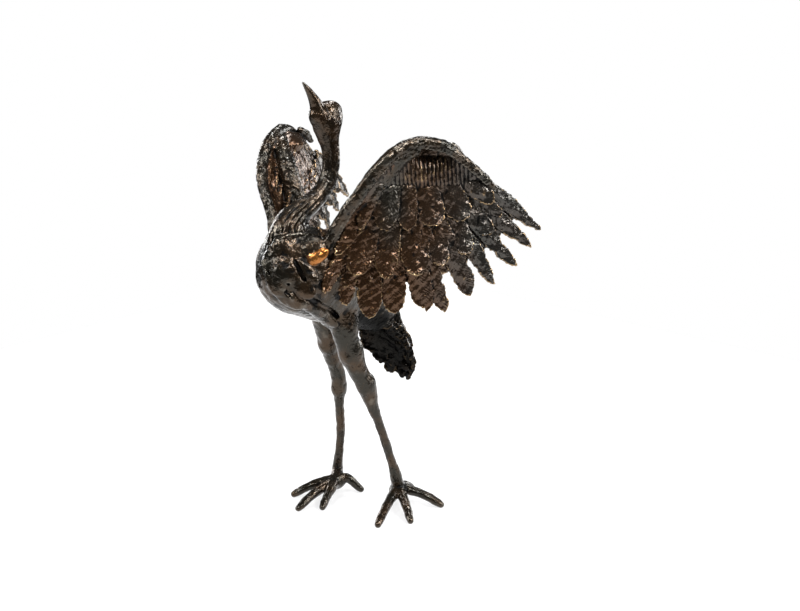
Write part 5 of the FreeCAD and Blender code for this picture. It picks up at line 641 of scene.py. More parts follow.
    ([47.57, -44.16, 218.4], [1.983033720649535, 1.5, 0.75], [0.659, 0.599, 0.455], [-0.752, 0.501, 0.429]),
    ([48.19, -45.85, 219.73], [1.8439127085863776, 1.5, 0.75], [0.659, 0.599, 0.455], [-0.565, -0.005, 0.825]),
    ([49.37, -47.28, 219.9], [1.765787472070607, 1.5, 0.75], [0.659, 0.599, 0.455], [-0.212, -0.433, 0.876]),
    ([50.97, -48.35, 219.0], [1.77043740718399, 1.5, 0.75], [0.659, 0.599, 0.455], [0.264, -0.75, 0.606]),
]
# lumps behind the wrist
ALULA = [
    ([56.19, -19.77, 216.6], [4.4799999999999995, 2.8800000000000003, 2.5600000000000005], [0.282, 0.848, -0.448], [0, 0, 1]),
    ([56.87, -17.18, 214.48], [3.6399999999999997, 2.3400000000000003, 2.08], [0.282, 0.848, -0.448], [0, 0, 1]),
    ([54.13, -24.86, 219.12], [3.6399999999999997, 2.3400000000000003, 2.08], [0.282, 0.848, -0.448], [0, 0, 1]),
    ([57.66, -14.69, 211.84], [2.8, 1.8, 1.6], [0.282, 0.848, -0.448], [0, 0, 1]),
]
# lumps modelled on the torso
BODY_LUMPS = [
    ([10.26, -102.38, 156.12], [8, 6.5, 3.0], [0.359, -0.036, -0.933], [0.498, -0.841, 0.209]),
    ([2.16, -102.21, 163.14], [6, 4.5, 2.4], [0.327, -0.07, -0.943], [0.107, -0.858, 0.502]),
    ([17.36, -96.07, 147.62], [8.5, 5.5, 3.4], [0.656, 0.328, -0.68], [0.825, -0.548, -0.139]),
    ([18.89, -94.32, 155.51], [9, 3.6, 2.4], [0.656, 0.328, -0.68], [0.868, -0.468, 0.166]),
    ([15.3, -89.25, 166.75], [9, 6.5, 3.0], [0.621, 0.697, 0.357], [0.735, -0.284, 0.616]),
    ([6.08, -99.54, 168.15], [6, 5, 2.4], [0.705, 0.412, -0.577], [0.279, -0.697, 0.66]),
    ([6.52, -104.9, 148.46], [7, 5, 2.2], [0.522, 0.146, -0.84], [0.317, -0.943, -0.098]),
    ([11.32, -99.84, 140.1], [8, 4.5, 2.2], [0.721, 0.443, -0.533], [0.547, -0.712, -0.441]),
    ([11.12, -72.44, 124.0], [8, 5, 2.5], [0.681, 0.369, -0.633], [0.501, -0.36, -0.787]),
]
# ridges
BODY_RIDGES = [
    [([5.39, -98.32, 172.46], 1.2), ([7.91, -95.58, 173.73], 1.3), ([9.93, -90.24, 173.68], 1.2), ([11.71, -83.9, 172.61], 1.1), ([13.61, -79.09, 171.0], 1.0)],
    [([13.95, -99.41, 141.94], 2.6), ([15.57, -93.77, 137.76], 3.2), ([14.25, -83.73, 130.88], 3.4), ([8.04, -68.65, 120.62], 3.2), ([0.54, -53.4, 110.36], 2.6)],
    [([-2.58, -105.09, 159.33], 1.3), ([1.91, -106.58, 152.18], 1.6), ([5.43, -105.1, 144.28], 1.6), ([8.39, -100.86, 137.89], 1.2)],
    [([16.18, -96.58, 160.89], 1.4), ([19.24, -93.79, 157.63], 1.7), ([21.34, -90.07, 153.46], 1.4)],
]
# grooves
BODY_GROOVES = [
    [([14.23, -98.33, 161.43], 0.9), ([16.55, -97.76, 157.38], 1.3), ([18.6, -96.24, 152.55], 1.5), ([20.14, -92.74, 147.76], 1.2)],
    [([16.6, -97.5, 143.69], 0.8), ([18.1, -92.45, 140.17], 1.4), ([18.09, -84.37, 135.13], 1.7), ([16.33, -73.64, 128.53], 1.8), ([10.45, -60.05, 119.77], 1.6)],
    [([9.77, -104.7, 147.19], 0.5), ([13.02, -101.4, 142.73], 0.7), ([15.36, -96.47, 138.84], 0.7), ([14.27, -86.74, 131.54], 0.7), ([7.16, -70.9, 120.95], 0.6)],
    [([5.77, -104.09, 160.54], 0.5), ([8.39, -102.17, 162.25], 0.7), ([12.3, -100.86, 160.49], 0.5)],
    [([1.77, -106.35, 154.84], 0.5), ([6.97, -105.6, 149.6], 0.6), ([11.91, -102.44, 145.48], 0.5)],
    [([4.68, -68.27, 192.73], 0.4), ([5.3, -76.5, 188.54], 0.7), ([6.08, -85.51, 184.56], 0.9), ([6.99, -93.06, 180.47], 0.9), ([7.13, -95.54, 174.96], 0.6)],
    [([2.21, -70.36, 193.81], 0.4), ([2.88, -79.34, 189.72], 0.6), ([3.32, -87.96, 186.19], 0.8), ([3.89, -95.17, 181.44], 0.8), ([4.12, -97.74, 175.42], 0.6)],
    [([4.99, -63.19, 195.36], 0.4), ([5.55, -67.67, 190.56], 0.6), ([6.02, -75.77, 186.34], 0.8), ([7.06, -84.29, 182.88], 1.0), ([8.32, -90.76, 178.14], 1.0), ([8.94, -92.94, 173.72], 0.7)],
    [([0.2, -97.65, 176.98], 0.5), ([-0.27, -99.53, 172.89], 0.7), ([0.76, -102.08, 168.05], 0.5)],
    [([13.02, -60.25, 121.49], 2.2), ([2.19, -45.29, 111.24], 3.0), ([0.5, -38.66, 105.16], 2.2)],
]
# pits
BODY_PITS = [
    ([8.28, -104.94, 151.89], [1.1, 1.1, 0.9900000000000001]),
    ([13.12, -102.33, 150.05], [1.3, 1.3, 1.1700000000000002]),
    ([12.78, -102.24, 154.33], [0.9, 0.9, 0.81]),
    ([5.25, -105.16, 157.39], [0.7, 0.7, 0.63]),
    ([8.14, -103.37, 142.23], [0.8, 0.8, 0.7200000000000001]),
    ([12.5, -96.74, 136.69], [0.7, 0.7, 0.63]),
    ([3.81, -106.26, 150.26], [0.6, 0.6, 0.54]),
    ([13.42, -100.93, 157.44], [0.7, 0.7, 0.63]),
]
# shoulder ends of the wings
TABS = [
    ([20.06, -88.95, 162.57], [8.0, 3.3, 2.7], [0.514, 0.735, 0.442], [0.619, -0.759, 0.2]),
    ([-15.66, -87.6, 162.09], [7, 2.6, 2.0], [-0.514, 0.735, 0.442], [-0.619, -0.759, 0.2]),
]
# feathers on the back
BODY_F = [
    ([9.09, -73.94, 172.59], [10.95, -56.5, 165.09], [0.4463, 0.3038, 0.8417], 11, {'thick': 1.8, 'camber': 1.0, 'lift': 0.8, 'tipfrac': 0.45, 'ext': 1, 'rach': 0.25, 'barb': 0.11, 'pitch': 2.1, 'rootw': 0.8, 'seed': 150, 'k': 0.6}),
    ([15.14, -65.92, 164.84], [17.21, -47.54, 153.54], [0.7136, 0.4004, 0.5749], 11, {'thick': 1.8, 'camber': 1.0, 'lift': 0.8, 'tipfrac': 0.45, 'ext': 1, 'rach': 0.25, 'barb': 0.11, 'pitch': 2.1, 'rootw': 0.8, 'seed': 151, 'k': 0.6}),
    ([5.05, -59.89, 167.88], [6.77, -42.26, 157.72], [0.2705, 0.5415, 0.796], 12, {'thick': 1.8, 'camber': 1.0, 'lift': 0.8, 'tipfrac': 0.45, 'ext': 1, 'rach': 0.25, 'barb': 0.11, 'pitch': 2.1, 'rootw': 0.8, 'seed': 152, 'k': 0.6}),
    ([12.12, -51.9, 160.98], [14.11, -37.85, 147.14], [0.6099, 0.4979, 0.6165], 12, {'thick': 1.8, 'camber': 1.0, 'lift': 0.8, 'tipfrac': 0.45, 'ext': 1, 'rach': 0.25, 'barb': 0.11, 'pitch': 2.1, 'rootw': 0.8, 'seed': 153, 'k': 0.6}),
    ([4.05, -45.87, 160.63], [5.74, -31.11, 147.03], [0.236, 0.6384, 0.7326], 11, {'thick': 1.8, 'camber': 1.0, 'lift': 0.8, 'tipfrac': 0.45, 'ext': 1, 'rach': 0.25, 'barb': 0.11, 'pitch': 2.1, 'rootw': 0.8, 'seed': 154, 'k': 0.6}),
    ([9.11, -35.87, 148.63], [11.03, -22.99, 134.71], [0.527, 0.6575, 0.5385], 10, {'thick': 1.8, 'camber': 1.0, 'lift': 0.8, 'tipfrac': 0.45, 'ext': 1, 'rach': 0.25, 'barb': 0.11, 'pitch': 2.1, 'rootw': 0.8, 'seed': 156, 'k': 0.6}),
    ([3.04, -29.85, 145.45], [4.72, -18.21, 133.4], [0.2162, 0.7407, 0.6361], 9, {'thick': 1.8, 'camber': 1.0, 'lift': 0.8, 'tipfrac': 0.45, 'ext': 1, 'rach': 0.25, 'barb': 0.11, 'pitch': 2.1, 'rootw': 0.8, 'seed': 157, 'k': 0.6}),
    ([1.02, -39.86, 155.7], [2.59, -24.69, 141.78], [0.0925, 0.694, 0.714], 10, {'thick': 1.8, 'camber': 1.0, 'lift': 0.8, 'tipfrac': 0.45, 'ext': 1, 'rach': 0.25, 'barb': 0.11, 'pitch': 2.1, 'rootw': 0.8, 'seed': 159, 'k': 0.6}),
    ([6.08, -25.86, 140.71], [7.92, -15.53, 126.49], [0.4235, 0.7181, 0.5522], 9, {'thick': 1.8, 'camber': 1.0, 'lift': 0.8, 'tipfrac': 0.45, 'ext': 1, 'rach': 0.25, 'barb': 0.11, 'pitch': 2.1, 'rootw': 0.8, 'seed': 160, 'k': 0.6}),
    ([1.02, -21.83, 137.74], [2.62, -12.07, 124.23], [0.1212, 0.8322, 0.5411], 8, {'thick': 1.8, 'camber': 1.0, 'lift': 0.8, 'tipfrac': 0.45, 'ext': 1, 'rach': 0.25, 'barb': 0.11, 'pitch': 2.1, 'rootw': 0.8, 'seed': 161, 'k': 0.6}),
    ([-9.09, -73.94, 172.59], [-10.95, -56.5, 165.09], [-0.4463, 0.3038, 0.8417], 11, {'thick': 1.8, 'camber': 1.0, 'lift': 0.8, 'tipfrac': 0.45, 'ext': 1, 'rach': 0.25, 'barb': 0.11, 'pitch': 2.1, 'rootw': 0.8, 'seed': 150, 'k': 0.6}),
    ([-15.14, -65.92, 164.84], [-17.21, -47.54, 153.54], [-0.7136, 0.4004, 0.5749], 11, {'thick': 1.8, 'camber': 1.0, 'lift': 0.8, 'tipfrac': 0.45, 'ext': 1, 'rach': 0.25, 'barb': 0.11, 'pitch': 2.1, 'rootw': 0.8, 'seed': 151, 'k': 0.6}),
    ([-5.05, -59.89, 167.88], [-6.77, -42.26, 157.72], [-0.2705, 0.5415, 0.796], 12, {'thick': 1.8, 'camber': 1.0, 'lift': 0.8, 'tipfrac': 0.45, 'ext': 1, 'rach': 0.25, 'barb': 0.11, 'pitch': 2.1, 'rootw': 0.8, 'seed': 152, 'k': 0.6}),
    ([-12.12, -51.9, 160.98], [-14.11, -37.85, 147.14], [-0.6099, 0.4979, 0.6165], 12, {'thick': 1.8, 'camber': 1.0, 'lift': 0.8, 'tipfrac': 0.45, 'ext': 1, 'rach': 0.25, 'barb': 0.11, 'pitch': 2.1, 'rootw': 0.8, 'seed': 153, 'k': 0.6}),
    ([-4.05, -45.87, 160.63], [-5.74, -31.11, 147.03], [-0.236, 0.6384, 0.7326], 11, {'thick': 1.8, 'camber': 1.0, 'lift': 0.8, 'tipfrac': 0.45, 'ext': 1, 'rach': 0.25, 'barb': 0.11, 'pitch': 2.1, 'rootw': 0.8, 'seed': 154, 'k': 0.6}),
    ([-9.11, -35.87, 148.63], [-11.03, -22.99, 134.71], [-0.527, 0.6575, 0.5385], 10, {'thick': 1.8, 'camber': 1.0, 'lift': 0.8, 'tipfrac': 0.45, 'ext': 1, 'rach': 0.25, 'barb': 0.11, 'pitch': 2.1, 'rootw': 0.8, 'seed': 156, 'k': 0.6}),
    ([-3.04, -29.85, 145.45], [-4.72, -18.21, 133.4], [-0.2162, 0.7407, 0.6361], 9, {'thick': 1.8, 'camber': 1.0, 'lift': 0.8, 'tipfrac': 0.45, 'ext': 1, 'rach': 0.25, 'barb': 0.11, 'pitch': 2.1, 'rootw': 0.8, 'seed': 157, 'k': 0.6}),
    ([-1.02, -39.86, 155.7], [-2.59, -24.69, 141.78], [-0.0925, 0.694, 0.714], 10, {'thick': 1.8, 'camber': 1.0, 'lift': 0.8, 'tipfrac': 0.45, 'ext': 1, 'rach': 0.25, 'barb': 0.11, 'pitch': 2.1, 'rootw': 0.8, 'seed': 159, 'k': 0.6}),
    ([-6.08, -25.86, 140.71], [-7.92, -15.53, 126.49], [-0.4235, 0.7181, 0.5522], 9, {'thick': 1.8, 'camber': 1.0, 'lift': 0.8, 'tipfrac': 0.45, 'ext': 1, 'rach': 0.25, 'barb': 0.11, 'pitch': 2.1, 'rootw': 0.8, 'seed': 160, 'k': 0.6}),
    ([-1.02, -21.83, 137.74], [-2.62, -12.07, 124.23], [-0.1212, 0.8322, 0.5411], 8, {'thick': 1.8, 'camber': 1.0, 'lift': 0.8, 'tipfrac': 0.45, 'ext': 1, 'rach': 0.25, 'barb': 0.11, 'pitch': 2.1, 'rootw': 0.8, 'seed': 161, 'k': 0.6}),
]
# tail feathers
TAIL_F = [
    ([-6.6, -21.4, 109.6], [-10.5, -13.5, 87.2], [-0.9227, 0.2998, 0.2425], 11.5, {'thick': 3.2, 'camber': 0.6, 'lift': -1.5, 'sag': 3.0, 'tipfrac': 0.3, 'ext': 4, 'rach': 0.3, 'barb': 0.1, 'pitch': 2.1, 'rootw': 0.85, 'wave': 0.6, 'rag': 0.5, 'roll': 0.6, 'seed': 197, 'k': 1.6}),
    ([-4.4, -21.1, 110.4], [-8.0, -7.5, 78.6], [-0.721, 0.6492, 0.2425], 11.5, {'thick': 3.2, 'camber': 0.6, 'lift': -1.5, 'sag': 3.0, 'tipfrac': 0.3, 'ext': 4, 'rach': 0.3, 'barb': 0.1, 'pitch': 2.1, 'rootw': 0.85, 'wave': 0.6, 'rag': 0.5, 'roll': 0.6, 'seed': 198, 'k': 1.6}),
    ([-2.2, -20.8, 111.2], [-4.0, -1.6, 71.6], [-0.3946, 0.8863, 0.2425], 11.5, {'thick': 3.2, 'camber': 0.6, 'lift': -1.5, 'sag': 3.0, 'tipfrac': 0.3, 'ext': 4, 'rach': 0.3, 'barb': 0.1, 'pitch': 2.1, 'rootw': 0.85, 'wave': 0.6, 'rag': 0.5, 'roll': 0.6, 'seed': 199, 'k': 1.6}),
    ([0.0, -20.5, 112.0], [0.5, 2.4, 69.2], [0.0, 0.9701, 0.2425], 11.5, {'thick': 3.2, 'camber': 0.6, 'lift': -1.5, 'sag': 3.0, 'tipfrac': 0.3, 'ext': 4, 'rach': 0.3, 'barb': 0.1, 'pitch': 2.1, 'rootw': 0.85, 'wave': 0.6, 'rag': 0.5, 'roll': 0.6, 'seed': 200, 'k': 1.6}),
    ([2.2, -20.8, 111.2], [5.0, 3.6, 68.0], [0.1518, 0.9582, 0.2425], 11.5, {'thick': 3.2, 'camber': 0.6, 'lift': -1.5, 'sag': 3.0, 'tipfrac': 0.3, 'ext': 4, 'rach': 0.3, 'barb': 0.1, 'pitch': 2.1, 'rootw': 0.85, 'wave': 0.6, 'rag': 0.5, 'roll': 0.6, 'seed': 201, 'k': 1.6}),
    ([4.4, -21.1, 110.4], [9.0, 3.0, 73.5], [0.2998, 0.9227, 0.2425], 11.5, {'thick': 3.2, 'camber': 0.6, 'lift': -1.5, 'sag': 3.0, 'tipfrac': 0.3, 'ext': 4, 'rach': 0.3, 'barb': 0.1, 'pitch': 2.1, 'rootw': 0.85, 'wave': 0.6, 'rag': 0.5, 'roll': 0.6, 'seed': 202, 'k': 1.6}),
    ([6.6, -21.4, 109.6], [11.3, 1.0, 80.0], [0.4404, 0.8644, 0.2425], 11.5, {'thick': 3.2, 'camber': 0.6, 'lift': -1.5, 'sag': 3.0, 'tipfrac': 0.3, 'ext': 4, 'rach': 0.3, 'barb': 0.1, 'pitch': 2.1, 'rootw': 0.85, 'wave': 0.6, 'rag': 0.5, 'roll': 0.6, 'seed': 203, 'k': 1.6}),
    ([-5.2, -23.0, 114.0], [-8.8, -1.91, 89.4], [-0.7438, 0.5811, 0.3304], 12.0, {'thick': 2.6, 'camber': 1.2, 'lift': -0.5, 'sag': 3.2, 'tipfrac': 0.45, 'ext': 4, 'rach': 0.4, 'barb': 0.11, 'pitch': 2.1, 'rootw': 0.8, 'wave': 0.4, 'rag': 0.4, 'roll': 0.5, 'seed': 218, 'k': 1.0}),
    ([-2.6, -23.0, 115.0], [-4.4, 2.04, 88.2], [-0.4138, 0.8483, 0.3304], 12.0, {'thick': 2.6, 'camber': 1.2, 'lift': -0.5, 'sag': 3.2, 'tipfrac': 0.45, 'ext': 4, 'rach': 0.4, 'barb': 0.11, 'pitch': 2.1, 'rootw': 0.8, 'wave': 0.4, 'rag': 0.4, 'roll': 0.5, 'seed': 219, 'k': 1.0}),
    ([0.0, -23.0, 116.0], [0.0, 4.2, 87.0], [0.0, 0.9439, 0.3304], 12.0, {'thick': 2.6, 'camber': 1.2, 'lift': -0.5, 'sag': 3.2, 'tipfrac': 0.45, 'ext': 4, 'rach': 0.4, 'barb': 0.11, 'pitch': 2.1, 'rootw': 0.8, 'wave': 0.4, 'rag': 0.4, 'roll': 0.5, 'seed': 220, 'k': 1.0}),
    ([2.6, -23.0, 115.0], [4.4, 3.0, 88.2], [0.1314, 0.9347, 0.3304], 12.0, {'thick': 2.6, 'camber': 1.2, 'lift': -0.5, 'sag': 3.2, 'tipfrac': 0.45, 'ext': 4, 'rach': 0.4, 'barb': 0.11, 'pitch': 2.1, 'rootw': 0.8, 'wave': 0.4, 'rag': 0.4, 'roll': 0.5, 'seed': 221, 'k': 1.0}),
    ([5.2, -23.0, 114.0], [8.8, 0.81, 89.4], [0.2602, 0.9073, 0.3304], 12.0, {'thick': 2.6, 'camber': 1.2, 'lift': -0.5, 'sag': 3.2, 'tipfrac': 0.45, 'ext': 4, 'rach': 0.4, 'barb': 0.11, 'pitch': 2.1, 'rootw': 0.8, 'wave': 0.4, 'rag': 0.4, 'roll': 0.5, 'seed': 222, 'k': 1.0}),
]
# lumps on the tail
TAIL_LUMPS = [
    ([8.0, -11.76, 107.51], [5.25, 3.9899999999999998, 3.3600000000000003], [0.1, 0.3, -1], [0.5, 0.8, 0]),
    ([9.0, -9.34, 102.22], [5.0, 3.8, 3.2], [0.1, 0.3, -1], [0.5, 0.8, 0]),
    ([9.5, -7.22, 96.87], [4.25, 3.23, 2.72], [0.1, 0.3, -1], [0.5, 0.8, 0]),
    ([10.0, -5.54, 91.58], [4.25, 3.23, 2.72], [0.1, 0.3, -1], [0.5, 0.8, 0]),
    ([9.5, -3.61, 85.98], [3.75, 2.8499999999999996, 2.4000000000000004], [0.1, 0.3, -1], [0.5, 0.8, 0]),
    ([9.0, -0.77, 80.75], [3.0, 2.28, 1.92], [0.1, 0.3, -1], [0.5, 0.8, 0]),
    ([8.0, -4.61, 78.32], [3.75, 2.8499999999999996, 2.4000000000000004], [0.1, 0.3, -1], [0.5, 0.8, 0]),
    ([5.0, -3.96, 72.37], [3.0, 2.28, 1.92], [0.1, 0.3, -1], [0.5, 0.8, 0]),
    ([7.0, -12.41, 111.14], [5.75, 4.369999999999999, 3.6799999999999997], [0.1, 0.3, -1], [0.5, 0.8, 0]),
    ([7.0, -15.93, 103.32], [3.75, 2.8499999999999996, 2.4000000000000004], [0.1, 0.3, -1], [0.5, 0.8, 0]),
    ([8.0, -10.0, 92.84], [3.25, 2.4699999999999998, 2.08], [0.1, 0.3, -1], [0.5, 0.8, 0]),
]

# ------------------------------------------------------------------ the volume
H = 0.5
LO = np.array([-80.0, -109.0, -2.5])
HI = np.array([80.0, 39.0, 254.5])
N = np.ceil((HI - LO) / H).astype(int) + 1
D = np.full(tuple(N), 6.0, np.float32)
ID = np.zeros(tuple(N), np.int16)
UV = {}


def unit(v):
    v = np.asarray(v, float)
    return v / np.linalg.norm(v)


def block(lo, hi):
    i0 = np.maximum(np.floor((np.asarray(lo) - LO) / H).astype(int), 0)
    i1 = np.minimum(np.ceil((np.asarray(hi) - LO) / H).astype(int) + 1, N)
    sl = tuple(slice(int(a), int(b)) for a, b in zip(i0, i1))
    ax = [(LO[i] + H * np.arange(i0[i], i1[i])).astype(np.float32) for i in range(3)]
    return sl, ax[0][:, None, None], ax[1][None, :, None], ax[2][None, None, :]


def add(sl, d, fid, k=0.0):
    R = D[sl]
    if R.size == 0:
        return
    if fid is not None:
        I = ID[sl]
        I[d < R] = fid
    if k > 0:
        h = np.clip(0.5 + 0.5 * (R - d) / k, 0, 1)
        D[sl] = R + (d - R) * h - k * h * (1 - h)
    else:
        D[sl] = np.minimum(R, d)


def carve(sl, d, k=0.0):
    R = D[sl]
    if R.size == 0:
        return
    if k > 0:
        h = np.clip(0.5 - 0.5 * (R + d) / k, 0, 1)
        D[sl] = R + (-d - R) * h + k * h * (1 - h)
    else:
        D[sl] = np.maximum(R, -d)


def spline(pts, rad, step):
    """Catmull-Rom through the points, with the radii carried along."""
    q = np.array([list(p) + [r] for p, r in zip(pts, rad)], float)
    if len(q) < 3:
        n = max(2, int(np.linalg.norm(q[-1, :3] - q[0, :3]) / step) + 1)
        t = np.linspace(0, 1, n)[:, None]
        return q[0] * (1 - t) + q[-1] * t
    e = np.vstack([2 * q[0] - q[1], q, 2 * q[-1] - q[-2]])
    out = []
    for i in range(1, len(e) - 2):
        p0, p1, p2, p3 = e[i - 1], e[i], e[i + 1], e[i + 2]
        n = max(1, int(round(np.linalg.norm(p2[:3] - p1[:3]) / step)))
        for t in np.arange(n) / n:
            out.append(0.5 * ((2 * p1) + (-p0 + p2) * t + (2 * p0 - 5 * p1 + 4 * p2 - p3) * t * t + (-p0 + 3 * p1 - 3 * p2 + p3) * t ** 3))
    out.append(q[-1])
    return np.array(out)


def chain_field(pts, rad, step, margin, squash=None):
    q = spline(pts, rad, step)
    lo = (q[:, :3] - q[:, 3:4]).min(0) - margin
    hi = (q[:, :3] + q[:, 3:4]).max(0) + margin
    sl, X, Y, Z = block(lo, hi)
    o = np.array([s.start for s in sl])
    shape = tuple(s.stop - s.start for s in sl)
    d = np.full(shape, 6.0, np.float32)
    for a, b in zip(q[:-1], q[1:]):
        r = max(a[3], b[3]) + margin
        l2 = np.minimum(a[:3], b[:3]) - r
        h2 = np.maximum(a[:3], b[:3]) + r
        s2, x, y, z = block(l2, h2)
        loc = tuple(slice(max(s.start - int(oo), 0), min(s.stop - int(oo), n)) for s, oo, n in zip(s2, o, shape))
        if any(s.stop <= s.start for s in loc):
            continue
        x = x[max(0, o[0] - s2[0].start):][:loc[0].stop - loc[0].start]
        y = y[:, max(0, o[1] - s2[1].start):][:, :loc[1].stop - loc[1].start]
        z = z[:, :, max(0, o[2] - s2[2].start):][:, :, :loc[2].stop - loc[2].start]
        v = b[:3] - a[:3]
        L2 = float(v @ v) + 1e-9
        px, py, pz = x - np.float32(a[0]), y - np.float32(a[1]), z - np.float32(a[2])
        t = np.clip((px * np.float32(v[0]) + py * np.float32(v[1]) + pz * np.float32(v[2])) / np.float32(L2), 0, 1)
        dx, dy, dz = px - t * np.float32(v[0]), py - t * np.float32(v[1]), pz - t * np.float32(v[2])
        dd = np.sqrt(dx * dx + dy * dy + dz * dz) - (np.float32(a[3]) + t * np.float32(b[3] - a[3]))
        d[loc] = np.minimum(d[loc], dd)
    return sl, d


def chain(pts, rad, fid, k=0.0, step=1.6):
    sl, d = chain_field(pts, rad, step, k + 1.6)
    add(sl, d, fid, k)


def groove(pts, rad, k=0.5, step=1.2):
    sl, d = chain_field(pts, rad, step, k + 1.2)
    carve(sl, d, k)


def ell_field(c, r, axes, margin):
    """Ellipsoid with centre c, semi-axes r along the rows of axes."""
    A = np.asarray(axes, float)
    ext = np.sqrt(((A * np.asarray(r)[:, None]) ** 2).sum(0)) + margin
    sl, X, Y, Z = block(np.asarray(c) - ext, np.asarray(c) + ext)
    x, y, z = X - np.float32(c[0]), Y - np.float32(c[1]), Z - np.float32(c[2])
    k0 = 0
    k1 = 0
    for i in range(3):
        q = (x * np.float32(A[i, 0]) + y * np.float32(A[i, 1]) + z * np.float32(A[i, 2])) / np.float32(r[i])
        k0 = k0 + q * q
        k1 = k1 + (q / np.float32(r[i])) ** 2
    k0 = np.sqrt(k0)
    return sl, (k0 * (k0 - 1) / np.sqrt(k1 + 1e-9)).astype(np.float32)


def frame_of(a, n):
    """Rows: a, b, n with a the long direction and n as near as possible to the one given."""
    a = unit(a)
    n = np.asarray(n, float)
    n = unit(n - a * (n @ a))
    return np.array([a, np.cross(n, a), n])


EYE3 = np.eye(3)


def ellipsoid(c, r, fid, k=0.0, axes=EYE3):
    sl, d = ell_field(c, r, axes, k + 1.2)
    add(sl, d, fid, k)


def dent(c, r, k=0.4, axes=EYE3):
    sl, d = ell_field(c, r, axes, k + 1.0)
    carve(sl, d, k)


next_id = [20]


def feather(root, tip, nrm, width, thick=1.5, camber=1.0, lift=1.2, sag=0.0, tipfrac=0.38, ext=3.5, k=0.3, bend=0.0,
            rach=0.35, barb=0.12, pitch=2.0, rootw=0.72, point=1.0, notch=(), edge=0.22, wave=0.0, droop=0.0, seed=0, split=0.0, rag=0.32, roll=0.28):
    """One feather: a thin cambered plate with a shaft, barbs, a worn lip round its edge and a rounded or pointed end."""
    R = np.asarray(root, float)
    T = np.asarray(tip, float)
    L = float(np.linalg.norm(T - R))
    A = frame_of(T - R, nrm)
    W = width / 2.0
    fid = next_id[0]
    next_id[0] += 1
    UV[fid] = (R, A, L, W, seed)
    up = max(lift, 0) + thick + 1.6 + max(sag, 0)
    dn = camber + thick + 1.6 + max(-lift, 0) + max(-sag, 0) + abs(droop)
    cor = np.array([R + A[0] * s + A[1] * w + A[2] * h for s in (-ext - 1.2, L + 1.5) for w in (-W - 1.4 - abs(bend), W + 1.4 + abs(bend)) for h in (-dn, up)])
    sl, X, Y, Z = block(cor.min(0), cor.max(0))
    x, y, z = X - np.float32(R[0]), Y - np.float32(R[1]), Z - np.float32(R[2])
    f32 = np.float32
    s = x * f32(A[0, 0]) + y * f32(A[0, 1]) + z * f32(A[0, 2])
    w = x * f32(A[1, 0]) + y * f32(A[1, 1]) + z * f32(A[1, 2])
    h = x * f32(A[2, 0]) + y * f32(A[2, 1]) + z * f32(A[2, 2])
    t = np.clip(s / f32(L), -0.2, 1.1)
    w = w - f32(bend) * t * t
    w0 = w
    if wave:
        w = w + f32(wave) * np.sin(t * f32(9 + seed % 5) + f32(seed))
    s0 = L * (1 - tipfrac)
    cut = np.random.default_rng(900 + seed)
    notch = list(notch)
    for _ in range(3 if rag else 0):
        notch.append((cut.uniform(0.62, 0.99), cut.choice((-1, 1)), cut.uniform(0.25, 0.95), cut.uniform(0.018, 0.045)))
    ph1, ph2, ph3 = cut.uniform(0, 6.28, 3)
    torn = f32(rag) * (np.sin(s * f32(1.35) + f32(ph1)) * np.sin(w * f32(1.9) + f32(ph2)) + f32(0.6) * np.sin(s * f32(2.9) + w * f32(1.3) + f32(ph3)))
    grow = np.clip(t / 0.55, 0, 1)
    hw = f32(W) * (f32(rootw) + f32(1 - rootw) * grow * (2 - grow))
    e1 = np.maximum(np.abs(w) - hw, -s - f32(ext))
    for (tn, sn, dn_, wn) in notch:
        e1 = e1 + f32(dn_) * np.exp(-((t - f32(tn)) / f32(wn)) ** 2) * (np.sign(w) == sn)
    tl = L - s0
    sx = np.maximum(s - f32(s0), 0) / f32(tl)
    wy = np.abs(w) / f32(W)
    if point != 1.0:
        wy = wy + f32(point - 1.0) * sx * wy
    k0 = np.sqrt(sx * sx + wy * wy)
    k1 = np.sqrt((sx / f32(tl)) ** 2 + (wy / f32(W)) ** 2) + 1e-6
    e2 = k0 * (k0 - 1) / k1
    for (tn, sn, dn_, wn) in notch:
        e2 = e2 + f32(dn_) * np.exp(-((t - f32(tn)) / f32(wn)) ** 2) * (np.sign(w) == sn)
    e = np.where(s > s0, e2, e1) + torn
    if split:
        e = np.maximum(e, f32(0.28 + split) - np.abs(w - f32(0.15 * W)) - np.clip(f32(L * 0.92) - s, 0, 9) * f32(0.35) * 1.0)
    mid = -f32(camber) * (w / f32(W)) ** 2 + f32(lift) * np.clip(t, 0, 1.1) ** 3 + f32(sag) * np.sin(np.pi * np.clip(t, 0, 1)) - f32(droop) * np.clip(t, 0, 1.1) ** 2
    if roll:
        mid = mid + f32(roll) * np.sin(s * f32(0.62) + f32(ph2)) * np.sin(w * f32(0.75) + f32(ph3)) + f32(0.4 * roll) * np.sin(s * f32(1.5) + w * f32(0.9) + f32(ph1))
    th = f32(thick / 2) * (1.0 - 0.25 * np.clip(t, 0, 1))
    inside = np.clip(-e, 0, 3)
    th = th + f32(rach) * np.exp(-(w0 / f32(0.6)) ** 2) * (1.0 - 0.75 * np.clip(t, 0, 1))
    th = th + f32(edge) * np.exp(-((inside - 0.45) / 0.45) ** 2)
    if barb:
        ph = (s - np.abs(w)) / f32(pitch)
        th = th + f32(barb) * (np.abs(ph - np.floor(ph) - 0.5) * 4 - 1) * np.clip(inside / 0.8, 0, 1) * np.clip(np.abs(w0) / 0.7, 0, 1)
    f = np.abs(h - mid) - th
    r = f32(0.3)
    ff = f + r
    ee = e + r
    d = np.sqrt(np.maximum(ff, 0) ** 2 + np.maximum(ee, 0) ** 2) + np.minimum(np.maximum(ff, ee), 0) - r
    add(sl, d.astype(np.float32), fid, k)
    return fid


# region numbers kept with the surface
TORSO_ID, NECK_ID, HEAD_ID, BEAK_ID, LEG_ID, TOE_ID, RIM_ID, ARM_ID, WEB_ID, TAIL_ID, TAB_ID = range(1, 12)
rng = np.random.default_rng(7)

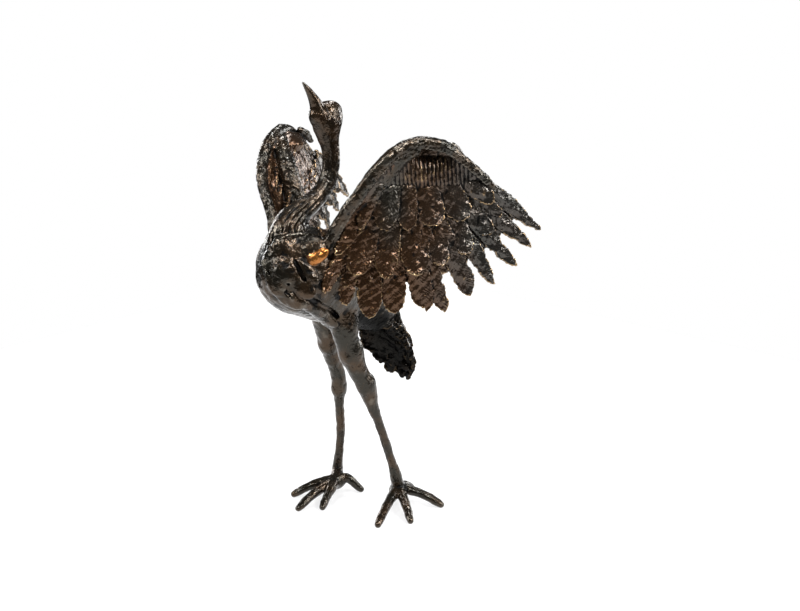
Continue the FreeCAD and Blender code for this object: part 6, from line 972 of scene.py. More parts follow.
# ------------------------------------------------------------------ torso
for c, r, pitch in TORSO_ELL:
    p = math.radians(pitch)
    ax = np.array([[1, 0, 0], [0, math.cos(p), -math.sin(p)], [0, math.sin(p), math.cos(p)]])
    ellipsoid(c, r, TORSO_ID, 7.0, ax)

# ------------------------------------------------------------------ neck, head, beak
chain([p for p, r in NECK_PTS], [r for p, r in NECK_PTS], NECK_ID, 4.0, 1.3)
for c, r, a, n in HEAD_ELL:
    ellipsoid(c, r, HEAD_ID, 2.2, frame_of(a, n))
chain([p for p, r in BEAK_PTS], [r for p, r in BEAK_PTS], BEAK_ID, 1.2, 0.8)

# ------------------------------------------------------------------ legs and feet
for pts in LEGS:
    chain([p for p, r in pts], [r for p, r in pts], LEG_ID, 3.0, 1.5)
for c, r, a in LEG_LUMPS:
    ellipsoid(c, r, LEG_ID, 1.6, frame_of(a, (0.3, -1, 0.2)))
for pts in TOE_PTS:
    chain([p for p, r in pts], [r for p, r in pts], TOE_ID, 1.3, 1.2)
for c, r in PALMS:
    ellipsoid(c, r, TOE_ID, 2.0)

# ------------------------------------------------------------------ wings
def wing(side):
    s = 1.0 if side == "L" else -1.0

    def m(p):
        p = np.asarray(p, float)
        if side == "L":
            return p
        q = float(np.clip((p[2] - 185) / 30, 0, 1))
        return np.array([-(p[0] + 2 * q), p[1], p[2] - 3.5 * q])

    def mn(n):
        n = np.asarray(n, float)
        return np.array([s * n[0], n[1], n[2]])

    # web: a sheet over the view plane of the near wing, behind its leading edge
    lo = np.array([8.0, -90.0, 150.0])
    hi = np.array([80.0, 25.0, 226.0])
    if side == "L":
        sl, X, Y, Z = block(lo, hi)
        wx, wy, wz = X, Y, Z
    else:
        sl, X, Y, Z = block((-hi[0] - 2, lo[1], lo[2]), (-lo[0], hi[1], hi[2]))
        q = np.clip((Z - 183) / 28, 0, 1)
        wx, wy, wz = -X - 2 * q, Y, Z + 3.5 * q
    vx, vy, vz = wx - np.float32(CAM_POS[0]), wy - np.float32(CAM_POS[1]), wz - np.float32(CAM_POS[2])
    zz = -(vx * np.float32(CAM_BACK[0]) + vy * np.float32(CAM_BACK[1]) + vz * np.float32(CAM_BACK[2]))
    sc = np.float32(CAM_D) / zz
    cx = (vx * np.float32(CAM_R[0]) + vy * np.float32(CAM_R[1]) + vz * np.float32(CAM_R[2])) * sc
    cy = (vx * np.float32(CAM_U[0]) + vy * np.float32(CAM_U[1]) + vz * np.float32(CAM_U[2])) * sc
    depth = zz - np.float32(CAM_D)
    ux = cx / 50.0
    uy = (cy - 60.0) / 50.0
    co = [np.float32(v) for v in WEB_FIT]
    F = co[0] + co[1] * ux + co[2] * uy + co[3] * ux * ux + co[4] * ux * uy + co[5] * uy * uy + co[6] * ux ** 3 + co[7] * ux * ux * uy + co[8] * ux * uy * uy + co[9] * uy ** 3
    near = None
    for a, b in zip(RIM_VIEW[:-1], RIM_VIEW[1:]):
        ex, ey = np.float32(b[0] - a[0]), np.float32(b[1] - a[1])
        tx, ty = cx - np.float32(a[0]), cy - np.float32(a[1])
        t = np.clip((tx * ex + ty * ey) / (ex * ex + ey * ey), 0, 1)
        dd = (tx - t * ex) ** 2 + (ty - t * ey) ** 2
        zr = np.float32(a[2]) + t * np.float32(b[2] - a[2])
        if near is None:
            near, rimz = dd, zr
        else:
            rimz = np.where(dd < near, zr, rimz)
            near = np.minimum(near, dd)
    bl = np.exp(-near / np.float32(RIM_REACH ** 2))
    F = F * (1 - bl) + rimz * bl
    for (hx, hy, rx, ry, dep) in WEB_DENTS:
        F = F + np.float32(dep) * np.exp(-((cx - hx) / rx) ** 2 - ((cy - hy) / ry) ** 2)
    # comb of fine upright folds below the wrist
    (fx0, fx1, fy0, fy1, per, amp) = WEB_COMB
    msk = np.clip((cx - fx0) / 4, 0, 1) * np.clip((fx1 - cx) / 4, 0, 1) * np.clip((cy - fy0) / 3, 0, 1) * np.clip((fy1 - cy) / 2, 0, 1)
    F = F + np.float32(amp) * np.abs(np.sin(np.pi * (cx + 0.06 * (cy - 70)) / per)) * msk
    poly = np.array(WEB_POLY, np.float32)
    best = None
    inside = np.zeros(cx.shape, bool)
    for i in range(len(poly)):
        a = poly[i]
        b = poly[(i + 1) % len(poly)]
        e = b - a
        tx, ty = cx - a[0], cy - a[1]
        t = np.clip((tx * e[0] + ty * e[1]) / float(e @ e), 0, 1)
        dd = (tx - t * e[0]) ** 2 + (ty - t * e[1]) ** 2
        best = dd if best is None else np.minimum(best, dd)
        c1 = (a[1] <= cy) & (b[1] > cy)
        c2 = (a[1] > cy) & (b[1] <= cy)
        cr = e[0] * ty - e[1] * tx
        inside ^= (c1 & (cr > 0)) | (c2 & (cr < 0))
    edge = np.sqrt(best)
    edge = np.where(inside, -edge, edge)
    f = np.abs(depth - F - 1.6) * 0.93 - 1.6
    r = 0.5
    d = np.sqrt(np.maximum(f + r, 0) ** 2 + np.maximum(edge + r, 0) ** 2) + np.minimum(np.maximum(f, edge) + r, 0) - r
    add(sl, d.astype(np.float32), WEB_ID, 0.8)

    # leading edge, second ridge, arm
    chain([m(p) for p, r in RIM_PTS], [r for p, r in RIM_PTS], RIM_ID, 1.2, 1.4)
    chain([m(p) for p, r in RIDGE_PTS], [r for p, r in RIDGE_PTS], RIM_ID, 0.5, 1.4)
    chain([m(p) for p, r in ARM_PTS], [r for p, r in ARM_PTS], ARM_ID, 2.0, 1.6)

    # flight feathers, then the two rows over them, then the rows on the side towards the body
    for row in (FLIGHT_F, MIDDLE_F, UPPER_F):
        for (root, tip, n, w, kw) in row:
            feather(m(root), m(tip), mn(n), w, **kw)
    for row in (DORSAL_F,):
        for (root, tip, n, w, kw) in row:
            feather(m(root), m(tip), mn(n), w, **kw)
    for (c, r, a, n) in WING_BLOBS:
        ellipsoid(m(c), r, RIM_ID, 0.35, frame_of(mn(a), mn(n)))
    for (c, r, a, n) in ALULA:
        ellipsoid(m(c), r, RIM_ID, 0.8, frame_of(mn(a), mn(n)))


wing("L")
wing("R")

# ------------------------------------------------------------------ body relief
for c, r, a, n in BODY_LUMPS:
    ellipsoid(c, r, TORSO_ID, 1.6, frame_of(a, n))
for pts in BODY_RIDGES:
    chain([p for p, r in pts], [r for p, r in pts], TORSO_ID, 0.9, 1.2)
for pts in BODY_GROOVES:
    groove([p for p, r in pts], [r for p, r in pts], 0.5)
for c, r in BODY_PITS:
    dent(c, r, 0.35)
for (root, tip, n, w, kw) in BODY_F:
    feather(root, tip, n, w, **kw)
for c, r, a, n in TABS:
    ellipsoid(c, r, TAB_ID, 0.8, frame_of(a, n))

# ------------------------------------------------------------------ tail
TAIL_FIDS = [feather(root, tip, n, w, **kw) for (root, tip, n, w, kw) in TAIL_F]
for c, r, a, n in TAIL_LUMPS:
    ellipsoid(c, r, TAIL_ID, 0.5, frame_of(a, n))

# flat soles
kz = int(round((0.0 - LO[2]) / H))
zc = (LO[2] + H * np.arange(N[2])).astype(np.float32)[None, None, :]
np.maximum(D, -zc, out=D)

# ------------------------------------------------------------------ how open or closed the surface is around each point
def blur(A, n):
    for ax in range(3):
        c = np.cumsum(A, axis=ax, dtype=np.float32)
        pad = [(0, 0)] * 3
        pad[ax] = (n + 1, n)
        c = np.pad(c, pad, mode="edge")
        if ax == 0:
            A = c[2 * n + 1:] - c[:-2 * n - 1]
        elif ax == 1:
            A = c[:, 2 * n + 1:] - c[:, :-2 * n - 1]
        else:
            A = c[:, :, 2 * n + 1:] - c[:, :, :-2 * n - 1]
        A /= (2 * n + 1)
    return A


def sample(G, P, step, off=LO):
    q = (P - off) / step
    n = np.array(G.shape)
    i = np.clip(np.floor(q).astype(int), 0, n - 2)
    f = np.clip(q - i, 0, 1)
    out = 0
    for dx in (0, 1):
        for dy in (0, 1):
            for dz in (0, 1):
                w = (f[:, 0] if dx else 1 - f[:, 0]) * (f[:, 1] if dy else 1 - f[:, 1]) * (f[:, 2] if dz else 1 - f[:, 2])
                out = out + w * G[i[:, 0] + dx, i[:, 1] + dy, i[:, 2] + dz]
    return out


occ = np.clip(0.5 - D / (2 * H), 0, 1).astype(np.float32)
small = blur(occ, max(1, int(round(1.0 / H))))
# the wide blur is done on a grid of double step
o2 = occ[: (N[0] // 2) * 2, : (N[1] // 2) * 2, : (N[2] // 2) * 2]
o2 = 0.125 * (o2[::2, ::2, ::2] + o2[1::2, ::2, ::2] + o2[::2, 1::2, ::2] + o2[::2, ::2, 1::2] + o2[1::2, 1::2, ::2] + o2[1::2, ::2, 1::2] + o2[::2, 1::2, 1::2] + o2[1::2, 1::2, 1::2])
wide = blur(blur(o2, int(round(2.0 / (2 * H)))), int(round(3.0 / (2 * H))))
del occ

# ------------------------------------------------------------------ to meshes
def hash01(ix, iy, iz, seed):
    h = (ix * 374761393 + iy * 668265263 + iz * 2147483647 + seed * 1274126177) & 0xFFFFFFFF
    h = ((h ^ (h >> 13)) * 1274126177) & 0xFFFFFFFF
    h = h ^ (h >> 16)
    return (h & 0xFFFF).astype(np.float64) / 65535.0


def noise(P, scale, seed):
    q = P / scale
    i = np.floor(q).astype(np.int64)
    f = q - i
    f = f * f * (3 - 2 * f)
    out = 0
    for dx in (0, 1):
        for dy in (0, 1):
            for dz in (0, 1):
                w = (f[:, 0] if dx else 1 - f[:, 0]) * (f[:, 1] if dy else 1 - f[:, 1]) * (f[:, 2] if dz else 1 - f[:, 2])
                out = out + w * hash01(i[:, 0] + dx, i[:, 1] + dy, i[:, 2] + dz, seed)
    return out * 2 - 1


def normals_of(P, F):
    fn = np.cross(P[F[:, 1]] - P[F[:, 0]], P[F[:, 2]] - P[F[:, 0]])
    n = np.zeros_like(P)
    for i in range(3):
        for ax in range(3):
            n[:, ax] += np.bincount(F[:, i], fn[:, ax], len(P))
    return n / (np.linalg.norm(n, axis=1)[:, None] + 1e-12)


def region(P):
    i = np.clip(np.round((P - LO) / H).astype(int), 0, N - 1)
    return ID[i[:, 0], i[:, 1], i[:, 2]]


def components(n, E):
    lab = np.arange(n)
    while True:
        a = lab[E[:, 0]]
        b = lab[E[:, 1]]
        m = np.minimum(a, b)
        new = lab.copy()
        np.minimum.at(new, a, m)
        np.minimum.at(new, b, m)
        while True:
            nn = new[new]
            if (nn == new).all():
                break
            new = nn
        if (new == lab).all():
            return lab
        lab = new


def blank_mesh(name, P, F):
    me = bpy.data.meshes.new(name)
    k = F.shape[1]
    me.vertices.add(len(P))
    me.vertices.foreach_set("co", (P / 1000.0).astype(np.float32).ravel())
    me.loops.add(F.size)
    me.loops.foreach_set("vertex_index", F.ravel().astype(np.int32))
    me.polygons.add(len(F))
    me.polygons.foreach_set("loop_start", np.arange(0, F.size, k, dtype=np.int32))
    me.polygons.foreach_set("loop_total", np.full(len(F), k, np.int32))
    me.update(calc_edges=True)
    return me


SEAM = 24.0


def casting(name, lo, hi, keep, budget):
    """The share of the casting where keep(x, y, z) is below 0, as a closed mesh with at most budget triangles."""
    i0 = np.maximum(np.floor((np.asarray(lo, float) - LO) / H).astype(int), 0)
    i1 = np.minimum(np.ceil((np.asarray(hi, float) - LO) / H).astype(int) + 1, N)
    ax = [(LO[i] + H * np.arange(i0[i], i1[i])).astype(np.float32) for i in range(3)]
    B = D[i0[0]:i1[0], i0[1]:i1[1], i0[2]:i1[2]]
    B = np.maximum(B, keep(ax[0][:, None, None], ax[1][None, :, None], ax[2][None, None, :]))
    np.clip(B, -1.5, 1.5, out=B)
    B[0], B[-1], B[:, 0], B[:, -1], B[:, :, 0], B[:, :, -1] = 1.5, 1.5, 1.5, 1.5, 1.5, 1.5
    grid = openvdb.FloatGrid(1.5)
    grid.copyFromArray(B)
    P, tri, Q = grid.convertToPolygons(isovalue=0.0, adaptivity=0.0)
    P = np.asarray(P, float) * H + LO + i0 * H
    Q = np.asarray(Q, np.int64)
    T = np.vstack([Q[:, [0, 1, 2]], Q[:, [0, 2, 3]]])
    vol6 = np.einsum("ij,ij->i", P[T[:, 0]], np.cross(P[T[:, 1]], P[T[:, 2]]))
    if vol6.sum() < 0:
        Q = Q[:, ::-1]
        T = T[:, ::-1]
        vol6 = -vol6
    # pockets shut inside the metal and specks are left out
    lab = components(len(P), np.vstack([Q[:, [0, 1]], Q[:, [2, 3]], Q[:, [1, 2]]]))
    size = np.bincount(lab, minlength=len(P))
    vsum = np.bincount(lab[T[:, 0]], vol6, len(P))
    good = (vsum > 0) & (size > 90)
    print(name, "components", int((size > 0).sum()), "kept", int(good.sum()), np.sort(size[good])[::-1][:8].tolist(), "raw", len(Q) * 2)
    Q = Q[good[lab[Q[:, 0]]]]
    used = np.zeros(len(P), bool)
    used[Q.ravel()] = True
    idx = np.cumsum(used) - 1
    P = P[used]
    Q = idx[Q]
    T = np.vstack([Q[:, [0, 1, 2]], Q[:, [0, 2, 3]]])
    nv = normals_of(P, T)
    reg = region(P - nv * 0.4)
    body = np.isin(reg, (TORSO_ID, TAIL_ID, TAB_ID))
    limb = np.isin(reg, (LEG_ID, NECK_ID, TOE_ID, HEAD_ID, BEAK_ID))
    feath = reg >= 20
    n8, n3, n15 = noise(P, 8.0, 1), noise(P, 3.0, 2), noise(P, 1.5, 3)
    disp = np.where(body, 0.34 * n8 + 0.26 * n3 + 0.11 * n15, 0)
    disp += np.where(limb, 0.22 * n8 + 0.22 * n3 + 0.10 * n15, 0)
    disp += np.where(feath, 0.15 * n8 + 0.18 * n3 + 0.12 * n15, 0)
    disp += np.where(np.isin(reg, (RIM_ID, ARM_ID, WEB_ID)), 0.24 * n3 + 0.16 * n15, 0)
    disp *= np.clip((P[:, 2] - 0.6) / 1.5, 0, 1)
    disp *= np.where(np.isin(reg, (BEAK_ID,)), 0.4, 1.0)
    P = P + nv * disp[:, None]
    raw = blank_mesh(name + "_raw", P, Q)
    ob = bpy.data.objects.new(name, raw)
    bpy.context.scene.collection.objects.link(ob)
    mod = ob.modifiers.new("reduce", "DECIMATE")
    mod.ratio = min(1.0, budget / (len(Q) * 2.0))
    dg = bpy.context.evaluated_depsgraph_get()
    me = bpy.data.meshes.new_from_object(ob.evaluated_get(dg), preserve_all_data_layers=False, depsgraph=dg)
    ob.modifiers.clear()
    ob.data = me
    bpy.data.meshes.remove(raw)
    bm = bmesh.new()
    bm.from_mesh(me)
    bmesh.ops.triangulate(bm, faces=bm.faces[:])
    print(name, "edges without two faces", sum(1 for e in bm.edges if len(e.link_faces) != 2), "triangles", len(bm.faces))
    bm.to_mesh(me)
    bm.free()
    me.name = name
    # values on the surface for the patina, for the painted highlight on worn edges and for the painted shade in hollows
    # and under the tail
    nvt, nf = len(me.vertices), len(me.polygons)
    P = np.empty(nvt * 3, np.float32)
    me.vertices.foreach_get("co", P)
    P = P.reshape(-1, 3).astype(float) * 1000.0
    li = np.empty(nf * 3, np.int32)
    me.loops.foreach_get("vertex_index", li)
    F = li.reshape(-1, 3)
    nrm = normals_of(P, F)
    cs = sample(small, P, H)
    cw = sample(wide, P + nrm * 0.5, 2 * H, LO + H / 2)
    cen = P[F].mean(1)
    fnn = np.cross(P[F[:, 1]] - P[F[:, 0]], P[F[:, 2]] - P[F[:, 0]])
    fnn /= np.linalg.norm(fnn, axis=1)[:, None] + 1e-12
    fr = region(cen - fnn * 0.4)
    at = me.attributes.new("fine", "FLOAT", "POINT")
    at.data.foreach_set("value", (cs - 0.5).astype(np.float32))
    at = me.attributes.new("broad", "FLOAT", "POINT")
    at.data.foreach_set("value", (cw - 0.5).astype(np.float32))
    uvw = np.zeros((nf * 3, 3), np.float32)
    kind = (np.repeat(fr, 3) >= 20).astype(np.float32)
    order = np.argsort(fr, kind="stable")
    srt = fr[order]
    for fid in np.unique(srt):
        if fid < 20:
            continue
        R, A, L, W, seed = UV[int(fid)]
        fs = order[np.searchsorted(srt, fid, "left"):np.searchsorted(srt, fid, "right")]
        cor = (fs[:, None] * 3 + np.arange(3)[None]).ravel()
        q = (P[F[fs].ravel()] - R) @ A.T
        uvw[cor, 0] = q[:, 0] / 1000.0
        uvw[cor, 1] = q[:, 1] / 1000.0
        uvw[cor, 2] = (fid * 0.137) % 1.0
    at = me.attributes.new("vane", "FLOAT_VECTOR", "CORNER")
    at.data.foreach_set("vector", uvw.ravel())
    at = me.attributes.new("isvane", "FLOAT", "CORNER")
    at.data.foreach_set("value", kind)
    for nm, ids in (("body", (TORSO_ID, NECK_ID, HEAD_ID, BEAK_ID, LEG_ID, TOE_ID, TAIL_ID, RIM_ID, ARM_ID)), ("tab", (TAB_ID,))):
        at = me.attributes.new(nm, "FLOAT", "CORNER")
        at.data.foreach_set("value", np.repeat(np.isin(fr, ids).astype(np.float32), 3))
    for nm, msk in (("rust", (fr == WEB_ID) | ((fr >= 20) & ~np.isin(fr, TAIL_FIDS))), ("lead", np.isin(fr, (RIM_ID, ARM_ID)))):
        at = me.attributes.new(nm, "FLOAT", "CORNER")
        at.data.foreach_set("value", np.repeat(msk.astype(np.float32), 3))
    # painted shade: the inside of the tail and the underside of the rump behind the legs are marked to be painted
    # near-black with a duller reflection, standing in for the shade there
    underside_shade_mask = (np.isin(fr, TAIL_FIDS) | (fr == TAIL_ID)) & (fnn[:, 1] < 0.15)
    rump_shade = np.clip((cen[:, 1] + 70.0) / 20.0, 0, 1) * np.clip(-fnn[:, 2] * 3.0, 0, 1) * ((fr == TORSO_ID) | (fr >= 20)) * (cen[:, 2] < 125.0)
    underside_shade_mask = np.maximum(underside_shade_mask, rump_shade)
    at = me.attributes.new("underside_shade", "FLOAT", "CORNER")
    at.data.foreach_set("value", np.repeat(underside_shade_mask.astype(np.float32), 3))
    me.polygons.foreach_set("use_smooth", np.ones(nf, bool))
    me.transform(Matrix.Translation(Vector([v / 1000.0 for v in SHIFT])))
    me.update()
    return ob


pieces = [
    casting("crane_wing_left", (SEAM - 1, LO[1], 98), (HI[0], HI[1], 230), lambda x, y, z: np.maximum(SEAM - x, 100 - z), 196000.0),
    casting("crane_wing_right", (LO[0], LO[1], 98), (1 - SEAM, HI[1], 230), lambda x, y, z: np.maximum(SEAM + x, 100 - z), 196000.0),
    casting("crane_body", (-48, LO[1], LO[2]), (48, HI[1], HI[2]), lambda x, y, z: np.minimum(np.abs(x) - SEAM - 0.3, z - 100.3), 196000.0),
]

# ------------------------------------------------------------------ waxed dark bronze
bronze = bpy.data.materials.new("bronze")
bronze.use_nodes = True
nt_ = bronze.node_tree
for n in list(nt_.nodes):
    nt_.nodes.remove(n)


def node(kind, **kw):
    n = nt_.nodes.new(kind)
    for k, v in kw.items():
        setattr(n, k, v)
    return n


def link(a, b):
    nt_.links.new(a, b)


def attr(name):
    return node("ShaderNodeAttribute", attribute_name=name)


def mathn(op, a, b=None, c=None, clamp=False):
    n = node("ShaderNodeMath", operation=op, use_clamp=clamp)
    for i, v in enumerate((a, b, c)):
        if v is None:
            continue
        if isinstance(v, (int, float)):
            n.inputs[i].default_value = v
        else:
            link(v, n.inputs[i])
    return n.outputs[0]


def ramp(x, lo, hi, a=0.0, b=1.0):
    n = node("ShaderNodeMapRange", interpolation_type="SMOOTHSTEP")
    link(x, n.inputs[0])
    n.inputs[1].default_value = lo
    n.inputs[2].default_value = hi
    n.inputs[3].default_value = a
    n.inputs[4].default_value = b
    return n.outputs[0]


def mixc(f, a, b):
    n = node("ShaderNodeMix", data_type="RGBA")
    if isinstance(f, (int, float)):
        n.inputs[0].default_value = f
    else:
        link(f, n.inputs[0])
    for i, v in ((6, a), (7, b)):
        if isinstance(v, tuple):
            n.inputs[i].default_value = v + (1.0,)
        else:
            link(v, n.inputs[i])
    return n.outputs[2]


coord = node("ShaderNodeTexCoord").outputs["Object"]


def noisen(scale, detail=3.0, rough=0.55, distortion=0.0):
    n = node("ShaderNodeTexNoise")
    n.inputs["Scale"].default_value = scale
    n.inputs["Detail"].default_value = detail
    n.inputs["Roughness"].default_value = rough
    n.inputs["Distortion"].default_value = distortion
    link(coord, n.inputs["Vector"])
    return n.outputs[0]


fine = attr("fine").outputs["Fac"]
broad = attr("broad").outputs["Fac"]
isvane = attr("isvane").outputs["Fac"]
bodyw = attr("body").outputs["Fac"]
tabw_ = attr("tab").outputs["Fac"]
rust = attr("rust").outputs["Fac"]
lead = attr("lead").outputs["Fac"]
vane = node("ShaderNodeSeparateXYZ")
link(attr("vane").outputs["Vector"], vane.inputs[0])
n_big, n_mid, n_small = noisen(22, 2.0), noisen(90, 3.0), noisen(420, 3.0)
n_pit, n_hair = noisen(750, 4.0, 0.65), noisen(1900, 2.0)

# worn edges stand proud of what is round them and are painted lighter, partly real wear and partly a painted highlight;
# hollows and creases get painted shade, near-black
edge = mathn("ADD", fine, mathn("MULTIPLY", mathn("SUBTRACT", n_small, 0.5), 0.05))
# the leading edge and arm lighten more easily, as a painted highlight along the rim
wear_and_highlight = ramp(mathn("SUBTRACT", edge, mathn("MULTIPLY", lead, 0.05)), -0.11, -0.21)
# painted shade: creases and hollows are marked by how closed the surface is around them
crevice_shade = mathn("MAXIMUM", ramp(fine, 0.035, 0.12), ramp(broad, 0.05, 0.20))
brown = ramp(mathn("ADD", n_big, mathn("MULTIPLY", rust, 0.14)), 0.44, 0.66)
base = mixc(brown, (0.044, 0.039, 0.031), (0.070, 0.034, 0.015))
xyz = node("ShaderNodeSeparateXYZ")
link(coord, xyz.inputs[0])
outer = ramp(mathn("ADD", mathn("ABSOLUTE", xyz.outputs[0]), mathn("MULTIPLY", n_mid, 0.02)), 0.052, 0.078)
base = mixc(mathn("MULTIPLY", outer, 0.8), base, (0.047, 0.047, 0.043))
olive = mixc(ramp(n_mid, 0.42, 0.62), (0.019, 0.017, 0.012), (0.044, 0.028, 0.015))
base = mixc(mathn("MULTIPLY", bodyw, 0.8), base, olive)
base = mixc(mathn("MULTIPLY", ramp(n_pit, 0.56, 0.74), 0.3), base, (0.13, 0.08, 0.045))
# rubbed edges painted gold on the wings and grey on the body: partly real wear, partly a painted highlight on rims and
# feather edges
base = mixc(mathn("MULTIPLY", wear_and_highlight, mathn("SUBTRACT", 0.8, mathn("MULTIPLY", bodyw, 0.5))), base, mixc(bodyw, (0.34, 0.23, 0.12), (0.22, 0.20, 0.165)))
base = mixc(mathn("MULTIPLY", tabw_, ramp(n_mid, 0.3, 0.7)), base, (0.42, 0.15, 0.025))
# painted shade: the tail hollow and rump underside painted near-black
base = mixc(mathn("MULTIPLY", attr("underside_shade").outputs["Fac"], 0.85), base, (0.006, 0.006, 0.006))
# painted shade: creases and hollows painted near-black
base = mixc(mathn("MULTIPLY", crevice_shade, 0.95), base, (0.003, 0.003, 0.003))

# feather barbs, pits and tool marks finer than the mesh
side = mathn("ABSOLUTE", vane.outputs[1])
wob = mathn("MULTIPLY", mathn("SUBTRACT", n_mid, 0.5), 2.4)
along = mathn("SUBTRACT", vane.outputs[0], side)
barbs = mathn("MULTIPLY", mathn("PINGPONG", mathn("ADD", mathn("MULTIPLY", along, 476.19), wob), 0.5), isvane)
barbs2 = mathn("MULTIPLY", mathn("PINGPONG", mathn("ADD", mathn("MULTIPLY", along, 1190.0), wob), 0.5), isvane)
patch = ramp(noisen(150, 2.0), 0.38, 0.62, 0.25, 1.0)
hsum = mathn("MULTIPLY", mathn("ADD", mathn("MULTIPLY", barbs, 0.24), mathn("MULTIPLY", barbs2, 0.09)), patch)
hsum = mathn("ADD", hsum, mathn("MULTIPLY", n_small, mathn("ADD", 0.34, mathn("MULTIPLY", bodyw, 0.26))))
hsum = mathn("ADD", hsum, mathn("MULTIPLY", noisen(230, 2.0), mathn("ADD", mathn("MULTIPLY", lead, 1.1), mathn("MULTIPLY", bodyw, 0.5))))
hsum = mathn("ADD", hsum, mathn("MULTIPLY", n_pit, 0.12))
hsum = mathn("ADD", hsum, mathn("MULTIPLY", n_hair, 0.015))
bump = node("ShaderNodeBump")
bump.inputs["Strength"].default_value = 1.0
bump.inputs["Distance"].default_value = 0.0008
link(hsum, bump.inputs["Height"])

bs = node("ShaderNodeBsdfPrincipled")
link(base, bs.inputs["Base Color"])
bs.inputs["Metallic"].default_value = 0.85
link(ramp(mathn("ADD", n_small, mathn("MULTIPLY", crevice_shade, 0.5)), 0.35, 0.9, 0.16, 0.36), bs.inputs["Roughness"])
bs.inputs["Specular IOR Level"].default_value = 0.5
# painted shade also dulls the coat and the reflection under the tail and rump
underside_shade_f = attr("underside_shade").outputs["Fac"]
link(mathn("MULTIPLY", mathn("SUBTRACT", 0.26, mathn("MULTIPLY", crevice_shade, 0.25)), mathn("SUBTRACT", 1.0, mathn("MULTIPLY", underside_shade_f, 0.9))), bs.inputs["Coat Weight"])
link(mixc(underside_shade_f, (1.0, 1.0, 1.0), (0.05, 0.05, 0.05)), bs.inputs["Specular Tint"])
bs.inputs["Coat Roughness"].default_value = 0.07
bs.inputs["Coat IOR"].default_value = 1.5
link(bump.outputs[0], bs.inputs["Normal"])
link(bump.outputs[0], bs.inputs["Coat Normal"])
out_ = node("ShaderNodeOutputMaterial")
link(bs.outputs[0], out_.inputs[0])


for crane in pieces:
    crane.data.materials.clear()
    crane.data.materials.append(bronze)
    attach(crane, "root")
    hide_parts("crane_figure")

# ------------------------------------------------------------------ floor, light and camera
fm = bpy.data.materials.new("floor_white")
fm.use_nodes = True
fb = fm.node_tree.nodes["Principled BSDF"]
fb.inputs["Base Color"].default_value = (0.28, 0.28, 0.282, 1)
fb.inputs["Roughness"].default_value = 0.9
fb.inputs["Emission Color"].default_value = (1, 1, 1, 1)
fb.inputs["Emission Strength"].default_value = 0.64
fb.inputs["Specular IOR Level"].default_value = 0.0
fme = bpy.data.meshes.new("floor")
S = 0.42
fme.from_pydata([(-S, -S, 0), (S, -S, 0), (S, S, 0), (-S, S, 0)], [], [(0, 1, 2, 3)])
floor = bpy.data.objects.new("floor", fme)
floor.data.materials.append(fm)
bpy.context.scene.collection.objects.link(floor)

world = bpy.data.worlds.new("studio")
bpy.context.scene.world = world
world.use_nodes = True
wn = world.node_tree
for n in list(wn.nodes):
    wn.nodes.remove(n)
lp = wn.nodes.new("ShaderNodeLightPath")
b1 = wn.nodes.new("ShaderNodeBackground")
b1.inputs[0].default_value = (1, 1, 1, 1)
b1.inputs[1].default_value = 1.0
b2 = wn.nodes.new("ShaderNodeBackground")
tc = wn.nodes.new("ShaderNodeTexCoord")
sp = wn.nodes.new("ShaderNodeSeparateXYZ")
wn.links.new(tc.outputs["Generated"], sp.inputs[0])
mr = wn.nodes.new("ShaderNodeMapRange")
wn.links.new(sp.outputs[2], mr.inputs[0])
mr.inputs[1].default_value = -0.2
mr.inputs[2].default_value = 1.0
mr.inputs[3].default_value = 0.02
mr.inputs[4].default_value = 0.12
wn.links.new(mr.outputs[0], b2.inputs[1])
b2.inputs[0].default_value = (1, 1, 1, 1)
mx = wn.nodes.new("ShaderNodeMixShader")
b3 = wn.nodes.new("ShaderNodeBackground")
b3.inputs[0].default_value = (1, 1, 1, 1)
b3.inputs[1].default_value = 1.0
mx2 = wn.nodes.new("ShaderNodeMixShader")
wn.links.new(lp.outputs["Is Glossy Ray"], mx2.inputs[0])
wn.links.new(b3.outputs[0], mx2.inputs[1])
wn.links.new(b2.outputs[0], mx2.inputs[2])
wn.links.new(lp.outputs["Is Camera Ray"], mx.inputs[0])
wn.links.new(mx2.outputs[0], mx.inputs[1])
wn.links.new(b1.outputs[0], mx.inputs[2])
wo = wn.nodes.new("ShaderNodeOutputWorld")
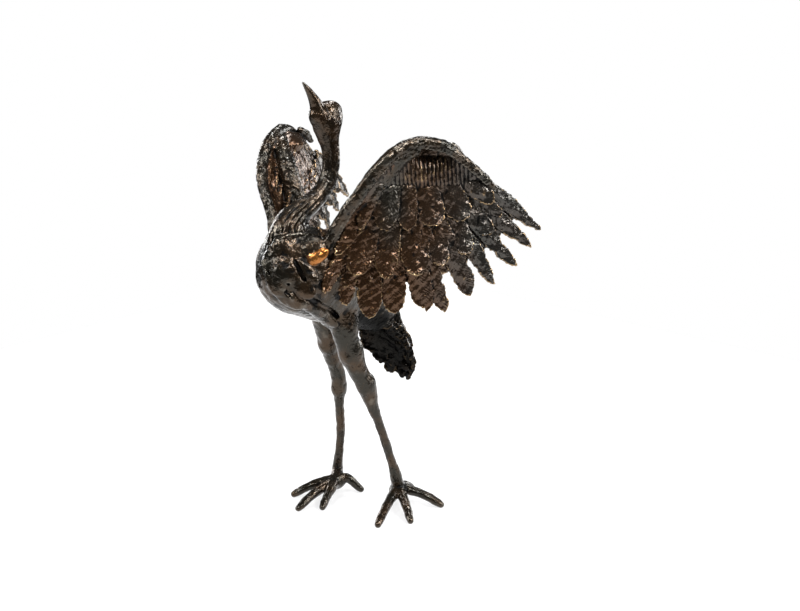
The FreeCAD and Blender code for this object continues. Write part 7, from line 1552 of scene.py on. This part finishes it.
wn.links.new(mx.outputs[0], wo.inputs[0])

ctr = Vector((0, 0, 0.14))


def softbox(name, pos, size, power, target=ctr):
    ld = bpy.data.lights.new(name, "AREA")
    ld.shape = "RECTANGLE"
    ld.size, ld.size_y = size
    ld.energy = power
    lo_ = bpy.data.objects.new(name, ld)
    lo_.location = pos
    lo_.rotation_euler = (Vector(target) - Vector(pos)).to_track_quat("-Z", "Y").to_euler()
    bpy.context.scene.collection.objects.link(lo_)
    return lo_


back = Vector(CAM_BACK)
right = Vector(CAM_R)
def at(b_, r_, z_, dist):
    v = (back * b_ + right * r_ + Vector((0, 0, z_))).normalized() * dist
    return tuple(ctr + v)


softbox("soft_left", at(0.15, -1.0, 0.42, 1.3), (0.16, 0.75), 9.5)
softbox("soft_right", at(0.05, 1.0, 0.36, 1.3), (0.20, 0.75), 10.0)
softbox("soft_top", at(0.1, 0.1, 1.0, 1.3), (0.5, 0.2), 5.5)
softbox("soft_rear_left", at(-0.8, -0.6, 0.4, 1.3), (0.16, 0.6), 4.5)
softbox("soft_rear_right", at(-0.8, 0.7, 0.35, 1.3), (0.16, 0.6), 4.5)
softbox("spark_a", at(0.75, -0.55, 0.75, 1.2), (0.1, 0.16), 6.5)
softbox("spark_b", at(0.7, 0.62, 0.55, 1.2), (0.1, 0.16), 6.0)
softbox("spark_c", at(0.45, 0.9, 0.85, 1.2), (0.12, 0.18), 7.0)
softbox("spark_d", at(-0.7, 0.1, 0.9, 1.2), (0.16, 0.16), 4.0)

cam = bpy.data.cameras.new("view")
cam.sensor_width = 36.0
cam.lens = 56.25
cam.clip_start = 0.01
cam.clip_end = 60
co_ = bpy.data.objects.new("view", cam)
R3 = Matrix((CAM_R, CAM_U, CAM_BACK)).transposed()
co_.matrix_world = Matrix.Translation(Vector([(CAM_POS[i] + SHIFT[i]) / 1000.0 for i in range(3)])) @ R3.to_4x4()
bpy.context.scene.collection.objects.link(co_)
bpy.context.scene.camera = co_
bpy.context.scene.view_settings.view_transform = "Standard"
